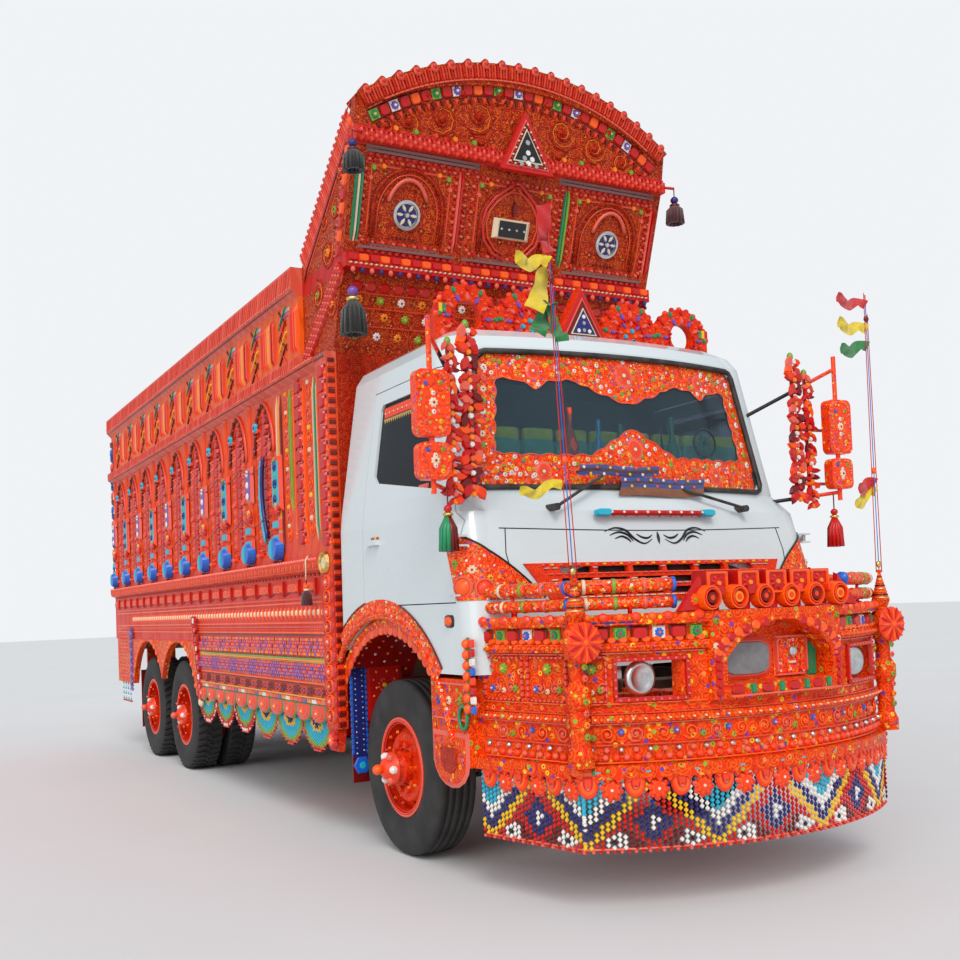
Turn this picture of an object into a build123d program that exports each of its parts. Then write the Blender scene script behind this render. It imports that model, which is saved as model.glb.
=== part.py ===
"""Decorated six-wheeled cargo truck with a bowed apron, a crest on the cab and a tall crown.

Millimetres, +Z up, front towards -Y, the driver's side (right) towards -X.
The origin is on the ground at the middle of the whole truck.
"""
from build123d import *
from math import asin, cos, pi, sin, sqrt
import os

# Overall sizes and axle positions
overall_length = 10000.0
front_overhang = 2100.0
wheelbase = 4880.0
bogie_spread = 1300.0
front_y = -overall_length / 2
rear_y = overall_length / 2
front_axle_y = front_y + front_overhang
middle_axle_y = front_axle_y + wheelbase
rear_axle_y = middle_axle_y + bogie_spread

# Fits and clearances
seat_gap = 0.3
running_fit = 0.05
panel_gap = 6.0
moving_gap = 8.0

# Tyres, rims and hubs
tyre_radius = 525.0
tyre_width = 280.0
tyre_wall = 22.0
bead_radius = 286.5
rim_seat_radius = 286.0
rim_bore_radius = 272.0
rim_flange_radius = 298.5
rim_half_width = 105.0
rim_flange_width = 12.0
front_track_half = 1020.0
dual_outer_x = 1085.0
dual_spacing = 320.0
stud_circle_radius = 142.9
stud_count = 10
disc_bore = 112.0
hand_hole_count = 8
hand_hole_radius = 29.0
hand_hole_circle = 238.0
drum_radius = 205.0
backing_plate_radius = 178.0
front_spindle_radius = 45.0
rear_spindle_radius = 50.0
axle_tube_radius = 70.0
pinion_reach = 330.0
pinion_lift = 20.0
output_reach = 230.0
gearbox_end_y = front_axle_y + 1260.0
gearbox_end_z = 770.0

# Steering
beam_drop = 130.0
kingpin_x = 900.0
kingpin_radius = 22.0
kingpin_boss_radius = 46.0
tie_ball_x = 838.0
tie_ball_back = 225.0
tie_arm_low = 340.0
tie_arm_thickness = 26.0

# Ladder frame
rail_half_width = 430.0
rail_height = 250.0
rail_flange = 80.0
rail_wall = 9.0
rail_top = 1050.0
rail_front = front_axle_y - 1300.0
tow_z = rail_top - 125.0
tow_pin_radius = 25.0
leaf_thickness = 13.0
leaf_width = 80.0

# Cab
cab_half_width = 1245.0
cab_wall = 45.0
cab_floor_low = 1460.0
cab_floor_high = 1500.0
cab_bottom = 1120.0
arch_radius = 923.0
arch_centre_z = 507.0
door_front = front_axle_y - 985.0
door_rear = front_axle_y + 220.0
door_low = 1500.0
door_high = 2820.0
door_handle_z = 1880.0
hinge_x = cab_half_width + 6.0
hinge_y = door_front - 15.0
hinge_pin_radius = 6.0
hinge_barrel_radius = 11.0
hinge_barrel_height = 40.0
hinge_levels = (1560.0, 1820.0)
driver_x = 620.0
dash_end = cab_half_width - 215.0
crest_y = front_axle_y - 410.0
wheel_centre_y = front_axle_y - 612.0
wheel_centre_z = 2082.0
wheel_boss_thickness = 30.0
column_lean = (0.748, 0.663)

# Cargo body
deck_half_width = 1200.0
deck_top = 1300.0
deck_thickness = 50.0
bearer_height = 120.0
wall_plane = 1245.0
cornice_reach = 55.0
ledge_z = 1800.0
lower_cornice_z = 3190.0
eave_z = 3900.0
body_front = front_axle_y + 660.0
head_wall_thickness = 60.0
skirt_bottom = 750.0
skirt_inner = 1205.0
skirt_outer = 1262.0
wheel_arch_radius = 740.0
post_width = 190.0
arcade_front = body_front + 1100.0
arcade_margin = 120.0
post_bottom = 560.0

# Crown above the cab
crown_foot_y = front_axle_y + 460.0
crown_foot_z = 3720.0
crown_ledge_y = front_axle_y + 200.0
crown_ledge_z = 4460.0
crown_spring_z = 4705.0
crown_apex_z = 5090.0
crown_back_y = front_axle_y + 1200.0
crown_panel = 55.0
crown_half_width = 1215.0
crown_spring_lean = 45.0
crown_apex_lean = 115.0
rim_depth = 70.0
knob_count = 20
knob_radius = 24.0
knob_reach = 44.0

# Apron in front of the cab
apron_rear = front_axle_y - 1060.0
apron_rear_half = 1215.0
apron_corner_half = 1040.0
apron_corner_y = front_axle_y - 1770.0
apron_bottom = 640.0
apron_top = 1410.0
apron_wall = 60.0
apron_inset = 45.0
niche_half_width = 430.0
niche_bottom = 985.0
niche_inset = 14.0
spire_radius = 62.0
fringe_bottom = 285.0

# Tailgate
gate_half_width = 1105.0
gate_frame_depth = 110.0
gate_thickness = 60.0
gate_top = 2900.0
gate_axis_y = rear_y - 24.0
gate_axis_z = deck_top + 30.0
gate_pin_radius = 9.0
gate_hinges = (-900.0, 0.0, 900.0)


def block(x0, x1, y0, y1, z0, z1):
    """A box between two corners."""
    return Pos((x0 + x1) / 2, (y0 + y1) / 2, (z0 + z1) / 2) * Box(abs(x1 - x0), abs(y1 - y0), abs(z1 - z0))


def across(points, x0, x1):
    """A (y, z) outline carried from x0 to x1."""
    face = Face(Wire(Polyline([(x0, y, z) for y, z in points], close=True).edges()))
    return extrude(face, amount=x1 - x0, dir=(1, 0, 0))


def along(points, y0, y1):
    """An (x, z) outline carried from y0 to y1."""
    face = Face(Wire(Polyline([(x, y0, z) for x, z in points], close=True).edges()))
    return extrude(face, amount=y1 - y0, dir=(0, 1, 0))


def along_edges(edges, y0, y1):
    """A closed chain of edges in the plane y0, carried to y1."""
    return extrude(Face(Wire(edges)), amount=y1 - y0, dir=(0, 1, 0))


def turned(points, centre=(0, 0, 0)):
    """An (x, radius) outline turned about the X axis, then placed."""
    face = Face(Wire(Polyline([(x, 0, r) for x, r in points], close=True).edges()))
    return Pos(*centre) * revolve(face, axis=Axis.X)


def rod(start, end, radius):
    """A round bar between two points."""
    line = Vector(*end) - Vector(*start)
    upward = (Align.CENTER, Align.CENTER, Align.MIN)
    return Plane(origin=start, z_dir=line) * Cylinder(radius, line.length, align=upward)


def other_side(shape):
    return mirror(shape, about=Plane.YZ)


def upright(x, y, z):
    """A plane that faces +Y, its own X along the truck's X."""
    return Plane(origin=(x, y, z), x_dir=(-1, 0, 0), z_dir=(0, 1, 0))


def both_sides(shape):
    return [shape, other_side(shape)]


def solids_of(*shapes):
    """One node from loose shapes."""
    found = []
    for shape in shapes:
        items = shape if isinstance(shape, (list, tuple)) else [shape]
        for item in items:
            found += item.solids()
    return found[0] if len(found) == 1 else Compound(children=found)


def pointed_arch(half, low, spring, y):
    """Edges of an upright opening with a pointed head."""
    rise = half * 1.15
    apex = (0, y, spring + rise)
    lift = rise * 0.62
    lean = half * 0.74
    return [
        Line((-half, y, low), (half, y, low)),
        Line((half, y, low), (half, y, spring)),
        ThreePointArc((half, y, spring), (lean, y, spring + lift), apex),
        ThreePointArc(apex, (-lean, y, spring + lift), (-half, y, spring)),
        Line((-half, y, spring), (-half, y, low)),
    ]


# Wheels

def tyre(centre_x, axle_y):
    half = tyre_width / 2
    flange, widest, shoulder = rim_flange_radius, tyre_radius - 115, tyre_radius - 19
    seat = rim_half_width - 1
    half_outline = [
        # outside, from the bead to the crown
        (seat, bead_radius), (seat, flange + 1), (half - 22, flange + 4), (half - 6, widest - 50),
        (half, widest), (half - 8, widest + 60), (half - 22, shoulder), (half - 48, tyre_radius - 3),
    ]
    half_lining = [
        # inside, from the crown to the bead
        (half - 75, tyre_radius - 31), (half - 40, widest + 70), (half - tyre_wall, widest),
        (half - 8 - tyre_wall, widest - 50), (80, bead_radius),
    ]
    other_outline = [(-x, r) for x, r in half_outline[::-1]]
    other_lining = [(-x, r) for x, r in half_lining[::-1]]
    outline = half_lining + half_outline + [(0, tyre_radius)] + other_outline + other_lining
    return turned(outline, (centre_x, axle_y, tyre_radius))


def rim_ring(centre_x):
    """The rim's barrel and flanges about the X axis."""
    h = rim_half_width
    f = h + rim_flange_width
    return turned([
        (centre_x - f, rim_bore_radius), (centre_x - f, rim_flange_radius), (centre_x - h, rim_flange_radius),
        (centre_x - h, rim_seat_radius), (centre_x + h, rim_seat_radius), (centre_x + h, rim_flange_radius),
        (centre_x + f, rim_flange_radius), (centre_x + f, rim_bore_radius),
    ])


def wheel_disc(plate_x, barrel_x, thickness=14.0):
    """A dished disc from the hub plate to the barrel."""
    edge = rim_bore_radius + 4
    return turned([
        (plate_x, disc_bore), (plate_x, 196), (barrel_x, edge), (barrel_x + thickness, edge),
        (plate_x + thickness, 203), (plate_x + thickness, disc_bore),
    ])


def hand_holes(x0, x1):
    holes = []
    for i in range(hand_hole_count):
        a = 2 * pi * (i + 0.5) / hand_hole_count
        y, z = hand_hole_circle * cos(a), hand_hole_circle * sin(a)
        holes.append(rod((x0, y, z), (x1, y, z), hand_hole_radius))
    return holes


def wheel_nuts(x, length=26.0, across_flats=33.0):
    nuts = []
    for i in range(stud_count):
        a = 2 * pi * i / stud_count
        base = Plane(origin=(x, stud_circle_radius * cos(a), stud_circle_radius * sin(a)), z_dir=(1, 0, 0))
        nuts.append(base * extrude(RegularPolygon(across_flats / 2, 6, major_radius=False), amount=length))
    return nuts


def front_wheel():
    """Rim, disc, hub and drum of a steered wheel, outboard towards +X, about its own centre."""
    plate = 75.0
    wheel = rim_ring(0) + wheel_disc(plate, 10)
    wheel -= hand_holes(0, 110)
    bore = front_spindle_radius + running_fit
    hub = turned([
        (-48, bore), (-48, 82), (22, 82), (22, 190), (-50, 190), (-50, drum_radius), (38, drum_radius),
        (60, 165), (plate, 165), (plate, 96), (128, 96), (140, 84), (172, 70), (172, 0), (100, 0),
        (100, bore),
    ])
    return wheel + hub + wheel_nuts(plate + 14)


def dual_wheel():
    """Both rims, discs, hub and drum of a twin wheel, outboard towards +X, about the gap's middle."""
    half = dual_spacing / 2
    outer = rim_ring(half) + wheel_disc(0, half - 60)
    inner = rim_ring(-half) + other_side(wheel_disc(0, half - 60))
    wheel = outer + inner - hand_holes(-120, 120)
    bore = rear_spindle_radius + running_fit
    hub = turned([
        (-290, bore), (-290, 95), (-60, 95), (-60, 190), (-285, 190), (-285, drum_radius), (-40, drum_radius),
        (-14, 160), (-14, 112), (14, 112), (14, 165), (28, 165), (28, 118), (175, 104), (205, 84), (205, 0),
        (150, 0), (150, bore),
    ])
    return wheel + hub + wheel_nuts(28)


# Axles and steering

def front_axle():
    """Dropped I-beam with a boss and pin at each end."""
    high, low = tyre_radius + 45, tyre_radius - 50
    drop = beam_drop
    inner = rail_half_width + 60
    beam_top = [(-kingpin_x, high), (-inner - 150, high), (-inner, high - drop), (inner, high - drop),
                (inner + 150, high), (kingpin_x, high)]
    beam_low = [(kingpin_x, low), (inner + 150, low), (inner, low - drop), (-inner, low - drop),
                (-inner - 150, low), (-kingpin_x, low)]
    beam = along(beam_top + beam_low, front_axle_y - 45, front_axle_y + 45)
    web = [(-inner + 20, high - drop - 20), (inner - 20, high - drop - 20),
           (inner - 20, low - drop + 20), (-inner + 20, low - drop + 20)]
    for y in (front_axle_y - 45, front_axle_y + 15):
        beam -= along(web, y, y + 30)
    ends = []
    for side in (-1, 1):
        boss_at = (side * kingpin_x, front_axle_y, (high + low) / 2)
        ends.append(Pos(*boss_at) * Cylinder(kingpin_boss_radius, high - low))
        ends.append(Pos(*boss_at) * Cylinder(kingpin_radius, high - low + 110))
    return beam + ends


def knuckle():
    """Yoke, spindle, backing plate and arm of the left knuckle."""
    ear = 34.0
    gap = moving_gap
    top = tyre_radius + 45 + gap
    low = tyre_radius - 50 - gap
    yoke_x = kingpin_x + kingpin_boss_radius + gap
    plate_x = front_track_half - 62
    parts = [block(yoke_x, plate_x, front_axle_y - 60, front_axle_y + 60, low - ear, top + ear)]
    for z0, z1 in ((top, top + ear), (low - ear, low)):
        boss = kingpin_boss_radius
        ring = Pos(kingpin_x, front_axle_y, (z0 + z1) / 2) * Cylinder(boss, z1 - z0)
        bar = block(kingpin_x, plate_x, front_axle_y - boss, front_axle_y + boss, z0, z1)
        parts += [ring, bar]
    foot = (plate_x, front_axle_y, tyre_radius)
    parts.append(rod(foot, (plate_x + 10, front_axle_y, tyre_radius), backing_plate_radius))
    parts.append(rod(foot, (front_track_half + 92, front_axle_y, tyre_radius), front_spindle_radius))
    arm_top = tie_arm_low + tie_arm_thickness
    parts.append(block(kingpin_x - 30, kingpin_x + 40, front_axle_y - 40, front_axle_y + 40,
                       tie_arm_low, low - ear))
    ball_y = front_axle_y + tie_ball_back
    arm_points = [(kingpin_x - 30, front_axle_y), (kingpin_x + 30, front_axle_y),
                  (tie_ball_x + 24, ball_y), (tie_ball_x - 24, ball_y)]
    arm_face = Face(Wire(Polyline([(x, y, tie_arm_low) for x, y in arm_points], close=True).edges()))
    parts.append(extrude(arm_face, amount=tie_arm_thickness, dir=(0, 0, 1)))
    parts.append(Pos(tie_ball_x, ball_y, (tie_arm_low + arm_top) / 2) * Cylinder(28, tie_arm_thickness))
    body = parts[0] + parts[1:]
    pin_hole = Pos(kingpin_x, front_axle_y, tyre_radius) * Cylinder(kingpin_radius + running_fit, 400)
    return body - pin_hole


def tie_rod():
    """Rod above the two arms, with an eye at each end."""
    z = tie_arm_low + tie_arm_thickness + moving_gap + 16
    y = front_axle_y + tie_ball_back
    bar = rod((-tie_ball_x, y, z), (tie_ball_x, y, z), 17)
    eyes = [Pos(s * tie_ball_x, y, z) * Cylinder(26, 32) for s in (-1, 1)]
    pins = [Pos(-tie_ball_x, y, z - 16 - moving_gap / 2) * Cylinder(14, moving_gap - 2 * seat_gap)]
    return bar + eyes + pins


def drive_axle(axle_y):
    """Banjo housing with a bowl, tubes, backing plates and spindles."""
    spindle_end = dual_outer_x - dual_spacing / 2 + 140
    flange_x = dual_outer_x - dual_spacing / 2 - 310
    tube, plate = axle_tube_radius, backing_plate_radius
    outline = [(-spindle_end, 0), (-spindle_end, rear_spindle_radius), (-flange_x, rear_spindle_radius),
               (-flange_x, plate), (-flange_x + 12, plate), (-flange_x + 12, tube), (-280, tube), (-190, 150),
               (-110, 205), (110, 205), (190, 150), (280, tube), (flange_x - 12, tube),
               (flange_x - 12, plate), (flange_x, plate), (flange_x, rear_spindle_radius),
               (spindle_end, rear_spindle_radius), (spindle_end, 0)]
    housing = turned(outline, (0, axle_y, tyre_radius))
    z = tyre_radius + pinion_lift
    nose = rod((0, axle_y - pinion_reach, z), (0, axle_y - 120, z), 95)
    output = rod((0, axle_y + 120, z), (0, axle_y + output_reach, z), 84)
    return housing + nose + output


# Frame, springs and driveline

def channel(x_web, inward, y0, y1):
    """One C-section rail, open towards the middle."""
    z0, z1 = rail_top - rail_height, rail_top
    w = rail_wall
    a = x_web
    b = x_web + inward * rail_flange
    points = [(a, z0), (b, z0), (b, z0 + w), (a + inward * w, z0 + w), (a + inward * w, z1 - w), (b, z1 - w),
              (b, z1), (a, z1)]
    return along(points, y0, y1)


def chassis_frame():
    """Two channel rails, seven cross-members and the tow jaw."""
    rail_rear = rear_y - 140
    frame = channel(-rail_half_width, 1, rail_front, rail_rear)
    frame += channel(rail_half_width, -1, rail_front, rail_rear)
    reach = rail_half_width - rail_wall
    stations = [rail_front + 60, front_axle_y + 1700, front_axle_y + 3100, middle_axle_y - 560,
                (middle_axle_y + rear_axle_y) / 2, rear_axle_y + 560, rail_rear - 45]
    for y in stations:
        low, high = rail_top - rail_height + rail_wall, rail_top - rail_wall
        member = block(-reach, reach, y - 45, y + 45, low, high)
        member -= block(-reach, reach, y - 45, y + 45 - rail_wall, low + rail_wall, high - rail_wall)
        frame += member
    jaw = block(-70, 70, rail_rear, rail_rear + 90, tow_z - 65, tow_z + 65)
    jaw -= block(-70, 70, rail_rear + 15, rail_rear + 90, tow_z - 30, tow_z + 30)
    jaw -= Pos(0, rail_rear + 55, tow_z) * Cylinder(tow_pin_radius, 300)
    return frame + jaw


def leaf_pack(centre_y, half_length, low_z, camber, leaves, upward=True):
    """Leaves of shrinking length on one side, bowed upward or downward."""
    leaf, width = leaf_thickness, leaf_width
    sign = 1 if upward else -1
    radius = (half_length ** 2 + camber ** 2) / (2 * camber)
    pack = None
    for i in range(leaves):
        reach = half_length * (1 - 0.72 * i / leaves)
        base = low_z - sign * leaf * i
        sag = radius - sqrt(radius ** 2 - reach ** 2)
        x0 = rail_half_width - width / 2
        y0, y1 = centre_y - reach, centre_y + reach
        z_mid, z_end = base, base + sign * sag
        t = -sign * leaf
        edges = [
            ThreePointArc((x0, y0, z_end), (x0, centre_y, z_mid), (x0, y1, z_end)),
            Line((x0, y1, z_end), (x0, y1, z_end + t)),
            ThreePointArc((x0, y1, z_end + t), (x0, centre_y, z_mid + t), (x0, y0, z_end + t)),
            Line((x0, y0, z_end + t), (x0, y0, z_end)),
        ]
        solid = extrude(Face(Wire(edges)), amount=width, dir=(1, 0, 0))
        pack = solid if pack is None else pack + solid
    return pack


def leaf_springs():
    """Front packs in their hangers and the rear packs on the bogie's trunnion."""
    x0, x1 = rail_half_width - leaf_width / 2, rail_half_width + leaf_width / 2
    rail_low = rail_top - rail_height
    seat = tyre_radius + 45 - beam_drop
    leaves, leaf = 7, leaf_thickness
    half, camber = 720.0, 150.0
    low = seat + leaf * leaves
    front = leaf_pack(front_axle_y, half, low, camber, leaves)
    for s in (-1, 1):
        eye_y = front_axle_y + s * (half + 26)
        eye_z = low + camber - 8
        hanger = across([(eye_y - 70, rail_low), (eye_y + 70, rail_low), (eye_y + 34, eye_z - 30),
                         (eye_y - 34, eye_z - 30)], x0, x1)
        front += hanger + rod((x0, eye_y, eye_z), (x1, eye_y, eye_z), 30)
    bogie_y = (middle_axle_y + rear_axle_y) / 2
    rear_leaves = 9
    top = rail_low - 40
    low = top - leaf * rear_leaves
    rear = leaf_pack(bogie_y, bogie_spread / 2 + 40, low, low - (tyre_radius + axle_tube_radius + seat_gap),
                     rear_leaves, upward=False)
    saddle = across([(bogie_y - 150, rail_low), (bogie_y + 150, rail_low), (bogie_y + 90, top - leaf),
                     (bogie_y - 90, top - leaf)], x0, x1)
    return solids_of(both_sides(front), both_sides(rear + saddle))


def engine_block():
    """Engine and gearbox as one closed mass between the rails."""
    y0, y1 = front_axle_y - 480, front_axle_y + 620
    engine = across([(y0, 790), (y0 + 90, 640), (y1 - 60, 640), (y1, 760), (y1, 1330), (y1 - 120, 1400),
                     (y0 + 140, 1400), (y0, 1300)], -300, 300)
    box_front = upright(0, y1, 900) * Rectangle(440, 460)
    box_rear = upright(0, gearbox_end_y, gearbox_end_z) * Rectangle(240, 240)
    gearbox = loft([box_front.face(), box_rear.face()], ruled=True)
    return engine + gearbox


def propeller_shaft():
    """Shaft from the gearbox to the middle axle and the short link between the drive axles."""
    z = tyre_radius + pinion_lift
    flange = 28.0
    runs = (
        (gearbox_end_y, gearbox_end_z, middle_axle_y - pinion_reach, z, 46.0),
        (middle_axle_y + output_reach, z, rear_axle_y - pinion_reach, z, 40.0),
    )
    shafts = []
    for y0, z0, y1, z1, radius in runs:
        y0 += seat_gap
        y1 -= seat_gap
        shaft = rod((0, y0 + flange / 2, z0), (0, y1 - flange / 2, z1), radius)
        shaft += rod((0, y0, z0), (0, y0 + flange, z0), 78) + rod((0, y1 - flange, z1), (0, y1, z1), 78)
        shafts.append(shaft)
    return solids_of(shafts)


def fuel_tank():
    """Rounded tank on the left rail with two straps, and the battery box opposite."""
    z0, z1 = 560.0, 1030.0
    x0, x1 = rail_half_width + 60, 1150.0
    y0, y1 = front_axle_y + 1450, front_axle_y + 2550
    centre = upright((x0 + x1) / 2, y0, (z0 + z1) / 2)
    section = centre * RectangleRounded(x1 - x0, z1 - z0, 90)
    tank = extrude(section.face(), amount=y1 - y0, dir=(0, 1, 0))
    strap_outline = centre * RectangleRounded(x1 - x0 + 14, z1 - z0 + 14, 96)
    for y in (y0 + 180, y1 - 250):
        tank += Pos(0, y - y0, 0) * extrude(strap_outline.face(), amount=70, dir=(0, 1, 0))
        tank += block(rail_half_width, x0 + 30, y, y + 70, z1 - 150, z1 - 20)
    tank += rod((x1 - 120, y0 + 90, z1 - 10), (x1 - 120, y0 + 90, z1 + 40), 45)
    battery = block(-1130, -rail_half_width, y0 + 120, y0 + 860, 640, 1010)
    return solids_of(tank, battery)


# Cab

# Rows: height, inward taper of the half width, front at the middle, bow, corner depth, rear
# (both y values from the front axle)
cab_rows = (
    (cab_bottom, 0.0, -1215.0, 60.0, 120.0, 580.0),
    (1500.0, 0.0, -1200.0, 60.0, 130.0, 580.0),
    (1980.0, 5.0, -1085.0, 75.0, 180.0, 580.0),
    (2100.0, 17.0, -1000.0, 140.0, 173.0, 580.0),
    (2940.0, 145.0, -850.0, 120.0, 166.0, 565.0),
    (3010.0, 185.0, -800.0, 110.0, 166.0, 540.0),
    (3070.0, 285.0, -680.0, 80.0, 150.0, 460.0),
)


def cab_section(row, inset, z):
    """Plan outline of the cab at one height, moved inward by the inset."""
    _, taper, front, bow, corner, rear = row
    w = cab_half_width - taper - inset
    f = front_axle_y + front + inset
    r = front_axle_y + rear - inset
    s = f + bow
    c = corner * 0.29
    edges = [
        Line((-w, r, z), (w, r, z)),
        Line((w, r, z), (w, s + corner, z)),
        ThreePointArc((w, s + corner, z), (w - c, s + c, z), (w - corner, s, z)),
        ThreePointArc((w - corner, s, z), (0, f, z), (-w + corner, s, z)),
        ThreePointArc((-w + corner, s, z), (-w + c, s + c, z), (-w, s + corner, z)),
        Line((-w, s + corner, z), (-w, r, z)),
    ]
    return Face(Wire(edges))


def row_at(z):
    """The cab's outline values at one height, between two rows."""
    for low, high in zip(cab_rows, cab_rows[1:]):
        if z <= high[0]:
            t = (z - low[0]) / (high[0] - low[0])
            return tuple(p + (q - p) * t for p, q in zip(low, high))
    return cab_rows[-1]


def cab_form(inset, low=None, high=None):
    """The cab's outer form, or that form moved inward, between two heights."""
    top = cab_rows[-1][0] - inset
    bottom = cab_rows[0][0] if low is None else low
    levels = [row for row in cab_rows[:-1] if row[0] > bottom and (high is None or row[0] < high)]
    rows = [row_at(bottom)] + levels + [(top,) + cab_rows[-1][1:] if high is None else row_at(high)]
    return loft([cab_section(row, inset, row[0]) for row in rows], ruled=True)


def door_outline(grow=0.0):
    """Door edge in (y, z), following the windscreen pillar."""
    a, g = front_axle_y, grow
    return [(door_front - g, door_low - g), (door_front - g, 1930), (a - 835 - g, 2100),
            (a - 700 - g, door_high + g), (door_rear + g, door_high + g), (door_rear + g, door_low - g)]


def window_outline(shrink=0.0):
    """Door window in (y, z), its sill falling towards the front."""
    s = shrink
    a = front_axle_y
    return [(a - 745 + s, 2125 + s), (a - 590 + s, 2735 - s), (a + 85 - s, 2735 - s), (a + 110 - s, 2700 - s),
            (a + 110 - s, 2290 + s), (a + 60 - s, 2245 + s)]


def screen_outline(shrink=0.0):
    """Windscreen opening in (x, z)."""
    s, half = shrink, cab_half_width - 210
    left = [(half - 155 - s, 2905 - s), (half - 105 - s, 2860 - s), (half - s, 2175 + s),
            (half - 45 - s, 2125 + s)]
    return [(-x, z) for x, z in left[::-1]] + left


def grille_outline(shrink=0.0):
    """Grille opening in (x, z), narrower at its foot."""
    s, half = shrink, cab_half_width - 345
    return [(-half + s, 1690 - s), (half - s, 1690 - s), (half - 140 - s, 1470 + s),
            (-half + 140 + s, 1470 + s)]


cab_outer = cab_form(0)
cab_inner = cab_form(cab_wall, low=cab_floor_high)
cab_under = cab_form(cab_wall, low=cab_bottom - 1, high=cab_floor_low)
screen_low_y = front_axle_y - 1400
screen_high_y = front_axle_y - 500
door_cut = (cab_half_width - 195, cab_half_width + 155)


def cab_shell_full():
    """Roof, walls and floor with the wheel arch, before the doors and windows are cut."""
    shell = cab_outer - cab_inner - cab_under
    arch = rod((-1400, front_axle_y, arch_centre_z), (1400, front_axle_y, arch_centre_z), arch_radius)
    tunnel = block(-340, 340, front_axle_y + 300, front_axle_y + 700, cab_bottom - 10, 1415)
    return shell - arch - tunnel


cab_full = cab_shell_full()


def cab_shell():
    door_room = across(door_outline(panel_gap), *door_cut)
    shell = cab_full - other_side(door_room) - door_room
    shell -= along(screen_outline(), screen_low_y, screen_high_y)
    shell -= along(grille_outline(), screen_low_y, front_axle_y - 1100)
    mounts = [block(s * 300, s * rail_half_width, y - 60, y + 60, rail_top, cab_floor_low)
              for s in (-1, 1) for y in (front_axle_y + 480,)]
    shell += mounts
    barrel_room = Cylinder(hinge_barrel_radius + moving_gap, hinge_barrel_height)
    for z in hinge_levels:
        shell -= both_sides(Pos(hinge_x, hinge_y, z) * barrel_room)
        for ear in hinge_ears(z):
            shell += both_sides(ear)
    front_mounts = [block(s * 340, s * rail_half_width, front_axle_y - 1180, front_axle_y - 1060, rail_top,
                          cab_floor_low) for s in (-1, 1)]
    return shell + front_mounts


def hinge_ears(z):
    """Cab half of the left door's hinge: two ears and the pin."""
    ears = []
    for z0 in (z - hinge_barrel_height / 2 - 10, z + hinge_barrel_height / 2):
        ear = Pos(hinge_x, hinge_y, z0 + 5) * Cylinder(hinge_barrel_radius, 10)
        ears.append(ear + block(cab_half_width - 55, hinge_x + 6, hinge_y - 50, hinge_y - 4, z0, z0 + 10))
    ears.append(Pos(hinge_x, hinge_y, z) * Cylinder(hinge_pin_radius, hinge_barrel_height + 20))
    return ears


def hinge_barrel(z):
    """Door half of the hinge, with running room on the pin."""
    height = hinge_barrel_height - 2 * seat_gap
    barrel = Pos(hinge_x, hinge_y, z) * Cylinder(hinge_barrel_radius, height)
    z0, z1 = z - height / 2, z + height / 2
    leaf = block(cab_half_width + 1, hinge_x + 8, hinge_y, hinge_y + 60, z0, z1)
    root = block(cab_half_width - 50, cab_half_width + 2, door_front + 4, hinge_y + 60, z0, z1)
    bore = Pos(hinge_x, hinge_y, z) * Cylinder(hinge_pin_radius + running_fit, hinge_barrel_height + 20)
    return (barrel + leaf + root) - bore


def door():
    """Left door: outer and inner skin in one, its window, handle and hinges."""
    panel = cab_full & across(door_outline(), *door_cut)
    panel -= across(window_outline(), *door_cut)
    y, z0, z1 = door_rear - 170, door_handle_z - 16, door_handle_z + 16
    handle = block(cab_half_width - 20, cab_half_width + 28, y - 80, y + 80, z0, z1)
    handle -= block(cab_half_width, cab_half_width + 16, y - 55, y + 55, z0, z1)
    return panel + handle + [hinge_barrel(z) for z in hinge_levels]


glass_layer = cab_form(16) - cab_form(22)


def door_glass():
    return glass_layer & across(window_outline(seat_gap), *door_cut)


def windscreen():
    return glass_layer & along(screen_outline(seat_gap), screen_low_y, screen_high_y)


def grille():
    """Curved grille panel with rows of slots, seated in its opening."""
    room = along(grille_outline(seat_gap), screen_low_y, front_axle_y - 1100)
    panel = (cab_form(-14) - cab_form(20)) & room
    rows, columns = 3, 6
    slot, slot_height, pitch, rise = 200.0, 34.0, 232.0, 62.0
    for row in range(rows):
        z = 1510 + row * rise
        for column in range(columns):
            x0 = (column - columns / 2) * pitch + 6
            panel -= block(x0, x0 + slot, screen_low_y, front_axle_y - 1000, z, z + slot_height)
    return panel


def seats():
    """Driver's and mate's seats on their boxes, and the bench behind them."""
    pieces = []
    for x in (-driver_x, driver_x):
        y = front_axle_y - 190
        base = block(x - 210, x + 210, y - 180, y + 200, cab_floor_high, 1690)
        cushion = block(x - 250, x + 250, y - 260, y + 230, 1690 + seat_gap, 1850)
        foot = 1850 + seat_gap
        back = across([(y + 190, foot), (y + 330, foot), (y + 400, 2480), (y + 300, 2500)], x - 240, x + 240)
        pieces += [base, cushion, back]
    return pieces


def sleeper_bench():
    """Bench box across the rear of the cab."""
    y1 = front_axle_y + 580 - cab_wall - 6
    half, top = cab_half_width - 125, 1760
    bench = block(-half, half, y1 - 260, y1, top, top + 90)
    return bench + block(-half, half, y1 - 250, y1, cab_floor_high, top)


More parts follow.
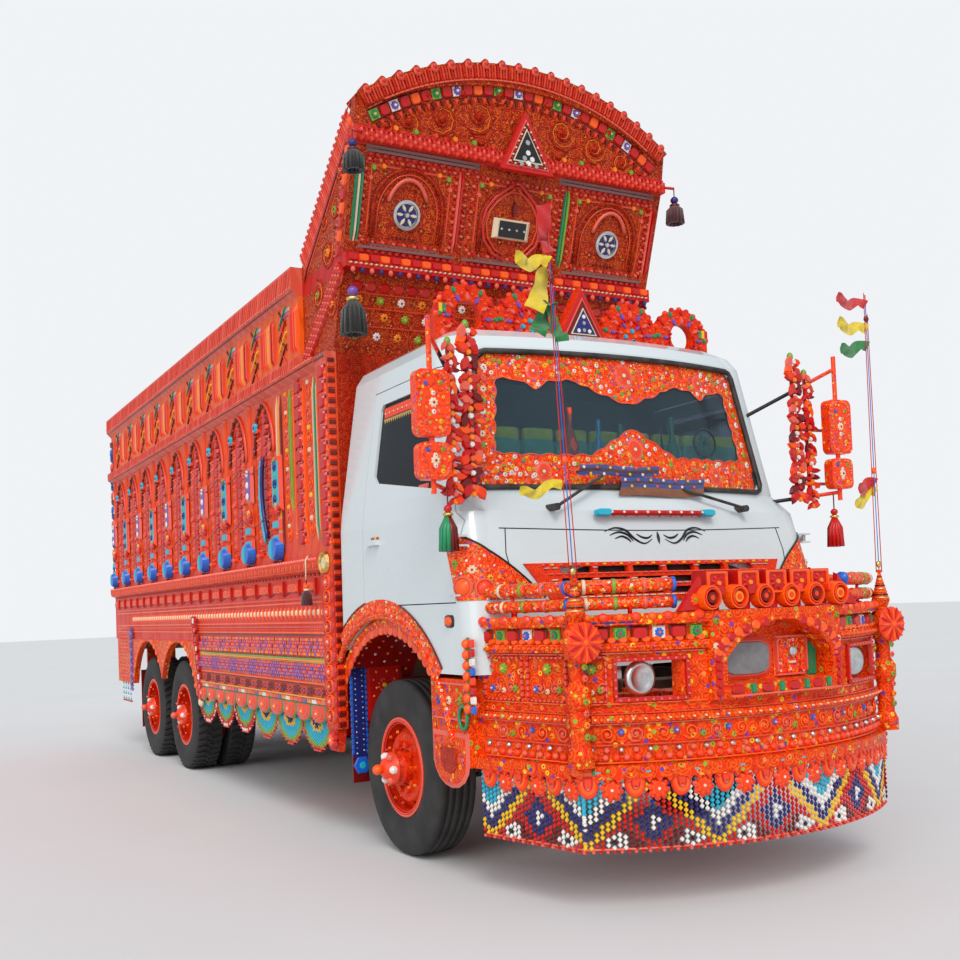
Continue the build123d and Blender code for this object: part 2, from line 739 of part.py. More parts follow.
def dashboard():
    """Dash across the cab under the windscreen, with the column."""
    a = front_axle_y
    section = [(a - 1090, 2050), (a - 1090, 1760), (a - 980, 1620), (a - 900, 1640), (a - 760, 1900),
               (a - 770, 2000), (a - 860, 2080)]
    half = cab_half_width - 125
    dash = across(section, -half, half)
    foot = block(-half + 20, half - 20, a - 1150, a - 1000, cab_floor_high + seat_gap, 1720)
    fitted = (dash + foot) & cab_form(cab_wall + seat_gap, low=cab_floor_high)
    fitted -= both_sides(block(dash_end, cab_half_width, door_front - 60, a, cab_floor_high, door_high))
    reach = wheel_boss_thickness / 2 + seat_gap
    top = (-driver_x, wheel_centre_y - reach * column_lean[0], wheel_centre_z - reach * column_lean[1])
    low = (-driver_x, wheel_centre_y - 310 * column_lean[0], wheel_centre_z - 310 * column_lean[1])
    return fitted + rod(low, top, 32)


def steering_wheel():
    """Rim, three spokes and boss on the column."""
    plane = Plane(origin=(-driver_x, wheel_centre_y, wheel_centre_z), z_dir=(0, *column_lean))
    wheel = Torus(210, 15) + Cylinder(48, wheel_boss_thickness)
    for angle in (90, 210, 330):
        wheel += Rot(0, 0, angle) * Pos(110, 0, 0) * Box(190, 26, 12)
    return plane * wheel


# Crest, mirrors, wipers

def roof_crest():
    """Crest board on the cab roof: a band, four half rounds and a pointed middle."""
    y0, y1 = crest_y - 30, crest_y + 30
    half, low, shoulder, radius = 1020.0, 3010.0, 3165.0, 215.0
    crest = along([(-half, low), (half, low), (half, shoulder), (-half, shoulder)], y0, y1)
    inner, outer = 385.0, half - radius
    for x in (-outer, -inner, inner, outer):
        crest += Pos(x, crest_y, shoulder) * Rot(90, 0, 0) * Cylinder(radius, y1 - y0)
    crest += along([(-210, low + 60), (210, low + 60), (0, 3445)], y0 - 20, y1)
    for x in (-outer, outer):
        crest -= Pos(x, crest_y, shoulder + 30) * Rot(90, 0, 0) * Cylinder(radius * 0.42, 300)
    return crest - cab_form(-seat_gap)


def mirror_set():
    """Left side: post, arms to the pillar and two mirror heads."""
    y = front_axle_y - 1150
    x = cab_half_width + 185
    post = rod((x, y, 2050), (x, y, 2960), 14)
    arms = rod((cab_half_width - 215, front_axle_y - 745, 2620), (x, y, 2880), 12)
    arms += rod((cab_half_width - 145, front_axle_y - 870, 2060), (x, y, 2100), 12)
    arms = arms - cab_form(-seat_gap)
    heads = None
    for z0, z1, half in ((2340.0, 2680.0, 95.0), (2120.0, 2310.0, 90.0)):
        outline = upright(x, y - 34, (z0 + z1) / 2) * RectangleRounded(2 * half, z1 - z0, 40)
        head = extrude(outline.face(), amount=68, dir=(0, 1, 0))
        heads = head if heads is None else heads + head
    return post + arms + heads


def wipers():
    """Two arms from their pivots in the cowl to blades across the foot of the windscreen."""
    pivot_x, pivot_y, pivot_z = 673.0, front_axle_y - 1105.0, 1995.0
    # side, blade start, blade end, blade height, arm end
    rows = ((-1, -470.0, 70.0, 2205.0, -260.0), (1, -170.0, 380.0, 2140.0, 160.0))
    pieces = []
    for side, x0, x1, z, arm_x in rows:
        blade_y = front_axle_y - 1024
        pivot = rod((side * pivot_x, pivot_y - 20, pivot_z), (side * pivot_x, pivot_y + 120, pivot_z), 20)
        arm = rod((side * pivot_x, pivot_y - 8, pivot_z), (arm_x, blade_y, z), 9)
        blade = rod((x0, blade_y, z - 6), (x1, blade_y, z + 6), 9)
        pieces.append((pivot + arm + blade) - cab_form(-seat_gap))
    return pieces


# Apron, niche, spires, lamps, fringe

def apron_plan(z, inset=0.0):
    """Plan outline of the apron: straight returns and a bowed front."""
    rear_half = apron_rear_half - inset
    corner_half = apron_corner_half - inset
    corner_y = apron_corner_y + inset * 0.8
    front = front_y + inset
    return [
        Line((-rear_half, apron_rear, z), (rear_half, apron_rear, z)),
        Line((rear_half, apron_rear, z), (corner_half, corner_y, z)),
        ThreePointArc((corner_half, corner_y, z), (0, front, z), (-corner_half, corner_y, z)),
        Line((-corner_half, corner_y, z), (-rear_half, apron_rear, z)),
    ]


def apron_band(z0, z1, inset_out, inset_in):
    """A band that follows the apron's plan, open at the rear."""
    outer = extrude(Face(Wire(apron_plan(z0, inset_out))), amount=z1 - z0, dir=(0, 0, 1))
    inner = extrude(Face(Wire(apron_plan(z0, inset_in))), amount=z1 - z0, dir=(0, 0, 1))
    return outer - inner


spire_x = apron_corner_half - 12
spire_y = apron_corner_y - 8


def spire_room(gap):
    return [Pos(s * spire_x, spire_y, 1000) * Cylinder(spire_radius + gap, 1400) for s in (-1, 1)]


def apron():
    """The apron's wall with its ledges, lamp openings, top shelf and the arms to the frame."""
    wall = apron_band(apron_bottom, apron_top, apron_inset, apron_inset + apron_wall)
    ledges = (
        # bottom, top, inset of the face
        (apron_bottom, apron_bottom + 60, 0),
        (900, 935, 22),
        (1235, 1275, 22),
        (apron_top - 50, apron_top, 14),
    )
    for z0, z1, inset in ledges:
        wall += apron_band(z0, z1, inset, apron_inset + 5)
    for s in (-1, 1):
        wall -= block(s * 560, s * 860, front_y, front_y + 500, 1010, 1190)
    low, high = rail_top - 210, rail_top - 40
    arms = [block(s * 350, s * rail_half_width, rail_front - 560, rail_front - seat_gap, low, high)
            for s in (-1, 1)]
    cross = block(-1060, 1060, rail_front - 330, rail_front - 230, low, high)
    plan = Face(Wire(apron_plan(apron_bottom - 10, apron_inset + 2)))
    brace = (arms[0] + arms[1] + cross) & extrude(plan, amount=900, dir=(0, 0, 1))
    wall = wall + brace
    wall -= block(-niche_half_width, niche_half_width, front_y - 50, front_y + 400, niche_bottom,
                  apron_top + 10)
    return wall - spire_room(seat_gap) - cab_form(-moving_gap)


def niche():
    """Arched niche block in the middle of the apron, with a shelf of lamps above."""
    plan = Face(Wire(apron_plan(niche_bottom, niche_inset)))
    room = extrude(plan, amount=apron_top - niche_bottom, dir=(0, 0, 1))
    side = niche_half_width - seat_gap
    body = room & block(-side, side, front_y - 50, front_y + 230, niche_bottom + seat_gap, apron_top)
    low, spring, apex = niche_bottom + 70, niche_bottom + 190, apron_top - 55
    half, y = niche_half_width - 80, front_y - 10
    edges = [
        Line((-half, y, low), (half, y, low)),
        Line((half, y, low), (half, y, spring)),
        ThreePointArc((half, y, spring), (0, y, apex), (-half, y, spring)),
        Line((-half, y, spring), (-half, y, low)),
    ]
    return body - along_edges(edges, y, front_y + 170)


def spires():
    """Turned pillar with a pointed cap on each front corner."""
    r = spire_radius
    outline = [(0, 700), (r, 700), (r, 760), (r * 0.72, 800), (r * 0.72, 960), (r, 1000), (r, 1060),
               (r * 0.6, 1100), (r * 0.6, 1180), (r, 1230), (r, 1330), (r * 0.55, 1380), (r * 0.8, 1420),
               (r * 0.62, 1450), (8, 1572), (16, 1578), (16, 1590), (0, 1590)]
    face = Face(Wire(Polyline([(x, 0, z) for x, z in outline], close=True).edges()))
    pillar = Pos(spire_x, spire_y, 0) * revolve(face, axis=Axis.Z)
    return solids_of(both_sides(pillar))


def apron_lamps():
    """Five box lamps and a row of oval lamps on the apron's top."""
    lamps = []
    for i in range(5):
        x = -340 + 170 * i
        y = front_y + 60 + 45 * (abs(x) / 340) ** 2
        shelf = apron_top + seat_gap
        lamps.append(block(x - 68, x + 68, y, y + 110, shelf + 70, shelf + 190) +
                     block(x - 30, x + 30, y + 30, y + 80, shelf, shelf + 70))
    return lamps


def front_fringe():
    """Thin curtain under the apron."""
    return apron_band(fringe_bottom, apron_bottom - seat_gap, 22, 36)


# Cargo body

def cargo_floor():
    """Deck on cross bearers and two sills along the frame."""
    deck_low = deck_top - deck_thickness
    bearer_low = deck_low - bearer_height + 40
    y0, y1 = body_front + head_wall_thickness + seat_gap, rear_y - gate_frame_depth
    floor = block(-deck_half_width, deck_half_width, y0, y1, deck_low, deck_top)
    for s in (-1, 1):
        floor += block(s * 350, s * rail_half_width, y0 + 80, y1 - 60, rail_top, deck_low)
    count = 12
    for i in range(count):
        y = y0 + 120 + (y1 - y0 - 240) * i / (count - 1)
        floor += block(-deck_half_width, deck_half_width, y - 40, y + 40, bearer_low, deck_low)
    return floor


def crown_side_outline(grow=0.0):
    """Side of the crown in (y, z), from its foot and ledge back to the eave."""
    g = grow
    return [(crown_foot_y - g, crown_foot_z), (crown_ledge_y - g, crown_ledge_z),
            (crown_ledge_y - crown_spring_lean - g, crown_spring_z + g), (crown_back_y + g, eave_z + g),
            (crown_back_y + g, lower_cornice_z - g), (body_front - g, lower_cornice_z - g)]


def wall_section():
    """Side wall in (x, z) with its ledge, cornices and eave, inner face on the deck's edge."""
    p, c = wall_plane, cornice_reach
    inner = deck_half_width + seat_gap
    return [
        (inner, deck_top - deck_thickness), (p, deck_top - deck_thickness), (p, ledge_z - 60),
        (p + c - 10, ledge_z - 40), (p + c, ledge_z), (p + c, ledge_z + 35), (p - 12, ledge_z + 60),
        (p - 12, lower_cornice_z - 70), (p + c, lower_cornice_z - 20), (p + c, lower_cornice_z + 60),
        (p, lower_cornice_z + 90), (p, eave_z - 210), (p + c, eave_z - 150), (p + c, eave_z), (inner, eave_z),
    ]


def side_wall():
    """Left wall: moulded length with pointed recesses, baluster slots and the front post."""
    y0, y1 = body_front + post_width, rear_y - 12
    wall = along(wall_section(), y0, y1)
    bays = 9
    pitch = (y1 - arcade_margin - arcade_front) / bays
    face_x = wall_plane - 12
    for i in range(bays):
        y = arcade_front + pitch * (i + 0.5)
        half = pitch * 0.33
        low, spring = ledge_z + 130.0, lower_cornice_z - 490
        apex = (face_x - 18, y, spring + half * 1.5)
        x = face_x - 18
        edges = [
            Line((x, y - half, low), (x, y + half, low)), Line((x, y + half, low), (x, y + half, spring)),
            ThreePointArc((x, y + half, spring), (x, y + half * 0.72, spring + half * 0.85), apex),
            ThreePointArc(apex, (x, y - half * 0.72, spring + half * 0.85), (x, y - half, spring)),
            Line((x, y - half, spring), (x, y - half, low)),
        ]
        wall -= extrude(Face(Wire(edges)), amount=120, dir=(1, 0, 0))
        rib = Cylinder(26, lower_cornice_z - ledge_z - 130)
        wall += Pos(face_x - 4, y + pitch / 2, (ledge_z + lower_cornice_z) / 2) * rib
    return wall - across(crown_side_outline(seat_gap), 1000, 1400)


def front_post():
    """Corner post from the cornice down to its pendant foot."""
    y0, y1 = body_front, body_front + post_width
    inner = deck_half_width + seat_gap
    post = block(inner, wall_plane + 30, y0, y1 - seat_gap, post_bottom + 150, lower_cornice_z - seat_gap)
    foot = along([(inner, post_bottom + 150), (wall_plane + 30, post_bottom + 150),
                  (wall_plane + 10, post_bottom), (inner + 20, post_bottom)], y0 + 30, y1 - 30)
    return post + foot


def skirt():
    """Left skirt below the deck with the twin wheel arches."""
    y0, y1 = body_front + post_width, rear_y - 180
    top = deck_top - deck_thickness - seat_gap
    skirt_plate = block(skirt_inner, skirt_outer, y0, y1, skirt_bottom, top)
    for y in (middle_axle_y, rear_axle_y):
        skirt_plate -= rod((skirt_inner - 50, y, tyre_radius - 30), (skirt_outer + 50, y, tyre_radius - 30),
                           wheel_arch_radius)
    for z in (880.0, 1040.0):
        band = block(skirt_outer, skirt_outer + 14, y0, middle_axle_y - wheel_arch_radius - 60, z, z + 30)
        skirt_plate += band
    return skirt_plate


def side_fringe():
    """Curtain under the skirt, ahead of the twin wheels."""
    y0, y1 = body_front + post_width + 10, middle_axle_y - wheel_arch_radius + 20
    return block(skirt_outer - 26, skirt_outer - 12, y0, y1, skirt_bottom - 230, skirt_bottom - seat_gap)


def head_wall():
    """Front wall of the load space, with upright ribs."""
    y0, y1 = body_front, body_front + head_wall_thickness
    z0, z1 = deck_top - deck_thickness, lower_cornice_z - seat_gap
    wall = block(-deck_half_width, deck_half_width, y0, y1, z0, z1)
    ribs, pitch = 7, 330.0
    for i in range(ribs):
        x = pitch * (i - (ribs - 1) / 2)
        wall += block(x - 30, x + 30, y0 - 18, y0, deck_top, z1)
    return wall


def crown_knobs():
    """Short round lugs along the top arch, their faces on the front's lean."""
    rise = crown_apex_z - 25 - crown_spring_z
    radius = (crown_half_width ** 2 + rise ** 2) / (2 * rise)
    centre_z = crown_spring_z + rise - radius
    half_angle = asin(crown_half_width / radius)
    lean = crown_apex_lean / (crown_apex_z - crown_ledge_z)
    knobs = []
    for i in range(knob_count):
        a = half_angle * ((2 * i + 1) / knob_count - 1)
        x, z = radius * sin(a), centre_z + radius * cos(a)
        y = crown_ledge_y - lean * (z - crown_ledge_z)
        knobs.append(rod((x, y - knob_reach, z), (x, y + knob_reach, z), knob_radius))
    return knobs


def crown():
    """Hollow crown: leaning panelled front, ledge, arched tympanum, sides and soffit."""
    t = crown_panel
    foot, ledge = (crown_foot_y, crown_foot_z), (crown_ledge_y, crown_ledge_z)
    hw = crown_half_width
    top_y, top_z = crown_ledge_y - crown_apex_lean, crown_apex_z
    back_bottom = lower_cornice_z
    front_plate = across([foot, ledge, (top_y, top_z), (top_y + t, top_z), (ledge[0] + t, ledge[1] + 10),
                          (foot[0] + t * 1.15, foot[1])], -hw, hw)
    spring, apex, low = crown_spring_z, crown_apex_z - 25, 3000
    edges = [
        Line((-hw, front_y, low), (hw, front_y, low)),
        Line((hw, front_y, low), (hw, front_y, spring)),
        ThreePointArc((hw, front_y, spring), (0, front_y, apex), (-hw, front_y, spring)),
        Line((-hw, front_y, spring), (-hw, front_y, low)),
    ]
    front_plate = front_plate & along_edges(edges, front_y, rear_y)
    side = across(crown_side_outline(), hw - t, hw)
    body = front_plate + both_sides(side)
    soffit = across([foot, (foot[0] + t, foot[1]), (body_front + head_wall_thickness, back_bottom + t),
                     (body_front + head_wall_thickness, back_bottom), (body_front, back_bottom)], -hw, hw)
    body += soffit
    shelf = across([(ledge[0] - 45, ledge[1] - 30), (ledge[0] - 45, ledge[1] + 45),
                    (ledge[0] + 20, ledge[1] + 60), (ledge[0] + 30, ledge[1] - 30)], -hw, hw)
    beam = across([(foot[0] - 60, foot[1] - 30), (foot[0] - 60, foot[1] + 60),
                   (foot[0] + 10, foot[1] + 80), (foot[0] + 40, foot[1] - 30)], -hw, hw)
    body += [shelf, beam]
    for s in (-1, 0, 1):
        x, half = s * 790.0, 330.0
        recess = across([(foot[0] - 80, foot[1] + 110), (ledge[0] - 80, ledge[1] - 60),
                         (ledge[0] + 15, ledge[1] - 60), (foot[0] - 22, foot[1] + 110)], x - half, x + half)
        arch = pointed_arch(250, crown_foot_z + 130, 4120, front_y)
        shifted = [edge.moved(Location((x, 0, 0))) for edge in arch]
        body -= recess & along_edges(shifted, front_y, rear_y)
    inner, inner_spring = hw - rim_depth, spring - rim_depth
    rim_edges = [
        ThreePointArc((-hw, front_y, spring), (0, front_y, apex), (hw, front_y, spring)),
        Line((hw, front_y, spring), (inner, front_y, inner_spring)),
        ThreePointArc((inner, front_y, inner_spring), (0, front_y, apex - 2 * rim_depth),
                      (-inner, front_y, inner_spring)),
        Line((-inner, front_y, inner_spring), (-hw, front_y, spring)),
    ]
    rim_slab = across([(ledge[0] - 40, ledge[1]), (top_y - 40, top_z), (top_y + 150, top_z),
                       (ledge[0] + 150, ledge[1])], -hw, hw)
    body += rim_slab & along_edges(rim_edges, front_y, rear_y)
    return body + crown_knobs()


def rear_frame():
    """Posts, header panel with a shallow arch, and the sill under the tailgate."""
    inner = gate_half_width + panel_gap
    y0, y1 = rear_y - gate_frame_depth, rear_y - 14
    outer = deck_half_width
    frame = block(-outer, outer, y0, y1, gate_top + 40, eave_z - 60)
    frame += both_sides(block(inner, outer, y0, y1, deck_top + seat_gap, eave_z - 60))
    crest_edges = [
        Line((-outer, y0, eave_z - 60), (outer, y0, eave_z - 60)),
        ThreePointArc((outer, y0, eave_z - 60), (0, y0, eave_z + 230), (-outer, y0, eave_z - 60)),
    ]
    frame += along_edges(crest_edges, y0, y1)
    for i in range(3):
        x = -760 + 760 * i
        frame -= block(x - 290, x + 290, rear_y - 30, rear_y, gate_top + 160, eave_z - 200)
    sill = block(-outer, outer, y0 + seat_gap, rear_y, deck_top - 190, deck_top - seat_gap)
    for x in gate_hinges:
        for x0, x1 in ((x - 74, x - 62), (x + 62, x + 74)):
            sill += rod((x0, gate_axis_y, gate_axis_z), (x1, gate_axis_y, gate_axis_z), 18)
            sill += block(x0, x1, gate_axis_y - 18, gate_axis_y + 18, deck_top - 20, gate_axis_z)
        sill += rod((x - 74, gate_axis_y, gate_axis_z), (x + 74, gate_axis_y, gate_axis_z), gate_pin_radius)
    lamps = [block(s * 560, s * 900, rear_y - 100, rear_y - 60, 860, 1110 - seat_gap) for s in (-1, 1)]
    return solids_of(frame, sill, lamps)


def tailgate():
    """Drop gate with framed panels, hinge knuckles below and outside its panel."""
    y1 = rear_y - 50
    y0 = y1 - gate_thickness
    z0 = deck_top + 12
    gate = block(-gate_half_width, gate_half_width, y0, y1, z0, gate_top)
    for i in range(4):
        x = -810 + 540 * i
        gate -= block(x - 225, x + 225, y1 - 18, y1, z0 + 110, gate_top - 110)
    for x in gate_hinges:
        gate += rod((x - 60, gate_axis_y, gate_axis_z), (x + 60, gate_axis_y, gate_axis_z), 16)
        gate += block(x - 60, x + 60, y1, gate_axis_y, gate_axis_z - 8, gate_axis_z + 8)
        gate -= rod((x - 80, gate_axis_y, gate_axis_z), (x + 80, gate_axis_y, gate_axis_z),
                    gate_pin_radius + running_fit)
    return gate


def mudguards():
    """Flaps behind the front wheels and behind the last wheels."""
    front = block(810, 1190, front_axle_y + 632, front_axle_y + 642, 360, 1230)
    carrier = block(rail_half_width, 830, front_axle_y + 632, front_axle_y + 642, 960, 1020)
    rear_flap = block(640, 1190, rear_axle_y + 640, rear_axle_y + 652, 260, 900)
    stay = block(rail_half_width, 700, rear_axle_y + 640, rear_axle_y + 652, 850, 900)
    return [front + carrier, rear_flap + stay]


def cab_steps():
    """Step box under each side of the cab, between the apron and the wheel."""
    y0, y1 = apron_rear + seat_gap, front_axle_y - 640
    outer = 1235.0
    step = block(880, outer, y0, y1, 640, 1095)
    step -= block(1000, outer, y0 + 40, y1 - 40, 700, 860)
    hanger = block(rail_half_width, 900, y0 + 60, y0 + 140, 900, 980)
    return step + hanger


def flag_masts():
    """Three thin taut stays above each spire."""
    masts = []
    for side in (-1, 1):
        for i, offset in enumerate((-9.0, 0.0, 9.0)):
            base = (side * spire_x + offset, spire_y, 1590 + seat_gap)
            top = (side * (spire_x + 40) + offset, spire_y + 30, 3180 - 60 * i)
            masts.append(rod(base, top, 3.5))
    return masts


def tassels():
    """Hanging tassels at the crown's corners."""
    shapes = []
    for side in (-1, 1):
        for y, z0, z1, r in ((crown_foot_y - 15, 3380.0, crown_foot_z - 30 - seat_gap, 60.0),):
            outline = [(0, z0), (r, z0), (r * 0.8, z0 + 160), (18, z0 + 210), (18, z1), (0, z1)]
            face = Face(Wire(Polyline([(x, 0, z) for x, z in outline], close=True).edges()))
            shapes.append(Pos(side * (crown_half_width - 60), y, 0) * revolve(face, axis=Axis.Z))
    return shapes


def build():
    nodes = {
        "chassis_frame": chassis_frame(),
        "front_axle": front_axle(),
        "drive_axles": solids_of(drive_axle(middle_axle_y), drive_axle(rear_axle_y)),
        "leaf_springs": leaf_springs(),
        "engine_block": engine_block(),
        "propeller_shaft": propeller_shaft(),
        "fuel_tank": fuel_tank(),
        "tie_rod": tie_rod(),
        "cab_shell": cab_shell(),
        "windscreen": windscreen(),
        "grille": grille(),
        "cab_seats": solids_of(seats()),
        "sleeper_bench": sleeper_bench(),
        "dashboard": dashboard(),
        "steering_wheel": steering_wheel(),
        "roof_crest": roof_crest(),
        "mirrors": solids_of(both_sides(mirror_set())),
        "wipers": solids_of(wipers()),
        "apron": apron(),
        "apron_niche": niche(),
        "apron_spires": spires(),
        "apron_lamps": solids_of(apron_lamps()),
        "front_fringe": front_fringe(),
        "cargo_floor": cargo_floor(),
        "head_wall": head_wall(),
        "crown": crown(),
        "rear_frame": rear_frame(),
        "tailgate": tailgate(),
        "side_fringes": solids_of(both_sides(side_fringe())),
        "mudguards": solids_of(*[both_sides(flap) for flap in mudguards()]),
        "cab_steps": solids_of(both_sides(cab_steps())),
        "flag_masts": solids_of(flag_masts()),
        "tassels": solids_of(tassels()),
    }
    left = {
        "knuckle": knuckle(),
        "front_wheel": Pos(front_track_half, front_axle_y, tyre_radius) * front_wheel(),
        "front_tyre": tyre(front_track_half, front_axle_y),
        "door": door(),
        "door_glass": door_glass(),
        "side_wall": solids_of(side_wall(), front_post()),
        "skirt": skirt(),
    }
    twin = dual_wheel()
    for name, axle_y in (("middle", middle_axle_y), ("rear", rear_axle_y)):
        centre = (dual_outer_x - dual_spacing / 2, axle_y, tyre_radius)
        pair = [tyre(x, axle_y) for x in (dual_outer_x, dual_outer_x - dual_spacing)]
        left[name + "_wheel"] = Pos(*centre) * twin
        left[name + "_tyres"] = solids_of(pair)
    for name, shape in left.items():
        nodes[name + "_left"] = shape
        nodes[name + "_right"] = other_side(shape)
    return nodes


os.makedirs("parts", exist_ok=True)
for node_name, node_shape in build().items():
    export_step(node_shape, os.path.join("parts", node_name + ".step"))
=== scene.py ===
"""Looks of the decorated truck: finishes for the frame's nodes and all the ornament that they carry.

Metres, +Z up, front towards -Y, the driver's side (right) towards -X.
"""
import random
from math import atan2, copysign, cos, hypot, pi, radians, sin

import bpy
import numpy as np
from mathutils import Matrix, Vector
from mathutils.bvhtree import BVHTree


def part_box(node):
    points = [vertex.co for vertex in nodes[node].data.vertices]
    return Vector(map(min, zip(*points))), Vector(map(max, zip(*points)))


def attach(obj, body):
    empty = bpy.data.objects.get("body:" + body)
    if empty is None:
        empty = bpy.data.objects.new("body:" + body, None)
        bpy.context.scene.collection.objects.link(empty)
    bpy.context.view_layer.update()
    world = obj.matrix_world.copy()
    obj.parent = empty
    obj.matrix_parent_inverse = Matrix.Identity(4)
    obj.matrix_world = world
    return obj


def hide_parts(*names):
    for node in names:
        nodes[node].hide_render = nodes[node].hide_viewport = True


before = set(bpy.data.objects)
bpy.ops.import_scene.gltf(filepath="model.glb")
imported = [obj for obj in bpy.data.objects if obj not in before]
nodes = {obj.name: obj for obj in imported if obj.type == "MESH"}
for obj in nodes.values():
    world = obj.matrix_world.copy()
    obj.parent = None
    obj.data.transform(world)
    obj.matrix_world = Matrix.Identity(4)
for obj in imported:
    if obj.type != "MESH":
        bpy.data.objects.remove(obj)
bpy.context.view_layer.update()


def middle_y(name):
    """Middle of a node's box along the truck."""
    low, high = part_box(name)
    return (low.y + high.y) / 2


# Axle lines, read from the frame
TYRE_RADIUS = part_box("front_tyre_right")[1].z / 2
FRONT_AXLE_Y, MIDDLE_AXLE_Y = middle_y("front_tyre_right"), middle_y("middle_tyres_right")
REAR_AXLE_Y = middle_y("rear_tyres_right")
# Upright planes just outside the side: panel, pillars, skirt and front post
WALL_X, PILLAR_X, SKIRT_X, POST_X = 1.236, 1.262, 1.264, 1.2755
ARCADE_START, ARCADE_END, ARCADE_BAYS = -1.14, 4.868, 9
ARCADE_PITCH = (ARCADE_END - ARCADE_START) / ARCADE_BAYS
# Ends of the wall and of the skirt's rows, and the skirt's stretch before the rear wheels
WALL_END, SKIRT_END, SKIRT_FRONT, SKIRT_BACK = 4.96, 4.9, -2.03, 1.12
# Outer faces of the rims, height of the front arches' centre, the mirrors, steps, spires and crown
FRONT_RIM_X, REAR_RIM_X = 1.132, 1.195
ARCH_Z, MIRROR_X, STEP_Y = 0.507, 1.43, -3.75
SPIRE_X, SPIRE_Y = 1.028, -4.678
CROWN_HALF = 1.2
SIDES = ((1, "left"), (-1, "right"))


def rgb(red, green, blue):
    """A colour given as it looks on a screen, 0 to 255, as the linear values that shaders use."""
    return tuple(((c / 255 + 0.055) / 1.055) ** 2.4 if c > 10 else c / 255 / 12.92
                 for c in (red, green, blue))


# Materials

class Field:
    """A number that varies over a surface. Arithmetic on it adds maths nodes."""

    def __init__(self, shade, socket):
        self.shade, self.socket = shade, socket

    def _do(self, operation, *others):
        return self.shade.maths(operation, self, *others)

    def __add__(self, other):
        return self._do("ADD", other)

    def __sub__(self, other):
        return self._do("SUBTRACT", other)

    def __rsub__(self, other):
        return self.shade.maths("SUBTRACT", other, self)

    def __mul__(self, other):
        return self._do("MULTIPLY", other)

    def __truediv__(self, other):
        return self._do("DIVIDE", other)

    def __abs__(self):
        return self._do("ABSOLUTE")

    __radd__, __rmul__ = __add__, __mul__

    def fold(self, size):
        """Distance from the middle of the repeating cell of that size, from -0.5 to 0.5 cells."""
        return (self / size)._do("FRACT") - 0.5

    def above(self, edge, soft=0.01):
        """1 where the value is over the edge, 0 where it is under, with a soft step."""
        return self.shade.maths("MULTIPLY_ADD", self - edge, 1 / soft, 0.5, clamp=True)

    def below(self, edge, soft=0.01):
        return self.shade.maths("MULTIPLY_ADD", self - edge, -1 / soft, 0.5, clamp=True)

    def between(self, low, high, soft=0.01):
        return self.above(low, soft) * self.below(high, soft)


class Shade:
    """A material whose colour, roughness and relief are worked out by nodes."""

    def __init__(self, name, colour, rough=0.45, metal=0.0, coat=0.0):
        self.material = bpy.data.materials.new(name)
        self.material.use_nodes = True
        self.tree = self.material.node_tree
        self.surface = self.tree.nodes["Principled BSDF"]
        self.colour = colour
        self.set("Base Color", (*colour, 1))
        self.set("Roughness", rough)
        self.set("Metallic", metal)
        self.set("Coat Weight", coat)

    def set(self, name, value):
        self.feed(self.surface.inputs[name], value)

    def node(self, kind, settings=None, **inputs):
        made = self.tree.nodes.new(kind)
        for key, value in (settings or {}).items():
            setattr(made, key, value)
        for key, value in inputs.items():
            self.feed(made.inputs[key.replace("_", " ")], value)
        return made

    def feed(self, socket, value):
        if isinstance(value, Field):
            value = value.socket
        if isinstance(value, bpy.types.NodeSocket):
            self.tree.links.new(value, socket)
        else:
            socket.default_value = value

    def maths(self, operation, *values, clamp=False):
        made = self.tree.nodes.new("ShaderNodeMath")
        made.operation, made.use_clamp = operation, clamp
        for socket, value in zip(made.inputs, values):
            self.feed(socket, value)
        return Field(self, made.outputs[0])

    def mix(self, factor, first, second):
        """Colour first where factor is 0 and second where it is 1."""
        made = self.tree.nodes.new("ShaderNodeMix")
        made.data_type = "RGBA"
        self.feed(made.inputs[0], factor)
        for socket, value in ((made.inputs[6], first), (made.inputs[7], second)):
            self.feed(socket, (*value, 1) if isinstance(value, tuple) and len(value) == 3 else value)
        return made.outputs[2]

    def split(self, output):
        """The three parts of a texture coordinate."""
        parts = self.node("ShaderNodeSeparateXYZ", Vector=self.node("ShaderNodeTexCoord").outputs[output])
        return [Field(self, parts.outputs[i]) for i in range(3)]

    def place(self):
        """Position on the object, as three numbers in metres."""
        return self.split("Object")

    def flat(self):
        """Two coordinates that run along whichever main plane the surface faces."""
        x, y, z = self.place()
        normal_x, _, normal_z = self.split("Normal")
        side, top = abs(normal_x).above(0.6, 0.02), abs(normal_z).above(0.72, 0.02)
        return x + side * (y - x), z + top * (y - z)

    def noise(self, scale, detail=3.0):
        vector = self.node("ShaderNodeTexCoord").outputs["Object"]
        made = self.node("ShaderNodeTexNoise", Vector=vector, Scale=scale, Detail=detail)
        return Field(self, made.outputs[0])

    def bump(self, height, distance=0.002, strength=1.0):
        made = self.node("ShaderNodeBump", Height=height, Distance=distance, Strength=strength)
        self.set("Normal", made.outputs[0])


def enamel(name, colour, rough=0.32, coat=0.1, fleck=0.1):
    """Glossy paint or plastic with uneven depth of colour and fine scratches."""
    shade = Shade(name, colour, rough, 0.0, coat)
    pale = tuple(min(1.0, c * 0.75 + 0.16) for c in colour)
    deep = tuple(c * 0.55 for c in colour)
    blotch = shade.noise(9.0, 5.0)
    tinted = shade.mix(blotch.above(0.56, 0.3) * fleck * 2, colour, deep)
    tinted = shade.mix(shade.noise(60.0, 4.0).above(0.66, 0.08) * fleck, tinted, pale)
    shade.set("Base Color", tinted)
    shade.set("Roughness", blotch * 0.22 + (rough - 0.08))
    shade.bump(shade.noise(240.0, 2.0), 0.0004, 0.4)
    return shade.material


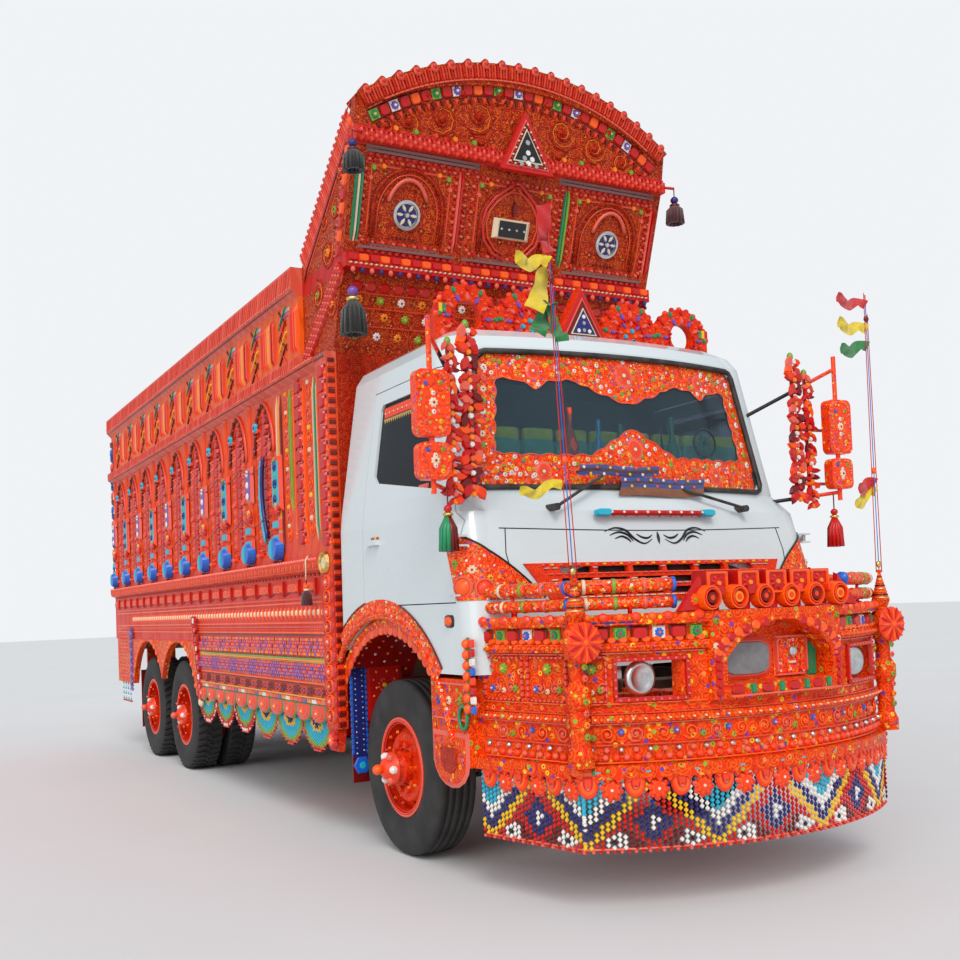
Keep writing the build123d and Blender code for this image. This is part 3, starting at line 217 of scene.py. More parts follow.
def petals(u, v, radius, count, depth=0.28):
    """1 inside a flower of that many petals, round the middle of a cell."""
    reach = (u * u + v * v)._do("SQRT")
    angle = v._do("ARCTAN2", u)
    edge = (angle * count)._do("COSINE") * (radius * depth) + radius * (1 - depth)
    return (edge - reach).above(0.0, radius * 0.18)


def scrollwork(u, v, size):
    """Relief, rosette, its heart and mirrored curls, in each cell of a stamped sheet."""
    across, up = u.fold(size), v.fold(size)
    a, b = abs(across), abs(up)
    away_a, away_b = a - 0.27, b - 0.25
    reach = (away_a * away_a + away_b * away_b)._do("SQRT")
    angle = away_b._do("ARCTAN2", away_a)
    curl = (reach * 62.0 + angle)._do("SINE")
    curls = curl.above(0.1, 0.6) * reach.below(0.23, 0.04)
    rosette = petals(across, up, 0.17, 8)
    heart = petals(across, up, 0.06, 5)
    lattice = (abs(a - b)).below(0.012, 0.015) * reach.above(0.22, 0.02)
    relief = curls * 0.6 + rosette * 0.8 + heart * 0.5 + lattice * 0.4
    return relief, rosette, heart, curls


def filigree(shade, scale, count, width=0.1):
    """Thin winding lines, like fine brushwork: the contours of a soft noise. They also carry painted shade
    and painted highlights.
    """
    return abs((shade.noise(scale, 2.0) * count).fold(1.0)).below(width, width)


def sprinkle(shade, colour, scale, tones, heart, radius=0.34):
    """Small round flowers in cells of their own, each with a heart; None leaves a cell bare."""
    cells = shade.node("ShaderNodeTexVoronoi",
                       Vector=shade.node("ShaderNodeTexCoord").outputs["Object"], Scale=scale)
    reach = Field(shade, cells.outputs["Distance"])
    pick = Field(shade, shade.node("ShaderNodeSeparateColor", Color=cells.outputs["Color"]).outputs[0])
    for i, tone in enumerate(tones):
        if tone is not None:
            here = pick.between(i / len(tones), (i + 1) / len(tones), 0.001)
            colour = shade.mix(here * reach.below(radius, 0.03), colour, tone)
            colour = shade.mix(here * reach.below(radius * 0.42, 0.03), colour, heart)
    return colour


def stamped(name, base, groove, line, accent=None, size=0.16, rough=0.34, depth=0.003,
            spots=(), spot_scale=30.0, brush_and_shade=0.5):
    """Stamped and painted sheet: curls, rosettes, deep colour in the grooves, fine lines and flowers, with
    painted shade in the dark recessed winding lines.
    """
    shade = Shade(name, base, rough, 0.0, 0.05)
    shade.set("Specular IOR Level", 0.16)
    u, v = shade.flat()
    relief, rosette, heart, curls = scrollwork(u, v, size)
    fine, _, fine_heart, fine_curls = scrollwork(u + 0.37 * size, v + 0.21 * size, size * 0.46)
    colour = shade.mix(curls * 0.85 + fine_curls * 0.15, groove, base)
    colour = shade.mix(rosette, colour, base)
    colour = shade.mix(relief.between(0.28, 0.5, 0.1) * 0.4, colour, line)
    # Dark red winding lines sunk into the relief: partly painted lines, partly painted shade in their recess.
    # The brush weight sets their strength and that of the pale lines.
    winding = filigree(shade, 1.3 / size, 7.0)
    colour = shade.mix(winding * brush_and_shade, colour, rgb(168, 14, 2))
    colour = shade.mix(filigree(shade, 2.1 / size, 5.0, 0.06) * brush_and_shade * 0.8, colour, line)
    if accent is not None:
        colour = shade.mix(heart, colour, accent)
        colour = shade.mix(fine_heart * 0.5, colour, line)
    if spots:
        colour = sprinkle(shade, colour, spot_scale, spots, rgb(200, 30, 12))
    dusty = shade.noise(5.0, 6.0).above(0.6, 0.3)
    colour = shade.mix(dusty * 0.1, colour, rgb(200, 90, 50))
    shade.set("Base Color", colour)
    shade.set("Roughness", dusty * 0.25 + rough)
    shade.bump(relief + fine * 0.3 - winding * 0.3, depth)
    return shade.material


ORANGE, BRIGHT, RED = rgb(244, 60, 4), rgb(255, 92, 4), rgb(200, 10, 4)
DEEP, SALMON = rgb(112, 6, 3), rgb(226, 68, 34)
SPOTS = (rgb(140, 190, 60), None, rgb(255, 140, 70), None, rgb(250, 200, 40), None, rgb(110, 70, 170), None)
ENAMELS = {"orange": ORANGE, "bright": BRIGHT, "red": RED, "deep": DEEP, "salmon": SALMON,
           "pink": rgb(234, 98, 78), "rose": rgb(208, 46, 34), "mauve": rgb(132, 92, 88),
           "yellow": rgb(240, 190, 20), "green": rgb(24, 140, 90), "leaf": rgb(120, 170, 50),
           "cyan": rgb(30, 176, 205), "blue": rgb(30, 100, 205), "navy": rgb(36, 36, 110),
           "purple": rgb(120, 80, 170), "white": rgb(236, 232, 226), "cream": rgb(232, 214, 180),
           "black": rgb(22, 20, 22), "amber": rgb(250, 140, 20)}
paint = {name: enamel("enamel_" + name, colour) for name, colour in ENAMELS.items()}


def metal(name, colour, rough):
    """Beaten metal with worn patches."""
    shade = Shade(name, colour, rough, 1.0)
    worn = shade.noise(30.0, 5.0)
    shade.set("Base Color", shade.mix(worn.above(0.55, 0.3) * 0.5, colour, tuple(c * 0.55 for c in colour)))
    shade.set("Roughness", worn * 0.3 + (rough - 0.1))
    shade.bump(shade.noise(160.0, 2.0), 0.0005, 0.5)
    return shade.material


paint["silver"] = metal("beaten_silver", (0.72, 0.72, 0.72), 0.3)
paint["gold"] = metal("beaten_brass", (0.85, 0.6, 0.2), 0.3)
paint["stamped"] = stamped("stamped_orange", BRIGHT, rgb(236, 48, 2), rgb(255, 136, 40), rgb(240, 200, 60),
                           spots=SPOTS, spot_scale=26.0)
paint["rim"] = stamped("rim_orange", rgb(246, 62, 4), rgb(222, 34, 4), rgb(255, 128, 50), None, 0.12,
                       rough=0.28, depth=0.001, brush_and_shade=0.2)
paint["engraved"] = stamped("engraved_red", rgb(222, 54, 6), rgb(168, 20, 4), rgb(238, 110, 40), None,
                            0.13, depth=0.006)
paint["floral"] = stamped("floral_orange", rgb(255, 74, 4), rgb(246, 50, 4), rgb(255, 170, 90),
                          rgb(70, 150, 80), 0.1, rough=0.25, depth=0.0012, spot_scale=44.0, brush_and_shade=0.75,
                          spots=(rgb(236, 232, 226), rgb(120, 180, 60), None, rgb(255, 140, 70),
                                 rgb(60, 90, 180), rgb(250, 190, 40), None))


# Meshes

class Relief:
    """Gathers small shapes, each put somewhere with its own material, into one mesh."""

    def __init__(self, name, body="truck"):
        self.name, self.body = name, body
        self.points, self.faces, self.slots, self.marks, self.smooth = [], [], [], [], []
        self.count = 0
        self.materials = []

    def slot(self, material):
        material = paint[material] if isinstance(material, str) else material
        if material not in self.materials:
            self.materials.append(material)
        return self.materials.index(material)

    def put(self, shape, place, material, scale=(1, 1, 1), smooth=False):
        if place is None:
            return
        points, faces = shape
        scaled = points * np.array(scale, float)
        matrix = np.array(place, float)
        self.add(scaled @ matrix[:3, :3].T + matrix[:3, 3], faces, material, scaled[:, :2], smooth)

    def add(self, points, faces, material, uv=None, smooth=False):
        points = np.asarray(points, float)
        start, index = self.count, self.slot(material)
        self.points.append(points)
        self.marks.append(np.zeros((len(points), 2)) if uv is None else np.asarray(uv, float))
        self.faces.extend(tuple(start + i for i in face) for face in faces)
        self.slots.extend([index] * len(faces))
        self.smooth.extend([smooth] * len(faces))
        self.count += len(points)

    def piece(self, replaces=()):
        mesh = bpy.data.meshes.new(self.name)
        points = np.vstack(self.points)
        mesh.from_pydata(points.tolist(), [], self.faces)
        for material in self.materials:
            mesh.materials.append(material)
        mesh.polygons.foreach_set("material_index", self.slots)
        mesh.polygons.foreach_set("use_smooth", self.smooth)
        marks = np.vstack(self.marks)
        layer = mesh.uv_layers.new(name="UVMap")
        corners = np.zeros(len(mesh.loops), int)
        mesh.loops.foreach_get("vertex_index", corners)
        layer.data.foreach_set("uv", marks[corners].ravel())
        mesh.update()
        made = bpy.data.objects.new(self.name, mesh)
        bpy.context.scene.collection.objects.link(made)
        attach(made, self.body)
        if replaces:
            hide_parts(*replaces)
        return made


def facing(origin, right, up):
    """A place whose own x runs to the right and y up, with z out of the surface."""
    right, up = Vector(right).normalized(), Vector(up).normalized()
    out = right.cross(up).normalized()
    up = out.cross(right)
    columns = Matrix((right, up, out)).transposed().to_4x4()
    columns.translation = Vector(origin)
    return columns


def moved(place, x, y, z=0.0, turn=0.0):
    """The place shifted along its own axes and then turned about its own z."""
    return place @ Matrix.Translation((x, y, z)) @ Matrix.Rotation(turn, 4, "Z")


class Sheet:
    """A flat surface with its own two directions: a to the right and b up."""

    def __init__(self, base):
        self.base = base

    def at(self, a, b, turn=0.0, out=0.0):
        return moved(self.base, a, b, out, turn)


def side_sheet(side, x):
    """The upright plane at |x| on one side; a is y on the left and -y on the right, b is z."""
    return Sheet(facing((side * x, 0, 0), (0, side, 0), (0, 0, 1)))


def front_sheet(y):
    return Sheet(facing((0, y, 0), (1, 0, 0), (0, 0, 1)))


def ring_points(count, radius=1.0, start=0.0, turn=2 * pi):
    return [(radius * cos(start + turn * i / count), radius * sin(start + turn * i / count))
            for i in range(count)]


def plate(outline, shrink=0.84, crown=1.0):
    """Raised plate on the outline: walls slope in to a flat top at height 1."""
    flat = np.array(outline, float)
    middle = flat.mean(0)
    n = len(flat)
    top = middle + (flat - middle) * shrink
    points = np.vstack([np.column_stack([flat, np.zeros(n)]), np.column_stack([top, np.full(n, crown)])])
    faces = [(i, (i + 1) % n, n + (i + 1) % n, n + i) for i in range(n)]
    return points, faces + [tuple(range(n, 2 * n))]


def rim_of(outline, inner=0.7, shrink=0.9):
    """Raised border between the outline and a smaller copy of it."""
    flat = np.array(outline, float)
    middle = flat.mean(0)
    n = len(flat)
    loops = [(1.0, 0.0), (shrink, 1.0), (inner / shrink, 1.0), (inner, 0.0)]
    points = np.vstack([np.column_stack([middle + (flat - middle) * k, np.full(n, h)]) for k, h in loops])
    faces = []
    for level in range(3):
        for i in range(n):
            j = (i + 1) % n
            faces.append((level * n + i, level * n + j, (level + 1) * n + j, (level + 1) * n + i))
    return points, faces


def turned(profile, sides=10):
    """Round shape on the z axis from (radius, height) pairs, the last of which may be on the axis."""
    points, faces = [], []
    for radius, height in profile:
        points += [(x, y, height) for x, y in ring_points(sides, max(radius, 1e-4))]
    for level in range(len(profile) - 1):
        for i in range(sides):
            j = (i + 1) % sides
            low, high = level * sides, (level + 1) * sides
            faces.append((low + i, low + j, high + j, high + i))
    faces.append(tuple((len(profile) - 1) * sides + i for i in range(sides)))
    return np.array(points, float), faces


def gear(petal_count, inner=0.72, steps=4):
    """Flower outline of radius 1."""
    total = petal_count * steps
    outline = []
    for i in range(total):
        angle = 2 * pi * i / total
        radius = inner + (1 - inner) * abs(sin(petal_count * angle / 2))
        outline.append((radius * cos(angle), radius * sin(angle)))
    return outline


def soft(value, power=0.5):
    """Signed power: it turns a circle into a square with soft corners."""
    return copysign(abs(value) ** power, value)


SQUARE = [(-0.5, -0.5), (0.5, -0.5), (0.5, 0.5), (-0.5, 0.5)]
DIAMOND = [(0, -0.5), (0.5, 0), (0, 0.5), (-0.5, 0)]
PIN = [(-0.5, 0), (0, -1), (0.5, 0)]
TONGUE = [(0.5, 0.5), (-0.5, 0.5)] + [(0.5 * cos(a), 0.5 * sin(a))
                                     for a in (pi + pi * i / 8 for i in range(9))]
LEAF = [(0.0, -1.0), (0.3, -0.55), (0.38, -0.1), (0.22, 0.35), (0.0, 0.6), (-0.22, 0.35), (-0.38, -0.1),
        (-0.3, -0.55)]
ROUND = ring_points(12, 0.5)
SOFT_SQUARE = [(0.5 * soft(cos(a)), 0.5 * soft(sin(a))) for a in (2 * pi * i / 12 + 0.13 for i in range(12))]

tile, soft_tile = plate(SQUARE, 0.82), plate(SOFT_SQUARE, 0.82)
lozenge, button, tongue_plate = plate(DIAMOND, 0.6), plate(ROUND, 0.7), plate(TONGUE, 0.86)
pin, leaf, blossom = plate(PIN, 0.7), plate(LEAF, 0.7), plate(gear(8), 0.72)
tile_rim, round_rim = rim_of(SQUARE, 0.76, 0.92), rim_of(ring_points(16, 0.5), 0.74, 0.92)
stud = turned([(1.0, 0.0), (0.86, 0.5), (0.5, 0.86), (0.0, 1.0)], 8)
ball = turned([(0.0, -1.0), (0.6, -0.8), (0.95, -0.3), (0.95, 0.3), (0.6, 0.8), (0.0, 1.0)], 8)
bead = turned([(0.3, -1.0), (0.9, -0.5), (0.9, 0.5), (0.3, 1.0)], 6)


def along(start, end, pitch):
    """Even positions from start to end, about a pitch apart, each in the middle of its share."""
    count = max(1, round(abs(end - start) / pitch))
    return [start + (end - start) * (i + 0.5) / count for i in range(count)]


def shares(count):
    """Even shares from 0 to 1."""
    return [k / count for k in range(count + 1)]


def grid_faces(steps, rows):
    """Faces of a net of points listed step after step, with one point more than rows in each step."""
    return [(k, k + 1, k + rows + 2, k + rows + 1)
            for i in range(steps) for k in range(i * (rows + 1), i * (rows + 1) + rows)]


def rectangle(a0, b0, a1, b1):
    """Ends of a rectangle's four edges: low, high, first and second side."""
    return (a0, b0, a1, b0), (a0, b1, a1, b1), (a0, b0, a0, b1), (a1, b0, a1, b1)


def tube(relief, points, radius, material, sides=6, closed=False):
    """Round bar along points; the radius may be one number or one for each point."""
    points = [Vector(p) for p in points]
    radii = [radius] * len(points) if isinstance(radius, (int, float)) else radius
    rings = []
    normal = None
    length = 0.0
    uvs = []
    for i, point in enumerate(points):
        before = points[i - 1] if i or closed else points[i]
        after = points[(i + 1) % len(points)] if i < len(points) - 1 or closed else points[i]
        direction = (after - before).normalized()
        if normal is None:
            normal = direction.orthogonal().normalized()
        normal = (normal - direction * normal.dot(direction)).normalized()
        other = direction.cross(normal)
        rings += [point + (normal * cos(a) + other * sin(a)) * radii[i]
                  for a in (2 * pi * k / sides for k in range(sides))]
        if i:
            length += (point - points[i - 1]).length
        uvs += [(length, radii[i] * 2 * pi * k / sides) for k in range(sides)]
    faces = []
    for i in range(len(points) - (0 if closed else 1)):
        low, high = i * sides, ((i + 1) % len(points)) * sides
        faces += [(low + k, low + (k + 1) % sides, high + (k + 1) % sides, high + k) for k in range(sides)]
    if not closed:
        faces += [tuple(reversed(range(sides))), tuple(range(len(rings) - sides, len(rings)))]
    relief.add(np.array([list(p) for p in rings]), faces, material, uvs, smooth=sides > 4)


def bar(relief, sheet, a0, b0, a1, b1, width, height, material, out=0.0):
    """Flat raised strip between two points of a sheet."""
    length = hypot(a1 - a0, b1 - b0)
    turn = atan2(b1 - b0, a1 - a0)
    relief.put(tile, sheet.at((a0 + a1) / 2, (b0 + b1) / 2, turn, out), material, (length, width, height))


def box_on(relief, sheet, a, b, width, height, thick, material, out=0.0, shape=None):
    relief.put(shape or tile, sheet.at(a, b, 0, out), material, (width, height, thick))


def scroll(relief, sheet, a, b, size, turn, flip, material, radius, out=0.0):
    """Curl: a spiral bar with a ball in its eye."""
    points = []
    for i in range(15):
        t = i / 14
        angle = 3.6 * pi * (1 - t) ** 0.9
        reach = size * (0.08 + 0.92 * (1 - t))
        local = Vector((flip * reach * cos(angle), reach * sin(angle), out))
        points.append(sheet.at(a, b, turn) @ local)
    tube(relief, points, [radius * (0.5 + 0.5 * i / 14) for i in range(15)], material, 5)
    relief.put(stud, sheet.at(a, b, turn, out), material, (radius * 1.6,) * 3)


def zoned(name, zones, default, size=0.14, rough=0.36, depth=0.003):
    """Stamped sheet whose colours change by height: zones are (low, high, colour, groove)."""
    shade = Shade(name, default[0], rough, 0.0, 0.05)
    shade.set("Specular IOR Level", 0.22)
    height = shade.place()[2]
    u, v = shade.flat()
    relief, _, heart, curls = scrollwork(u, v, size)
    colour = shade.mix(curls, default[1], default[0])
    colour = shade.mix(heart, colour, rgb(250, 180, 90))
    # Winding lines in the darker ground colour, sunk into the relief: partly painted lines, partly painted
    # shade in their recess.
    winding = filigree(shade, 1.6 / size, 8.0, 0.14)
    colour = shade.mix(winding * 0.6, colour, default[1])
    # Fine amber lines: painted highlights, standing for glints on the relief.
    colour = shade.mix(filigree(shade, 2.6 / size, 6.0, 0.07) * 0.7, colour, rgb(248, 128, 20))
    streaks = (u * 46.0 + v * 20.0)._do("SINE").above(0.6, 0.8)
    plain = None
    for low, high, tone, groove in zones:
        inside = height.between(low, high, 0.006)
        colour = shade.mix(inside, colour, shade.mix(streaks * 0.5, tone, groove))
        plain = inside if plain is None else plain + inside
    dusty = shade.noise(4.0, 6.0).above(0.58, 0.3)
    shade.set("Base Color", shade.mix(dusty * 0.12, colour, rgb(190, 110, 84)))
    shade.set("Roughness", dusty * 0.25 + rough)
    relief = relief - winding * 0.5
    shade.bump(relief * (1.0 - plain), depth)
    return shade.material


def cab_finish():
    """White cab paint, with a soft road film low down and a painted lining in the wheel arch."""
    white = rgb(212, 221, 223)
    shade = Shade("cab_white_paint", white, 0.22, 0.0, 0.6)
    x, y, z = shade.place()
    film = z.below(1.7, 1.2) * shade.noise(2.5, 6.0)
    streak = shade.noise(7.0, 3.0).above(0.62, 0.2)
    colour = shade.mix(film * 0.16, white, rgb(176, 170, 160))
    colour = shade.mix(streak * 0.06, colour, rgb(190, 196, 200))
    inside = abs(x).below(1.13, 0.01) * z.below(1.48, 0.01) * y.above(FRONT_AXLE_Y - 0.93, 0.01)
    colour = shade.mix(inside * 0.8, colour, rgb(120, 120, 118))
    shade.set("Base Color", colour)
    shade.set("Roughness", film * 0.3 + 0.2)
    shade.bump(shade.noise(30.0, 2.0), 0.0004, 0.3)
    return shade.material


def mirror_finish():
    """Black arms inboard, painted shells outboard."""
    shade = Shade("mirror_arms_and_shells", ORANGE, 0.3)
    # The same dark red lines as on the stamped sheets: partly painted lines, partly painted shade.
    brushed_and_shaded = shade.mix(filigree(shade, 14.0, 7.0) * 0.6, rgb(255, 70, 8), rgb(168, 14, 2))
    colour = sprinkle(shade, brushed_and_shaded, 44.0, SPOTS, RED)
    shade.set("Base Color", shade.mix(abs(shade.place()[0]).below(1.325, 0.004), colour, rgb(18, 18, 20)))
    return shade.material


def glass_finish(name, dark, light):
    """Tinted glass with soft smears."""
    shade = Shade(name, light, 0.04)
    shade.set("Specular IOR Level", 0.3)
    shade.set("Transmission Weight", 0.94)
    shade.set("IOR", 1.2)
    smear = shade.noise(3.0, 5.0)
    shade.set("Roughness", smear * 0.08 + 0.01)
    shade.set("Base Color", shade.mix(smear.above(0.6, 0.3) * 0.3, dark, light))
    return shade.material


def rubber_finish(name, colour, rough=0.7):
    """Rubber or grained plastic with a little dust."""
    shade = Shade(name, colour, rough)
    dust = shade.noise(12.0, 6.0).above(0.5, 0.3)
    shade.set("Base Color", shade.mix(dust * 0.4, colour, rgb(110, 104, 98)))
    shade.set("Roughness", dust * 0.2 + rough)
    shade.bump(shade.noise(90.0, 3.0), 0.0006, 0.5)
    return shade.material


def chassis_finish():
    """Dark chassis paint under road dirt."""
    shade = Shade("chassis_paint", rgb(44, 42, 42), 0.55)
    dusty = shade.noise(5.0, 6.0).between(0.52, 0.9, 0.3)
    shade.set("Base Color", shade.mix(dusty * 0.75, rgb(44, 42, 42), rgb(118, 98, 82)))
    shade.set("Roughness", shade.noise(20.0, 4.0) * 0.4 + 0.4)
    shade.bump(shade.noise(60.0, 4.0), 0.001, 0.6)
    return shade.material


def planks_finish():
    """Worn floor boards with dark gaps."""
    shade = Shade("worn_planks", rgb(120, 84, 52), 0.7)
    gap = abs(shade.place()[0].fold(0.2)).above(0.485, 0.01)
    grain = shade.node("ShaderNodeTexNoise", Vector=shade.node(
        "ShaderNodeMapping", Vector=shade.node("ShaderNodeTexCoord").outputs["Object"],
        Scale=(30, 1.5, 30)).outputs[0], Scale=2.0, Detail=6.0).outputs[0]
    wood = shade.mix(grain, rgb(86, 58, 34), rgb(160, 120, 80))
    shade.set("Base Color", shade.mix(gap, wood, rgb(22, 16, 12)))
    shade.bump(Field(shade, grain) * 0.3 - gap, 0.003)
    return shade.material


def cloth_finish(name, first, second, third, size=0.05):
    """Woven cover with a small check of three colours."""
    shade = Shade(name, first, 0.85)
    u, v = shade.flat()
    across, up = u.fold(size), v.fold(size)
    bars = abs(across).above(0.3, 0.05)
    posts = abs(up).above(0.3, 0.05)
    colour = shade.mix(bars, first, second)
    shade.set("Base Color", shade.mix(posts * 0.7, colour, third))
    weave = (u * 2400.0)._do("SINE") * (v * 2400.0)._do("SINE")
    shade.bump(weave + shade.noise(20.0), 0.0006)
    shade.set("Sheen Weight", 0.3)
    return shade.material


SALMON_ZONE = (rgb(216, 84, 62), rgb(228, 120, 96))
wall_paint = zoned("side_wall_paint", [
    (3.7, 4.2, *SALMON_ZONE), (3.1, 3.285, *SALMON_ZONE), (1.72, 1.88, rgb(228, 70, 36), rgb(188, 44, 20)),
    (3.285, 3.7, rgb(240, 96, 22), rgb(216, 60, 10)), (1.2, 1.72, rgb(222, 46, 14), rgb(196, 30, 8)),
    (1.88, 3.1, rgb(232, 78, 30), rgb(206, 50, 16))], (ORANGE, RED))
crown_paint = zoned("crown_paint", [
    (4.42, 4.53, rgb(214, 50, 36), rgb(180, 20, 14)), (3.68, 3.8, rgb(200, 14, 12), rgb(150, 8, 8))],
    (rgb(226, 74, 2), rgb(166, 26, 0)), 0.15, depth=0.008)

paint.update({
    "chassis_frame": chassis_finish(), "cab_shell": cab_finish(), "cargo_floor": planks_finish(),
    "crown": crown_paint, "mirrors": mirror_finish(),
    "windscreen": glass_finish("tinted_glass", rgb(156, 182, 198), rgb(176, 198, 210)),
    "door_glass": glass_finish("smoked_glass", rgb(84, 90, 98), rgb(104, 110, 116)),
    "cab_seats": cloth_finish("seat_cover", rgb(110, 20, 24), rgb(170, 120, 40), rgb(60, 16, 30)),
})
plastic_black = rubber_finish("grained_black", rgb(30, 30, 32), 0.5)
seal_black = rubber_finish("seal_black", rgb(20, 20, 22), 0.45)
NODE_MATERIALS = {"chassis_frame": "chassis_frame", "front_axle": "chassis_frame",
                  "drive_axles": "chassis_frame", "leaf_springs": "chassis_frame",
                  "engine_block": "chassis_frame", "propeller_shaft": "chassis_frame",
                  "tie_rod": "chassis_frame", "knuckle_left": "chassis_frame",
                  "knuckle_right": "chassis_frame", "fuel_tank": "stamped", "cab_shell": "cab_shell",
                  "door_left": "cab_shell", "door_right": "cab_shell", "windscreen": "windscreen",
                  "door_glass_left": "door_glass", "door_glass_right": "door_glass", "grille": "rim",
                  "cab_seats": "cab_seats", "sleeper_bench": "cab_seats", "dashboard": plastic_black,
                  "steering_wheel": plastic_black, "roof_crest": "rim", "mirrors": "mirrors",
                  "wipers": seal_black, "apron": "stamped", "apron_niche": "stamped",
                  "apron_spires": "stamped", "apron_lamps": "red", "front_fringe": "deep",
                  "cargo_floor": "cargo_floor", "head_wall": "engraved", "crown": "crown",
                  "rear_frame": "stamped", "tailgate": "stamped", "side_fringes": "deep", "mudguards": "deep",
                  "cab_steps": "stamped", "flag_masts": "red", "tassels": "black", "skirt_left": "stamped",
                  "skirt_right": "stamped", "side_wall_left": wall_paint, "side_wall_right": wall_paint}


def finish_nodes():
    """One material for each node that stays."""
    for name, node in nodes.items():
        if "tyre" in name:
            material = seal_black
        elif "wheel" in name and name != "steering_wheel":
            material = paint["rim"]
        else:
            material = NODE_MATERIALS[name]
        material = paint[material] if isinstance(material, str) else material
        node.data.materials.clear()
        node.data.materials.append(material)


# Camera, floor and light

CAMERA_PLACE = (-3.9786, -9.0807, 1.4792)
CAMERA_YAW, CAMERA_PITCH, CAMERA_ROLL = radians(-29.089), radians(2.294), radians(-2.271)
FOCAL_PIXELS, FRAME_PIXELS, CENTRE_ROW = 1119.31, 960, 560.36
SENSOR = 36.0


def make_camera():
    """Camera solved from the photo."""
    forward = Vector((-sin(CAMERA_YAW) * cos(CAMERA_PITCH), cos(CAMERA_YAW) * cos(CAMERA_PITCH),
                      sin(CAMERA_PITCH)))
    right = Vector((cos(CAMERA_YAW), sin(CAMERA_YAW), 0))
    up = right.cross(forward)
    right, up = (right * cos(CAMERA_ROLL) + up * sin(CAMERA_ROLL),
                 up * cos(CAMERA_ROLL) - right * sin(CAMERA_ROLL))
    data = bpy.data.cameras.new("camera")
    data.sensor_width = SENSOR
    data.lens = FOCAL_PIXELS * SENSOR / FRAME_PIXELS
    data.shift_y = (CENTRE_ROW - FRAME_PIXELS / 2) / FRAME_PIXELS
    data.clip_end = 200.0
    camera = bpy.data.objects.new("camera", data)
    bpy.context.scene.collection.objects.link(camera)
    camera.matrix_world = Matrix((right, up, -forward)).transposed().to_4x4()
    camera.location = CAMERA_PLACE
    bpy.context.scene.camera = camera


def make_stage():
    """Floor, soft sky and two suns."""
    size = 90.0
    mesh = bpy.data.meshes.new("floor")
    mesh.from_pydata([(-size, -size, 0), (size, -size, 0), (size, size, 0), (-size, size, 0)], [],
                     [(0, 1, 2, 3)])
    floor = bpy.data.objects.new("floor", mesh)
    bpy.context.scene.collection.objects.link(floor)
    shade = Shade("studio_floor", (0.72, 0.72, 0.72), 0.8)
    shade.set("Base Color", shade.mix(shade.noise(0.6, 4.0), (0.7, 0.7, 0.7), (0.75, 0.75, 0.75)))
    mesh.materials.append(shade.material)

    world = bpy.data.worlds.new("studio")
    world.use_nodes = True
    tree = world.node_tree
    soft, seen, blend = tree.nodes["Background"], tree.nodes.new("ShaderNodeBackground"), tree.nodes.new(
        "ShaderNodeMixShader")
    soft.inputs[0].default_value, soft.inputs[1].default_value = (0.86, 0.92, 1.0, 1), 0.62
    seen.inputs[0].default_value, seen.inputs[1].default_value = (0.92, 0.94, 0.97, 1), 0.95
    path = tree.nodes.new("ShaderNodeLightPath")
    any_ray = tree.nodes.new("ShaderNodeMath")
    any_ray.operation = "MAXIMUM"
    tree.links.new(path.outputs["Is Camera Ray"], any_ray.inputs[0])
    tree.links.new(path.outputs["Is Transmission Ray"], any_ray.inputs[1])
    tree.links.new(any_ray.outputs[0], blend.inputs[0])
    tree.links.new(soft.outputs[0], blend.inputs[1])
    tree.links.new(seen.outputs[0], blend.inputs[2])
    tree.links.new(blend.outputs[0], tree.nodes["World Output"].inputs[0])
    bpy.context.scene.world = world

    for name, direction, strength, spread in (("key", (0.35, 0.9, -0.95), 1.5, 24),
                                              ("fill", (0.95, 0.55, -0.45), 0.9, 50)):
        data = bpy.data.lights.new(name, "SUN")
        data.energy, data.angle = strength, radians(spread)
        data.color = (1.0, 0.97, 0.93)
        lamp = bpy.data.objects.new(name, data)
        lamp.rotation_mode = "QUATERNION"
        lamp.rotation_quaternion = Vector(direction).to_track_quat("-Z", "Y")
        bpy.context.scene.collection.objects.link(lamp)


# Tyres and wheels

TYRE_PROFILE = [(0.2865, 0.105), (0.31, 0.118), (0.36, 0.136), (0.41, 0.14), (0.455, 0.134), (0.492, 0.123),
                (0.512, 0.114)]


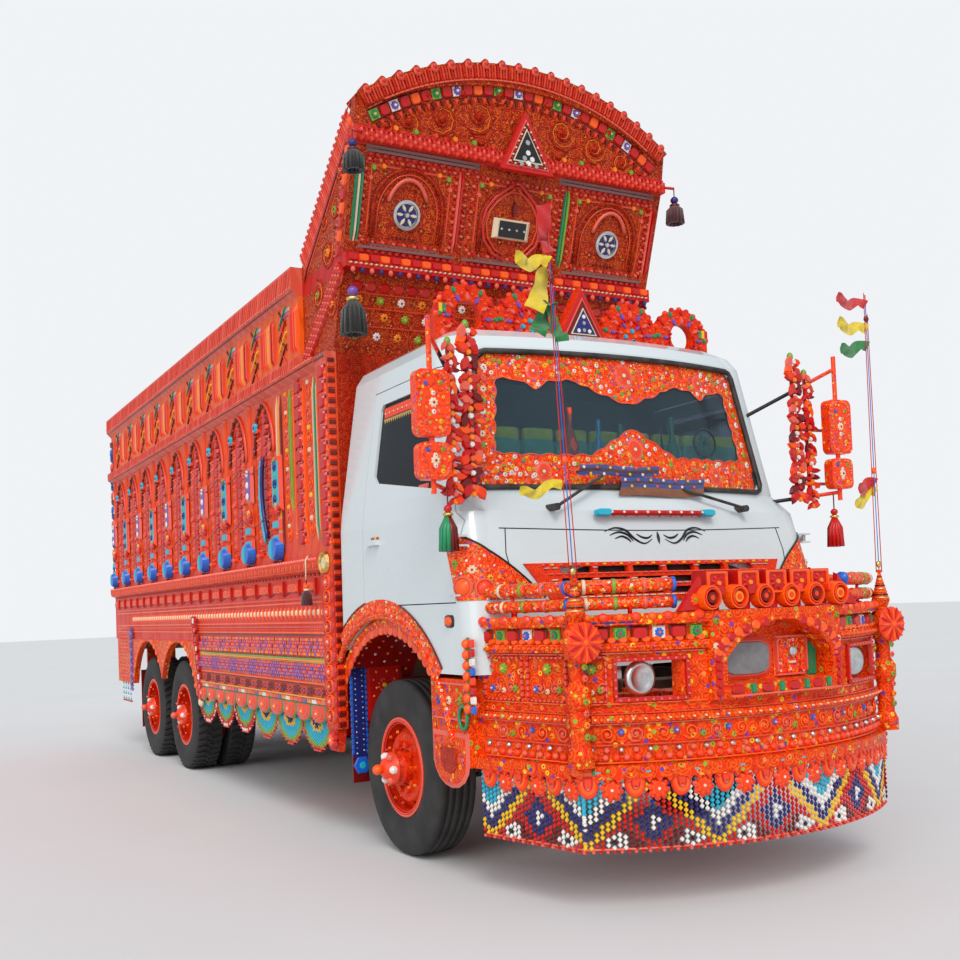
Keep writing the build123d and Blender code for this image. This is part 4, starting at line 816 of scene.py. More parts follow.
def tyre_mesh(relief, centre_x, axle_y, lugs):
    """Tyre with ribs round the tread, or with blocks on its shoulders."""
    sides = 72
    grooves = [] if lugs else [(-0.066, 0.006), (-0.024, 0.006), (0.024, 0.006), (0.066, 0.006)]
    crown = TYRE_RADIUS
    across = [(radius, -half) for radius, half in TYRE_PROFILE]
    tread = [(crown - 0.004, -0.104)]
    for middle, half in grooves:
        tread += [(crown, middle - half - 0.001), (crown - 0.012, middle - half),
                  (crown - 0.012, middle + half), (crown, middle + half + 0.001)]
    if lugs:
        tread = [(crown - 0.016, -0.108), (crown - 0.014, 0.0)]
    tread += [(crown - (0.016 if lugs else 0.004), 0.108 if lugs else 0.104)]
    profile = across + tread + [(radius, half) for radius, half in reversed(TYRE_PROFILE)]
    points = []
    for i in range(sides):
        angle = 2 * pi * i / sides
        points += [(centre_x + x, axle_y + r * sin(angle), TYRE_RADIUS + r * cos(angle)) for r, x in profile]
    n = len(profile)
    faces = [(i * n + k, i * n + (k + 1) % n, ((i + 1) % sides) * n + (k + 1) % n, ((i + 1) % sides) * n + k)
             for i in range(sides) for k in range(n)]
    uv = [(i / sides * 3.3, k * 0.02) for i in range(sides) for k in range(n)]
    relief.add(points, faces, "tyre", uv, smooth=True)
    if not lugs:
        return
    count = 46
    for i in range(count):
        for shoulder in (-1, 1):
            angle = 2 * pi * (i + (0.5 if shoulder > 0 else 0)) / count
            out = Vector((0, sin(angle), cos(angle)))
            round_ = Vector((0, cos(angle), -sin(angle)))
            base = Vector((centre_x + shoulder * 0.07, axle_y, TYRE_RADIUS)) + out * (TYRE_RADIUS - 0.019)
            block = facing(base, Vector((1, 0, 0)) + round_ * 0.35, round_)
            relief.put(lug, block, "tyre", (0.092, 0.044, 0.0175))
            middle = Vector((centre_x + shoulder * 0.012, axle_y, TYRE_RADIUS)) + out * (TYRE_RADIUS - 0.018)
            relief.put(lug, facing(middle, Vector((1, 0, 0)) - round_ * 0.4, round_), "tyre",
                       (0.04, 0.03, 0.0165))


lug = plate([(-0.5, -0.5), (0.5, -0.38), (0.5, 0.38), (-0.5, 0.5)], 0.88)


def tyre_finish():
    """Dusty tyre rubber."""
    shade = Shade("tyre_rubber", rgb(38, 38, 40), 0.75)
    dust = shade.noise(7.0, 6.0).above(0.45, 0.4)
    shade.set("Base Color", shade.mix(dust * 0.28, rgb(24, 25, 29), rgb(96, 92, 86)))
    shade.set("Roughness", dust * 0.15 + 0.68)
    shade.bump(shade.noise(120.0, 3.0), 0.001, 0.6)
    return shade.material


paint["tyre"] = tyre_finish()


def wheel_face(relief, side, face_x, axle_y, dished):
    """Ornament on one rim: painted beads, small flowers, and a hub with glass drops and a ball in front."""
    centre = Vector((side * face_x, axle_y, TYRE_RADIUS))
    sheet = Sheet(facing(centre, (0, side, 0), (0, 0, 1)))
    for radius, thick, material, out in ((0.291, 0.009, "pink", 0.0), (0.276, 0.006, "orange", 0.004),
                                         (0.264, 0.006, "red", -0.004)):
        ring = [sheet.at(x, y, 0, out).translation for x, y in ring_points(48, radius)]
        tube(relief, ring, thick, material, 6, closed=True)
    for count, radius, size in ((12, 0.21, 0.021), (8, 0.165, 0.017)):
        for i, (x, y) in enumerate(ring_points(count, radius, 0.1)):
            depth = abs(dished) * (1 - radius / 0.27)
            tone = ("bright", "rose", "orange", "amber")[i % 4]
            relief.put(blossom, sheet.at(x, y, i, depth - 0.004), tone, (size * 0.5, size * 0.5, 0.012))
    hub = sheet.at(0, 0, 0, max(dished, 0.0) + 0.01)
    relief.put(turned([(0.1, 0), (0.096, 0.02), (0.07, 0.035), (0.06, 0.06), (0.03, 0.075), (0.0, 0.08)], 20),
               hub, "orange", smooth=True)
    for i, (x, y) in enumerate(ring_points(6, 0.078)):
        drop = moved(hub, x, y, 0.03, i)
        relief.put(ball, drop, ("white", "pink")[i % 2], (0.026, 0.026, 0.03))
    relief.put(ball, moved(hub, 0, 0, 0.1), "bright" if dished > 0 else "pink", (0.034,) * 3, True)


def wheels():
    """Worn tyres, one piece a tyre body, and the painted faces that turn with the rims."""
    for side, label in SIDES:
        low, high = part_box("front_tyre_" + label)
        tyre = Relief("tyre_front_" + label, "front_wheel_" + label)
        tyre_mesh(tyre, (low.x + high.x) / 2, FRONT_AXLE_Y, False)
        tyre.piece(replaces=("front_tyre_" + label,))
        for place, axle_y in (("middle", MIDDLE_AXLE_Y), ("rear", REAR_AXLE_Y)):
            node = f"{place}_tyres_{label}"
            low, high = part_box(node)
            tyre = Relief(f"tyre_{place}_{label}", f"{place}_wheel_{label}")
            half = 0.14
            for centre in (low.x + half, high.x - half):
                tyre_mesh(tyre, centre, axle_y, True)
            tyre.piece(replaces=(node,))
        face = Relief("front_rim_ornament_" + label, "front_wheel_" + label)
        wheel_face(face, side, FRONT_RIM_X, FRONT_AXLE_Y, 0.05)
        face.piece()
        for place, axle_y in (("middle", MIDDLE_AXLE_Y), ("rear", REAR_AXLE_Y)):
            face = Relief(f"{place}_rim_ornament_{label}", f"{place}_wheel_{label}")
            wheel_face(face, side, REAR_RIM_X, axle_y, -0.13)
            face.piece()


class Skin:
    """The outside of some nodes, met by rays along one direction; a runs to the right and b up."""

    VIEWS = {"front": ((0, 1, 0), (1, 0, 0)), "rear": ((0, -1, 0), (-1, 0, 0)),
             "left": ((-1, 0, 0), (0, 1, 0)), "right": ((1, 0, 0), (0, -1, 0))}

    def __init__(self, view, *names, level=True):
        points, faces = [], []
        for name in names:
            node, start = nodes[name], len(points)
            points += [node.matrix_world @ vertex.co for vertex in node.data.vertices]
            faces += [tuple(start + i for i in polygon.vertices) for polygon in node.data.polygons]
        self.tree = BVHTree.FromPolygons(points, faces)
        self.inward, self.right = (Vector(v) for v in self.VIEWS[view])
        self.level = level

    def at(self, a, b, turn=0.0, out=0.0):
        start = self.right * a + Vector((0, 0, b)) - self.inward * 9
        spot, normal, _, _ = self.tree.ray_cast(start, self.inward)
        if spot is None:
            return None
        if normal.dot(self.inward) > 0:
            normal = -normal
        if self.level or normal.dot(self.inward) > -0.4:
            normal = -self.inward
        right = self.right - normal * normal.dot(self.right)
        base = facing(spot, right, normal.cross(right))
        return moved(base, 0, 0, out, turn)


def run(relief, skin, points, radius, material, out=0.0, sides=5):
    """Round moulding through points (a, b) of a surface."""
    places = [skin.at(a, b, 0, out) for a, b in points]
    places = [place.translation for place in places if place is not None]
    if len(places) > 1:
        tube(relief, places, radius, material, sides)


def stack(relief, place, *layers):
    """Shapes one over another at one place, each given as (shape, material, width, height, thick)."""
    for shape, material, width, height, thick in layers:
        relief.put(shape, place, material, (width, height, thick))


def strip(relief, skin, a0, b0, a1, b1, pitch, pattern):
    """Row of shapes from one point to another. The pattern lists (shape, material, width, height, thick)."""
    length = hypot(a1 - a0, b1 - b0)
    turn = atan2(b1 - b0, a1 - a0)
    count = max(1, round(length / pitch))
    for i in range(count):
        t = (i + 0.5) / count
        stack(relief, skin.at(a0 + (a1 - a0) * t, b0 + (b1 - b0) * t, turn), *pattern[i % len(pattern)])


def level_strip(relief, skin, half, b, pitch, pattern):
    """Row of shapes at one height, as far to one side of the middle as to the other."""
    strip(relief, skin, -half, b, half, b, pitch, pattern)


def bloom(relief, place, tone, heart, size, thick=0.008):
    """Blossom with a round heart."""
    stack(relief, place, (blossom, tone, size / 2, size / 2, thick),
          (button, heart, size * 0.34, size * 0.34, thick * 1.6))


def sign(relief, sheet, outline, middle, shrink, layers):
    """Triangle made of plates one over another, each smaller about the middle's height."""
    for scale, tone, thick in layers:
        corners = [(x * scale, middle + (z - middle) * scale) for x, z in outline]
        relief.put(plate(corners, shrink), sheet.at(0, 0), tone, (1, 1, thick))


def mosaic(relief, skin, a0, a1, b0, b1, rows, colours, pattern):
    """Small tiles in rows; the pattern gives a colour index for each column and row."""
    size = (b1 - b0) / rows
    count = max(1, round(abs(a1 - a0) / size))
    step = (a1 - a0) / count
    for i in range(count):
        for j in range(rows):
            which = pattern(i, j)
            if which is not None:
                relief.put(tile, skin.at(a0 + step * (i + 0.5), b0 + size * (j + 0.5)), colours[which],
                           (abs(step) * 0.86, size * 0.86, 0.004 + 0.003 * ((i + j) % 2)))


def cross_pattern(i, j):
    """Crosses and lozenges in a band five tiles high, with a separator each eleven tiles."""
    column = i % 11
    if column == 10:
        return 3
    away = abs(column % 5 - 2) + abs(j - 2)
    return (2, 1, 0, 1, 4)[min(away, 4)]


def cornices(relief, skin, side):
    """Two cornices with slanted ribs."""
    for low, high, start, pitch in ((3.755, 3.895, -1.68, 0.052), (3.175, 3.25, -2.22, 0.045)):
        for i, y in enumerate(along(start, WALL_END, pitch)):
            tone = "pink" if i % 9 == 4 else "rose" if i % 4 == 1 else "salmon"
            relief.put(tile, skin.at(side * y, (low + high) / 2, side * 0.42), tone,
                       (0.016, (high - low) * 1.02, 0.007))
        strip(relief, skin, side * start, low + 0.004, side * WALL_END, low + 0.004, 0.05,
              [[(button, "pink", 0.016, 0.016, 0.006)]])
    bar(relief, skin, side * -1.68, 3.737, side * WALL_END, 3.737, 0.012, 0.006, "deep", 0.0)
    # Dark spikes along the lower cornice's serrated edge: painted shadow under the cornice.
    strip(relief, skin, side * -2.22, 3.158, side * WALL_END, 3.158, 0.03,
          [[(pin, "deep", 0.03, 0.035, 0.008)]])


def balusters(relief, skin, side):
    """Balusters and lattice between the cornices."""
    for k in range(-2, 10):
        y = -1.06 + 0.66 * k
        if y > 4.85:
            continue
        for offset, width, tone in ((0.0, 0.07, "amber"), (0.06, 0.03, "bright"), (0.105, 0.03, "orange"),
                                    (-0.06, 0.02, "red"), (0.55, 0.03, "salmon"), (0.18, 0.03, "salmon")):
            relief.put(soft_tile, skin.at(side * (y + offset), 3.485), tone, (width, 0.345, 0.02))
        for n in range(4):
            b = 3.35 + 0.09 * n
            for lean, tone in ((0.7, ("deep", "yellow", "red", "green")[n]),
                               (-0.7, "deep" if n % 2 else "rose")):
                relief.put(tile, skin.at(side * (y + 0.37), b, lean), tone,
                           (0.22, 0.013, 0.01 + 0.003 * (lean > 0)))
        relief.put(tile, skin.at(side * (y + 0.3), 3.66), "silver", (0.16, 0.028, 0.006))
        relief.put(tile, skin.at(side * (y + 0.3), 3.62), "purple", (0.16, 0.012, 0.006))


def arcade_bays(relief, skin, side):
    """Studded middle, two columns and an arch in each bay."""
    flat = side_sheet(side, WALL_X)
    for i in range(ARCADE_BAYS):
        y = ARCADE_START + ARCADE_PITCH * (i + 0.5)
        strip(relief, skin, side * y, 1.93, side * y, 3.02, 0.082, [[
            (tile, "deep", 0.104, 0.098, 0.006), (soft_tile, "red", 0.096, 0.09, 0.022)]])
        for s in (-1, 1):
            strip(relief, skin, side * (y + s * 0.062), 1.93, side * (y + s * 0.062), 3.02, 0.041,
                  [[(tile, "salmon", 0.008, 0.022, 0.026)]])
            column = side * (y + s * 0.125)
            box_on(relief, skin, column, 2.42, 0.088, 1.0, 0.024, "salmon", shape=soft_tile)
            strip(relief, skin, column, 1.95, column, 2.88, 0.036, [
                [(soft_tile, "bright", 0.016, 0.086, 0.029)], [(soft_tile, "red", 0.007, 0.07, 0.031)]])
            for b in (1.93, 2.38, 2.9):
                relief.put(soft_tile, skin.at(column, b), "orange", (0.11, 0.035, 0.036))
        arch = [(side * (y + s * 0.21 * cos(t)), 2.72 + 0.36 * sin(t) ** 1.2)
                for s, angles in ((-1, range(0, 10)), (1, range(9, -1, -1)))
                for t in (k * pi / 18 for k in angles)]
        run(relief, flat, arch, 0.012, "deep", 0.004)
        wide = [((p - side * y) * 1.18 + side * y, 2.7 + (q - 2.72) * 1.1) for p, q in arch]
        run(relief, flat, wide, 0.016, "salmon", 0.004)
        for p, q in arch[::2]:
            relief.put(leaf, flat.at(p, q, side * (p - side * y) * 4, 0.01), "deep", (0.02, 0.03, 0.012))
        relief.put(soft_tile, flat.at(side * (y + 0.16), 2.93, 0, 0.006), "cyan", (0.075, 0.08, 0.02))
        relief.put(button, flat.at(side * (y + 0.16), 2.93, 0, 0.02), "navy", (0.03, 0.03, 0.012))


def arcade_pillars(relief, side):
    """Painted panel, small tiles, flowers and a half dome on each pillar."""
    flat = side_sheet(side, PILLAR_X)
    for i in range(ARCADE_BAYS + 1):
        y = ARCADE_START + ARCADE_PITCH * i
        if i % 2 == 0:
            stack(relief, flat.at(side * y, 2.44, 0, -0.02), (tile, "orange", 0.19, 0.42, 0.026),
                  (tile, "cyan", 0.155, 0.385, 0.032))
            for n in range(3):
                b = 2.32 + 0.12 * n
                scroll(relief, flat, side * y, b, 0.045, n * 1.9, 1, "navy", 0.007, 0.014)
                relief.put(blossom, flat.at(side * y, b + 0.055, n, 0.012), "leaf", (0.018, 0.018, 0.008))
        else:
            stack(relief, flat.at(side * y, 2.5, 0, -0.02), (tile, "pink", 0.15, 0.3, 0.026),
                  (tile, "purple", 0.115, 0.265, 0.032))
            for n in range(3):
                relief.put(blossom, flat.at(side * y, 2.41 + 0.09 * n, n, 0.012), "white",
                           (0.03, 0.03, 0.008))
        for b in (2.03, 2.135):
            stack(relief, flat.at(side * (y + 0.02), b, 0, -0.02), (tile, "orange", 0.165, 0.08, 0.024),
                  (tile, "cyan", 0.14, 0.058, 0.032))
        for n in range(3):
            relief.put(blossom, flat.at(side * y, 2.24 + 0.02 * n, n, -0.005 + 0.004 * n),
                       ("red", "pink", "yellow")[n], (0.05 - 0.014 * n,) * 2 + (0.014,))
        dome_y = y + 0.03
        for s, tone in ((-1, "blue"), (1, "cyan")):
            half = [(0.0, 0.1), (0.0, -0.1)] + [(side * s * 0.1 * sin(t), -0.1 * cos(t))
                                              for t in (pi * k / 10 for k in range(1, 10))]
            if side * s > 0:
                half = half[::-1]
            relief.put(plate(half, 0.7), flat.at(side * dome_y, 1.955, 0, -0.02), tone, (1, 1, 0.06))
        for n in range(5):
            relief.put(stud, flat.at(side * (dome_y - 0.06 + 0.03 * n), 1.862, 0, -0.01), "deep",
                       (0.012, 0.012, 0.02))


def wires(relief, side):
    """Wires with red balls in swags between the pillars, and a curved rod."""
    flat = side_sheet(side, 1.285)
    for level, swing in ((2.62, 0.07), (2.22, 0.09)):
        wire = [(side * (-1.0 + 0.11 * n), level - swing * abs(sin(0.11 * n * pi / ARCADE_PITCH)) + 0.02)
                for n in range(54)]
        run(relief, flat, wire, 0.0035, "deep")
        for p, q in wire[::3]:
            relief.put(ball, flat.at(p, q), "red", (0.012, 0.012, 0.012))
    curve = [(side * (-0.93 + 0.1 * sin(t * 2.6)), 2.05 + 0.62 * t) for t in shares(14)]
    flat = side_sheet(side, 1.272)
    run(relief, flat, curve, 0.016, "navy", 0.0)
    run(relief, flat, [(p + side * 0.03, q - 0.03) for p, q in curve], 0.014, "cyan", 0.004)


def front_strips(relief, skin, side):
    """Flat front panel: strips of rounded squares, green line, amber edge and curls."""
    for y, width, low in ((-2.17, 0.085, 1.9), (-1.6, 0.085, 1.95)):
        box_on(relief, skin, side * y, (low + 3.12) / 2, width + 0.035, 3.12 - low, 0.006, "pink")
        strip(relief, skin, side * y, low, side * y, 3.12, 0.1,
              [[(soft_tile, "red", 0.095, width + 0.02, 0.022)]])
        for s in (-1, 1):
            strip(relief, skin, side * (y + s * 0.062), low, side * (y + s * 0.062), 3.12, 0.05,
                  [[(lozenge, "bright", 0.035, 0.02, 0.012)], [(lozenge, "deep", 0.03, 0.016, 0.012)]])
    for y, tone, width, low in ((-1.93, "green", 0.028, 1.95), (-1.895, "cream", 0.008, 1.95),
                                (-1.965, "cream", 0.008, 1.95), (-1.43, "leaf", 0.022, 2.2),
                                (-1.405, "gold", 0.01, 2.2), (-1.22, "deep", 0.03, 1.9),
                                (-1.17, "amber", 0.045, 1.9), (-1.13, "cream", 0.012, 1.9),
                                (-2.09, "bright", 0.018, 1.9), (-1.7, "bright", 0.016, 1.95),
                                (-1.51, "bright", 0.016, 1.95)):
        box_on(relief, skin, side * y, (low + 3.1) / 2, width, 3.1 - low, 0.014, tone, shape=soft_tile)
    for y, size in ((-2.03, 0.045), (-1.79, 0.07), (-1.33, 0.06), (-1.5, 0.028)):
        for n, b in enumerate(along(1.98, 3.08, size * 2.3)):
            scroll(relief, skin, side * y, b, size, 1.3 * n, 1 if n % 2 else -1, ("bright", "pink")[n % 2],
                   0.0065, 0.003)
            relief.put(blossom, skin.at(side * y, b + size, n), ("cream", "yellow", "pink")[n % 3],
                       (size * 0.3, size * 0.3, 0.012))


def side_ledge(relief, skin, side):
    """Studs and slanted ribs along the ledge."""
    strip(relief, skin, side * -2.02, 1.832, side * WALL_END, 1.832, 0.058,
          [[(stud, "pink", 0.016, 0.016, 0.014)]])
    for i, y in enumerate(along(-2.02, WALL_END, 0.045)):
        relief.put(tile, skin.at(side * y, 1.792, side * 0.3), ("salmon", "bright")[i % 2],
                   (0.018, 0.04, 0.006))


def side_upper(side, label):
    """Cornices, balusters, arcade and the flat front panel above the ledge."""
    skin = Skin(label, "side_wall_" + label)
    relief = Relief("wall_ornament_" + label)
    cornices(relief, skin, side)
    balusters(relief, skin, side)
    arcade_bays(relief, skin, side)
    arcade_pillars(relief, side)
    wires(relief, side)
    front_strips(relief, skin, side)
    side_ledge(relief, skin, side)
    relief.piece()


def skirt_rows(relief, skin, side):
    """Brackets, oval row, mosaic bands and the lines between them."""
    for y in along(SKIRT_FRONT, SKIRT_END, 0.33):
        box_on(relief, skin, side * y, 1.655, 0.022, 0.12, 0.02, "red", shape=soft_tile)
        box_on(relief, skin, side * (y + 0.165), 1.655, 0.2, 0.07, 0.008, "bright", shape=soft_tile)
        box_on(relief, skin, side * (y + 0.165), 1.655, 0.15, 0.04, 0.012, "orange", shape=soft_tile)
        # Dark scalloped line: painted shadow along the scallops' edge.
        run(relief, skin, [(side * (y + 0.33 * t), 1.6 + 0.03 * sin(t * pi)) for t in shares(6)],
            0.007, "deep", 0.002)
    strip(relief, skin, side * SKIRT_FRONT, 1.725, side * SKIRT_END, 1.725, 0.04,
          [[(pin, "deep", 0.036, 0.03, 0.01)], [(pin, "salmon", 0.036, 0.022, 0.01)]])
    for b, tone in ((1.575, "salmon"), (1.545, "bright"), (1.405, "bright"), (1.375, "salmon"),
                    (1.335, "bright")):
        box_on(relief, skin, side * ((SKIRT_FRONT + SKIRT_END) / 2), b, SKIRT_END - SKIRT_FRONT,
               0.014, 0.01, tone)
    strip(relief, skin, side * SKIRT_FRONT, 1.475, side * 4.0, 1.475, 0.088,
          [[(button, "bright", 0.05, 0.088, 0.006), (button, "cream", 0.028, 0.05, 0.016)]])
    strip(relief, skin, side * SKIRT_FRONT, 1.357, side * SKIRT_END, 1.357, 0.05,
          [[(button, "pink", 0.016, 0.016, 0.008)], [(button, "bright", 0.016, 0.016, 0.008)]])
    for low, high, colours in ((1.175, 1.3, ("purple", "bright", "pink", "deep", "amber")),
                               (1.005, 1.125, ("pink", "purple", "red", "blue", "bright")),
                               (0.9, 0.965, ("pink", "deep", "purple", "navy", "bright"))):
        mosaic(relief, skin, side * SKIRT_FRONT, side * SKIRT_BACK, low, high, 5, colours, cross_pattern)
    for b, width, tone in ((1.155, 0.012, "leaf"), (1.14, 0.02, "amber"), (1.318, 0.012, "deep"),
                           (1.168, 0.006, "deep"), (1.132, 0.008, "yellow"), (0.99, 0.014, "bright"),
                           (0.975, 0.008, "deep"), (0.894, 0.008, "yellow")):
        box_on(relief, skin, side * ((SKIRT_FRONT + SKIRT_BACK) / 2), b, SKIRT_BACK - SKIRT_FRONT,
               width, 0.009, tone)
    tones = ("pink", "bright", "white", "amber", "purple", "orange")
    strip(relief, skin, side * SKIRT_FRONT, 0.868, side * SKIRT_BACK, 0.868, 0.09,
          [[(tile, tone, 0.084, 0.036, 0.012)] for tone in tones])


def tongues(relief, side):
    """Tongues on the skirt's lower edge."""
    flat = side_sheet(side, SKIRT_X)
    for y in along(SKIRT_FRONT, SKIRT_BACK + 0.06, 0.3):
        for size, tone, thick in ((1.0, "green", 0.008), (0.93, "orange", 0.014), (0.72, "salmon", 0.018)):
            relief.put(tongue_plate, flat.at(side * y, 0.785), tone, (0.29 * size, 0.13 * size, thick))
        relief.put(blossom, flat.at(side * y, 0.79, 0, 0.016), "bright", (0.04, 0.03, 0.01))
        relief.put(button, flat.at(side * y, 0.79, 0, 0.022), "cream", (0.02, 0.018, 0.01))


def edge_strips(relief, skin, side):
    """Slanted strip before the middle wheel, spiked strip behind the rear wheel."""
    flat = side_sheet(side, SKIRT_X)
    for n in range(9):
        t = n / 8
        place = flat.at(side * (1.11 + 0.16 * (1 - t) ** 1.5), 1.44 - 0.68 * t)
        stack(relief, place, (round_rim if n % 2 else tile_rim, "red", 0.1, 0.085, 0.022),
              (button if n % 2 else soft_tile, ("white", "pink", "red")[n % 3], 0.07, 0.062, 0.02))
        for s in (-1, 1):
            relief.put(pin, moved(place, s * 0.045, 0, 0, s * pi / 2), "red", (0.03, 0.03, 0.01))
    relief.put(ball, flat.at(side * 1.11, 0.7), "cream", (0.045, 0.045, 0.03), True)
    for n in range(16):
        place = flat.at(side * 4.06, 1.36 - 0.045 * n)
        relief.put(tile, place, ("navy", "purple")[n % 2], (0.1, 0.042, 0.012))
        for s in (-1, 1):
            relief.put(pin, moved(place, s * 0.048, 0, 0, s * pi / 2), "purple", (0.04, 0.045, 0.008))
    for n, b in enumerate(along(0.8, 1.42, 0.04)):
        box_on(relief, skin, side * 4.45, b, 0.5, 0.01, 0.008, ("pink", "salmon", "bright")[n % 3])


def opening_scallops(relief, skin, side):
    """Scalloped lining round both wheel openings."""
    radius = 0.765
    for centre in (MIDDLE_AXLE_Y, REAR_AXLE_Y):
        for k in range(-9, 10):
            angle = k * pi / 20
            y, b = centre + radius * sin(angle), 0.495 + radius * cos(angle)
            if b < 1.24 and abs(y - (MIDDLE_AXLE_Y + REAR_AXLE_Y) / 2) > 0.07:
                relief.put(button, skin.at(side * y, b), "bright", (0.05, 0.05, 0.012))


def front_post(relief, side):
    """Discs in pairs, scalloped edges, a small round mirror and the pendant foot."""
    post = side_sheet(side, POST_X)
    y, foot = -2.145, 0.635
    for n, b in enumerate(along(0.74, 1.72, 0.102)):
        stack(relief, post.at(side * y, b), (round_rim, "bright", 0.118, 0.1, 0.012),
              (blossom, ("red", "orange")[n % 2], 0.045, 0.038, 0.016),
              (button, ("yellow", "cream")[n % 2], 0.03, 0.026, 0.02))
        for s in (-1, 1):
            relief.put(button, post.at(side * (y + s * 0.074), b), "red", (0.05, 0.085, 0.01))
    stack(relief, post.at(side * y, foot), (blossom, "red", 0.09, 0.075, 0.014),
          (blossom, "bright", 0.06, 0.05, 0.02), (button, "cream", 0.03, 0.03, 0.022))
    relief.put(round_rim, post.at(side * (y + 0.02), 1.8, 0, 0.004), "gold", (0.15, 0.15, 0.024))
    relief.put(button, post.at(side * (y + 0.02), 1.8), "cream", (0.112, 0.112, 0.018))
    edge = front_sheet(-2.2425)
    for n, b in enumerate(along(0.72, 3.15, 0.034)):
        relief.put(tile, edge.at(side * 1.24, b), ("deep", "salmon", "deep", "orange")[n % 4],
                   (0.052, 0.026, 0.006))


def side_lower(side, label):
    """The skirt's rows and tongues, the strips round the twin wheels and the front post."""
    skin = Skin(label, "side_wall_" + label, "skirt_" + label)
    relief = Relief("skirt_ornament_" + label)
    skirt_rows(relief, skin, side)
    tongues(relief, side)
    edge_strips(relief, skin, side)
    opening_scallops(relief, skin, side)
    front_post(relief, side)
    relief.piece()


def tassel_on(relief, top, length, radius, tones, cap="purple", band="gold"):
    """Bundle of yarn below a knob, hanging from a thread."""
    head = Matrix.Translation(Vector(top))
    tube(relief, [Vector(top), Vector(top) - Vector((0, 0, length * 0.3))], 0.004, "deep", 4)
    start = moved(head, 0, 0, -length * 0.34)
    relief.put(ball, start, cap, (radius * 0.55,) * 2 + (radius * 0.5,), True)
    relief.put(ball, moved(start, 0, 0, -radius * 0.7), band, (radius * 0.7,) * 2 + (radius * 0.3,), True)
    for i in range(12):
        angle = 2 * pi * i / 12
        foot = start @ Vector((radius * cos(angle), radius * sin(angle), -length * 0.64))
        knee = start @ Vector((radius * 0.8 * cos(angle), radius * 0.8 * sin(angle), -length * 0.3))
        tube(relief, [start @ Vector((0, 0, -radius * 0.6)), knee, foot],
             [radius * 0.25, radius * 0.36, radius * 0.3], tones[i * len(tones) // 12], 5)


def side_chains():
    """Chain fringe in deep swags under the tongues of the skirts, with a bead hem."""
    relief = Relief("side_chain_fringes")
    low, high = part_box("side_fringes")
    swag = (high.y - low.y) / 6
    step, rise = 0.0215, 0.021
    for side in (1, -1):
        flat = side_sheet(side, WALL_X)
        for n, y in enumerate(along(low.y + 0.01, high.y - 0.01, step)):
            share = ((y - low.y) / swag) % 1.0
            depth = 0.055 + 0.165 * sin(pi * share) ** 0.7
            for row in range(int(depth / rise)):
                ring = hypot((share - 0.5) * swag * 0.75, 0.02 + rise * row) / 0.034
                tone = ("white", "navy", "yellow", "cyan", "cyan", "leaf", "red",
                        "white")[int(ring + (y > low.y + 3 * swag)) % 8]
                relief.put(lozenge, flat.at(side * y, 0.738 - rise * row - 0.5 * rise * (n % 2)), tone,
                           (step * 0.94, rise * 1.25, 0.008))
            relief.put(bead, flat.at(side * y, 0.738 - rise * int(depth / rise), 0.7), ("pink", "red")[n % 2],
                       (0.008, 0.008, 0.011))
        for y in along(4.2, 4.72, 0.13):
            for row in range(7):
                relief.put(lozenge, flat.at(side * y, 0.735 - 0.03 * row), ("cyan", "white")[row % 2],
                           (0.06, 0.034, 0.01))
            relief.put(bead, flat.at(side * y, 0.53), "pink", (0.012, 0.012, 0.016))
    relief.piece(replaces=("side_fringes",))


def ribbon(relief, skin, lower, upper, material, out=0.004):
    """Thin film on a surface between two rows of points (a, b), left out where there is no surface."""
    rows = [[skin.at(p, q, 0, out) for p, q in row] for row in (lower, upper)]
    for i in range(len(lower) - 1):
        places = [rows[0][i], rows[0][i + 1], rows[1][i + 1], rows[1][i]]
        if None in places:
            continue
        marks = [lower[i], lower[i + 1], upper[i + 1], upper[i]]
        relief.add([list(place.translation) for place in places], [(0, 1, 2, 3)], material, marks)


def crown_border(relief, skin):
    """Ribbed cresting and the arc of painted squares."""
    radius, centre = 2.23, 2.835

    def arc(r, angle):
        return r * sin(angle), centre + r * cos(angle)

    half = 0.576
    for i in range(116):
        angle = -half + 2 * half * (i + 0.5) / 116
        p, q = arc(radius - 0.055, angle)
        relief.put(tile, skin.at(p, q, -angle), ("salmon", "rose", "salmon", "red")[i % 4],
                   (0.012, 0.085, 0.01))
    for i in range(20):
        p, q = arc(radius - 0.008, half * ((2 * i + 1) / 20 - 1))
        relief.put(stud, skin.at(p, q), "rose", (0.02, 0.02, 0.02), True)
        relief.put(button, skin.at(*arc(radius - 0.016, half * ((2 * i + 1) / 20 - 1))), "salmon",
                   (0.06, 0.06, 0.008))
    cycle = (("green", "yellow"), None, ("purple", "white"), None, ("bright", None), None)
    for i in range(30):
        angle = -half * 0.985 + 2 * half * 0.985 * (i + 0.5) / 30
        place = skin.at(*arc(2.075, angle), -angle)
        tones = cycle[i % 6]
        relief.put(tile, place, "deep", (0.084, 0.084, 0.006))
        if tones is None:
            relief.put(soft_tile, place, "red", (0.078, 0.074, 0.018))
        elif tones[1] is None:
            relief.put(soft_tile, place, "bright", (0.074, 0.074, 0.018))
        else:
            stack(relief, place, (tile, "leaf" if tones[0] == "green" else "white", 0.076, 0.076, 0.01),
                  (blossom, tones[0], 0.034, 0.034, 0.018), (button, tones[1], 0.024, 0.024, 0.024))
    for i in range(64):
        angle = -half * 0.97 + 2 * half * 0.97 * (i + 0.5) / 64
        relief.put(pin, skin.at(*arc(2.028, angle), -angle), ("deep", "salmon")[i % 2], (0.034, 0.05, 0.01))
        relief.put(tile, skin.at(*arc(2.124, angle), -angle), "pink", (0.036, 0.01, 0.012))


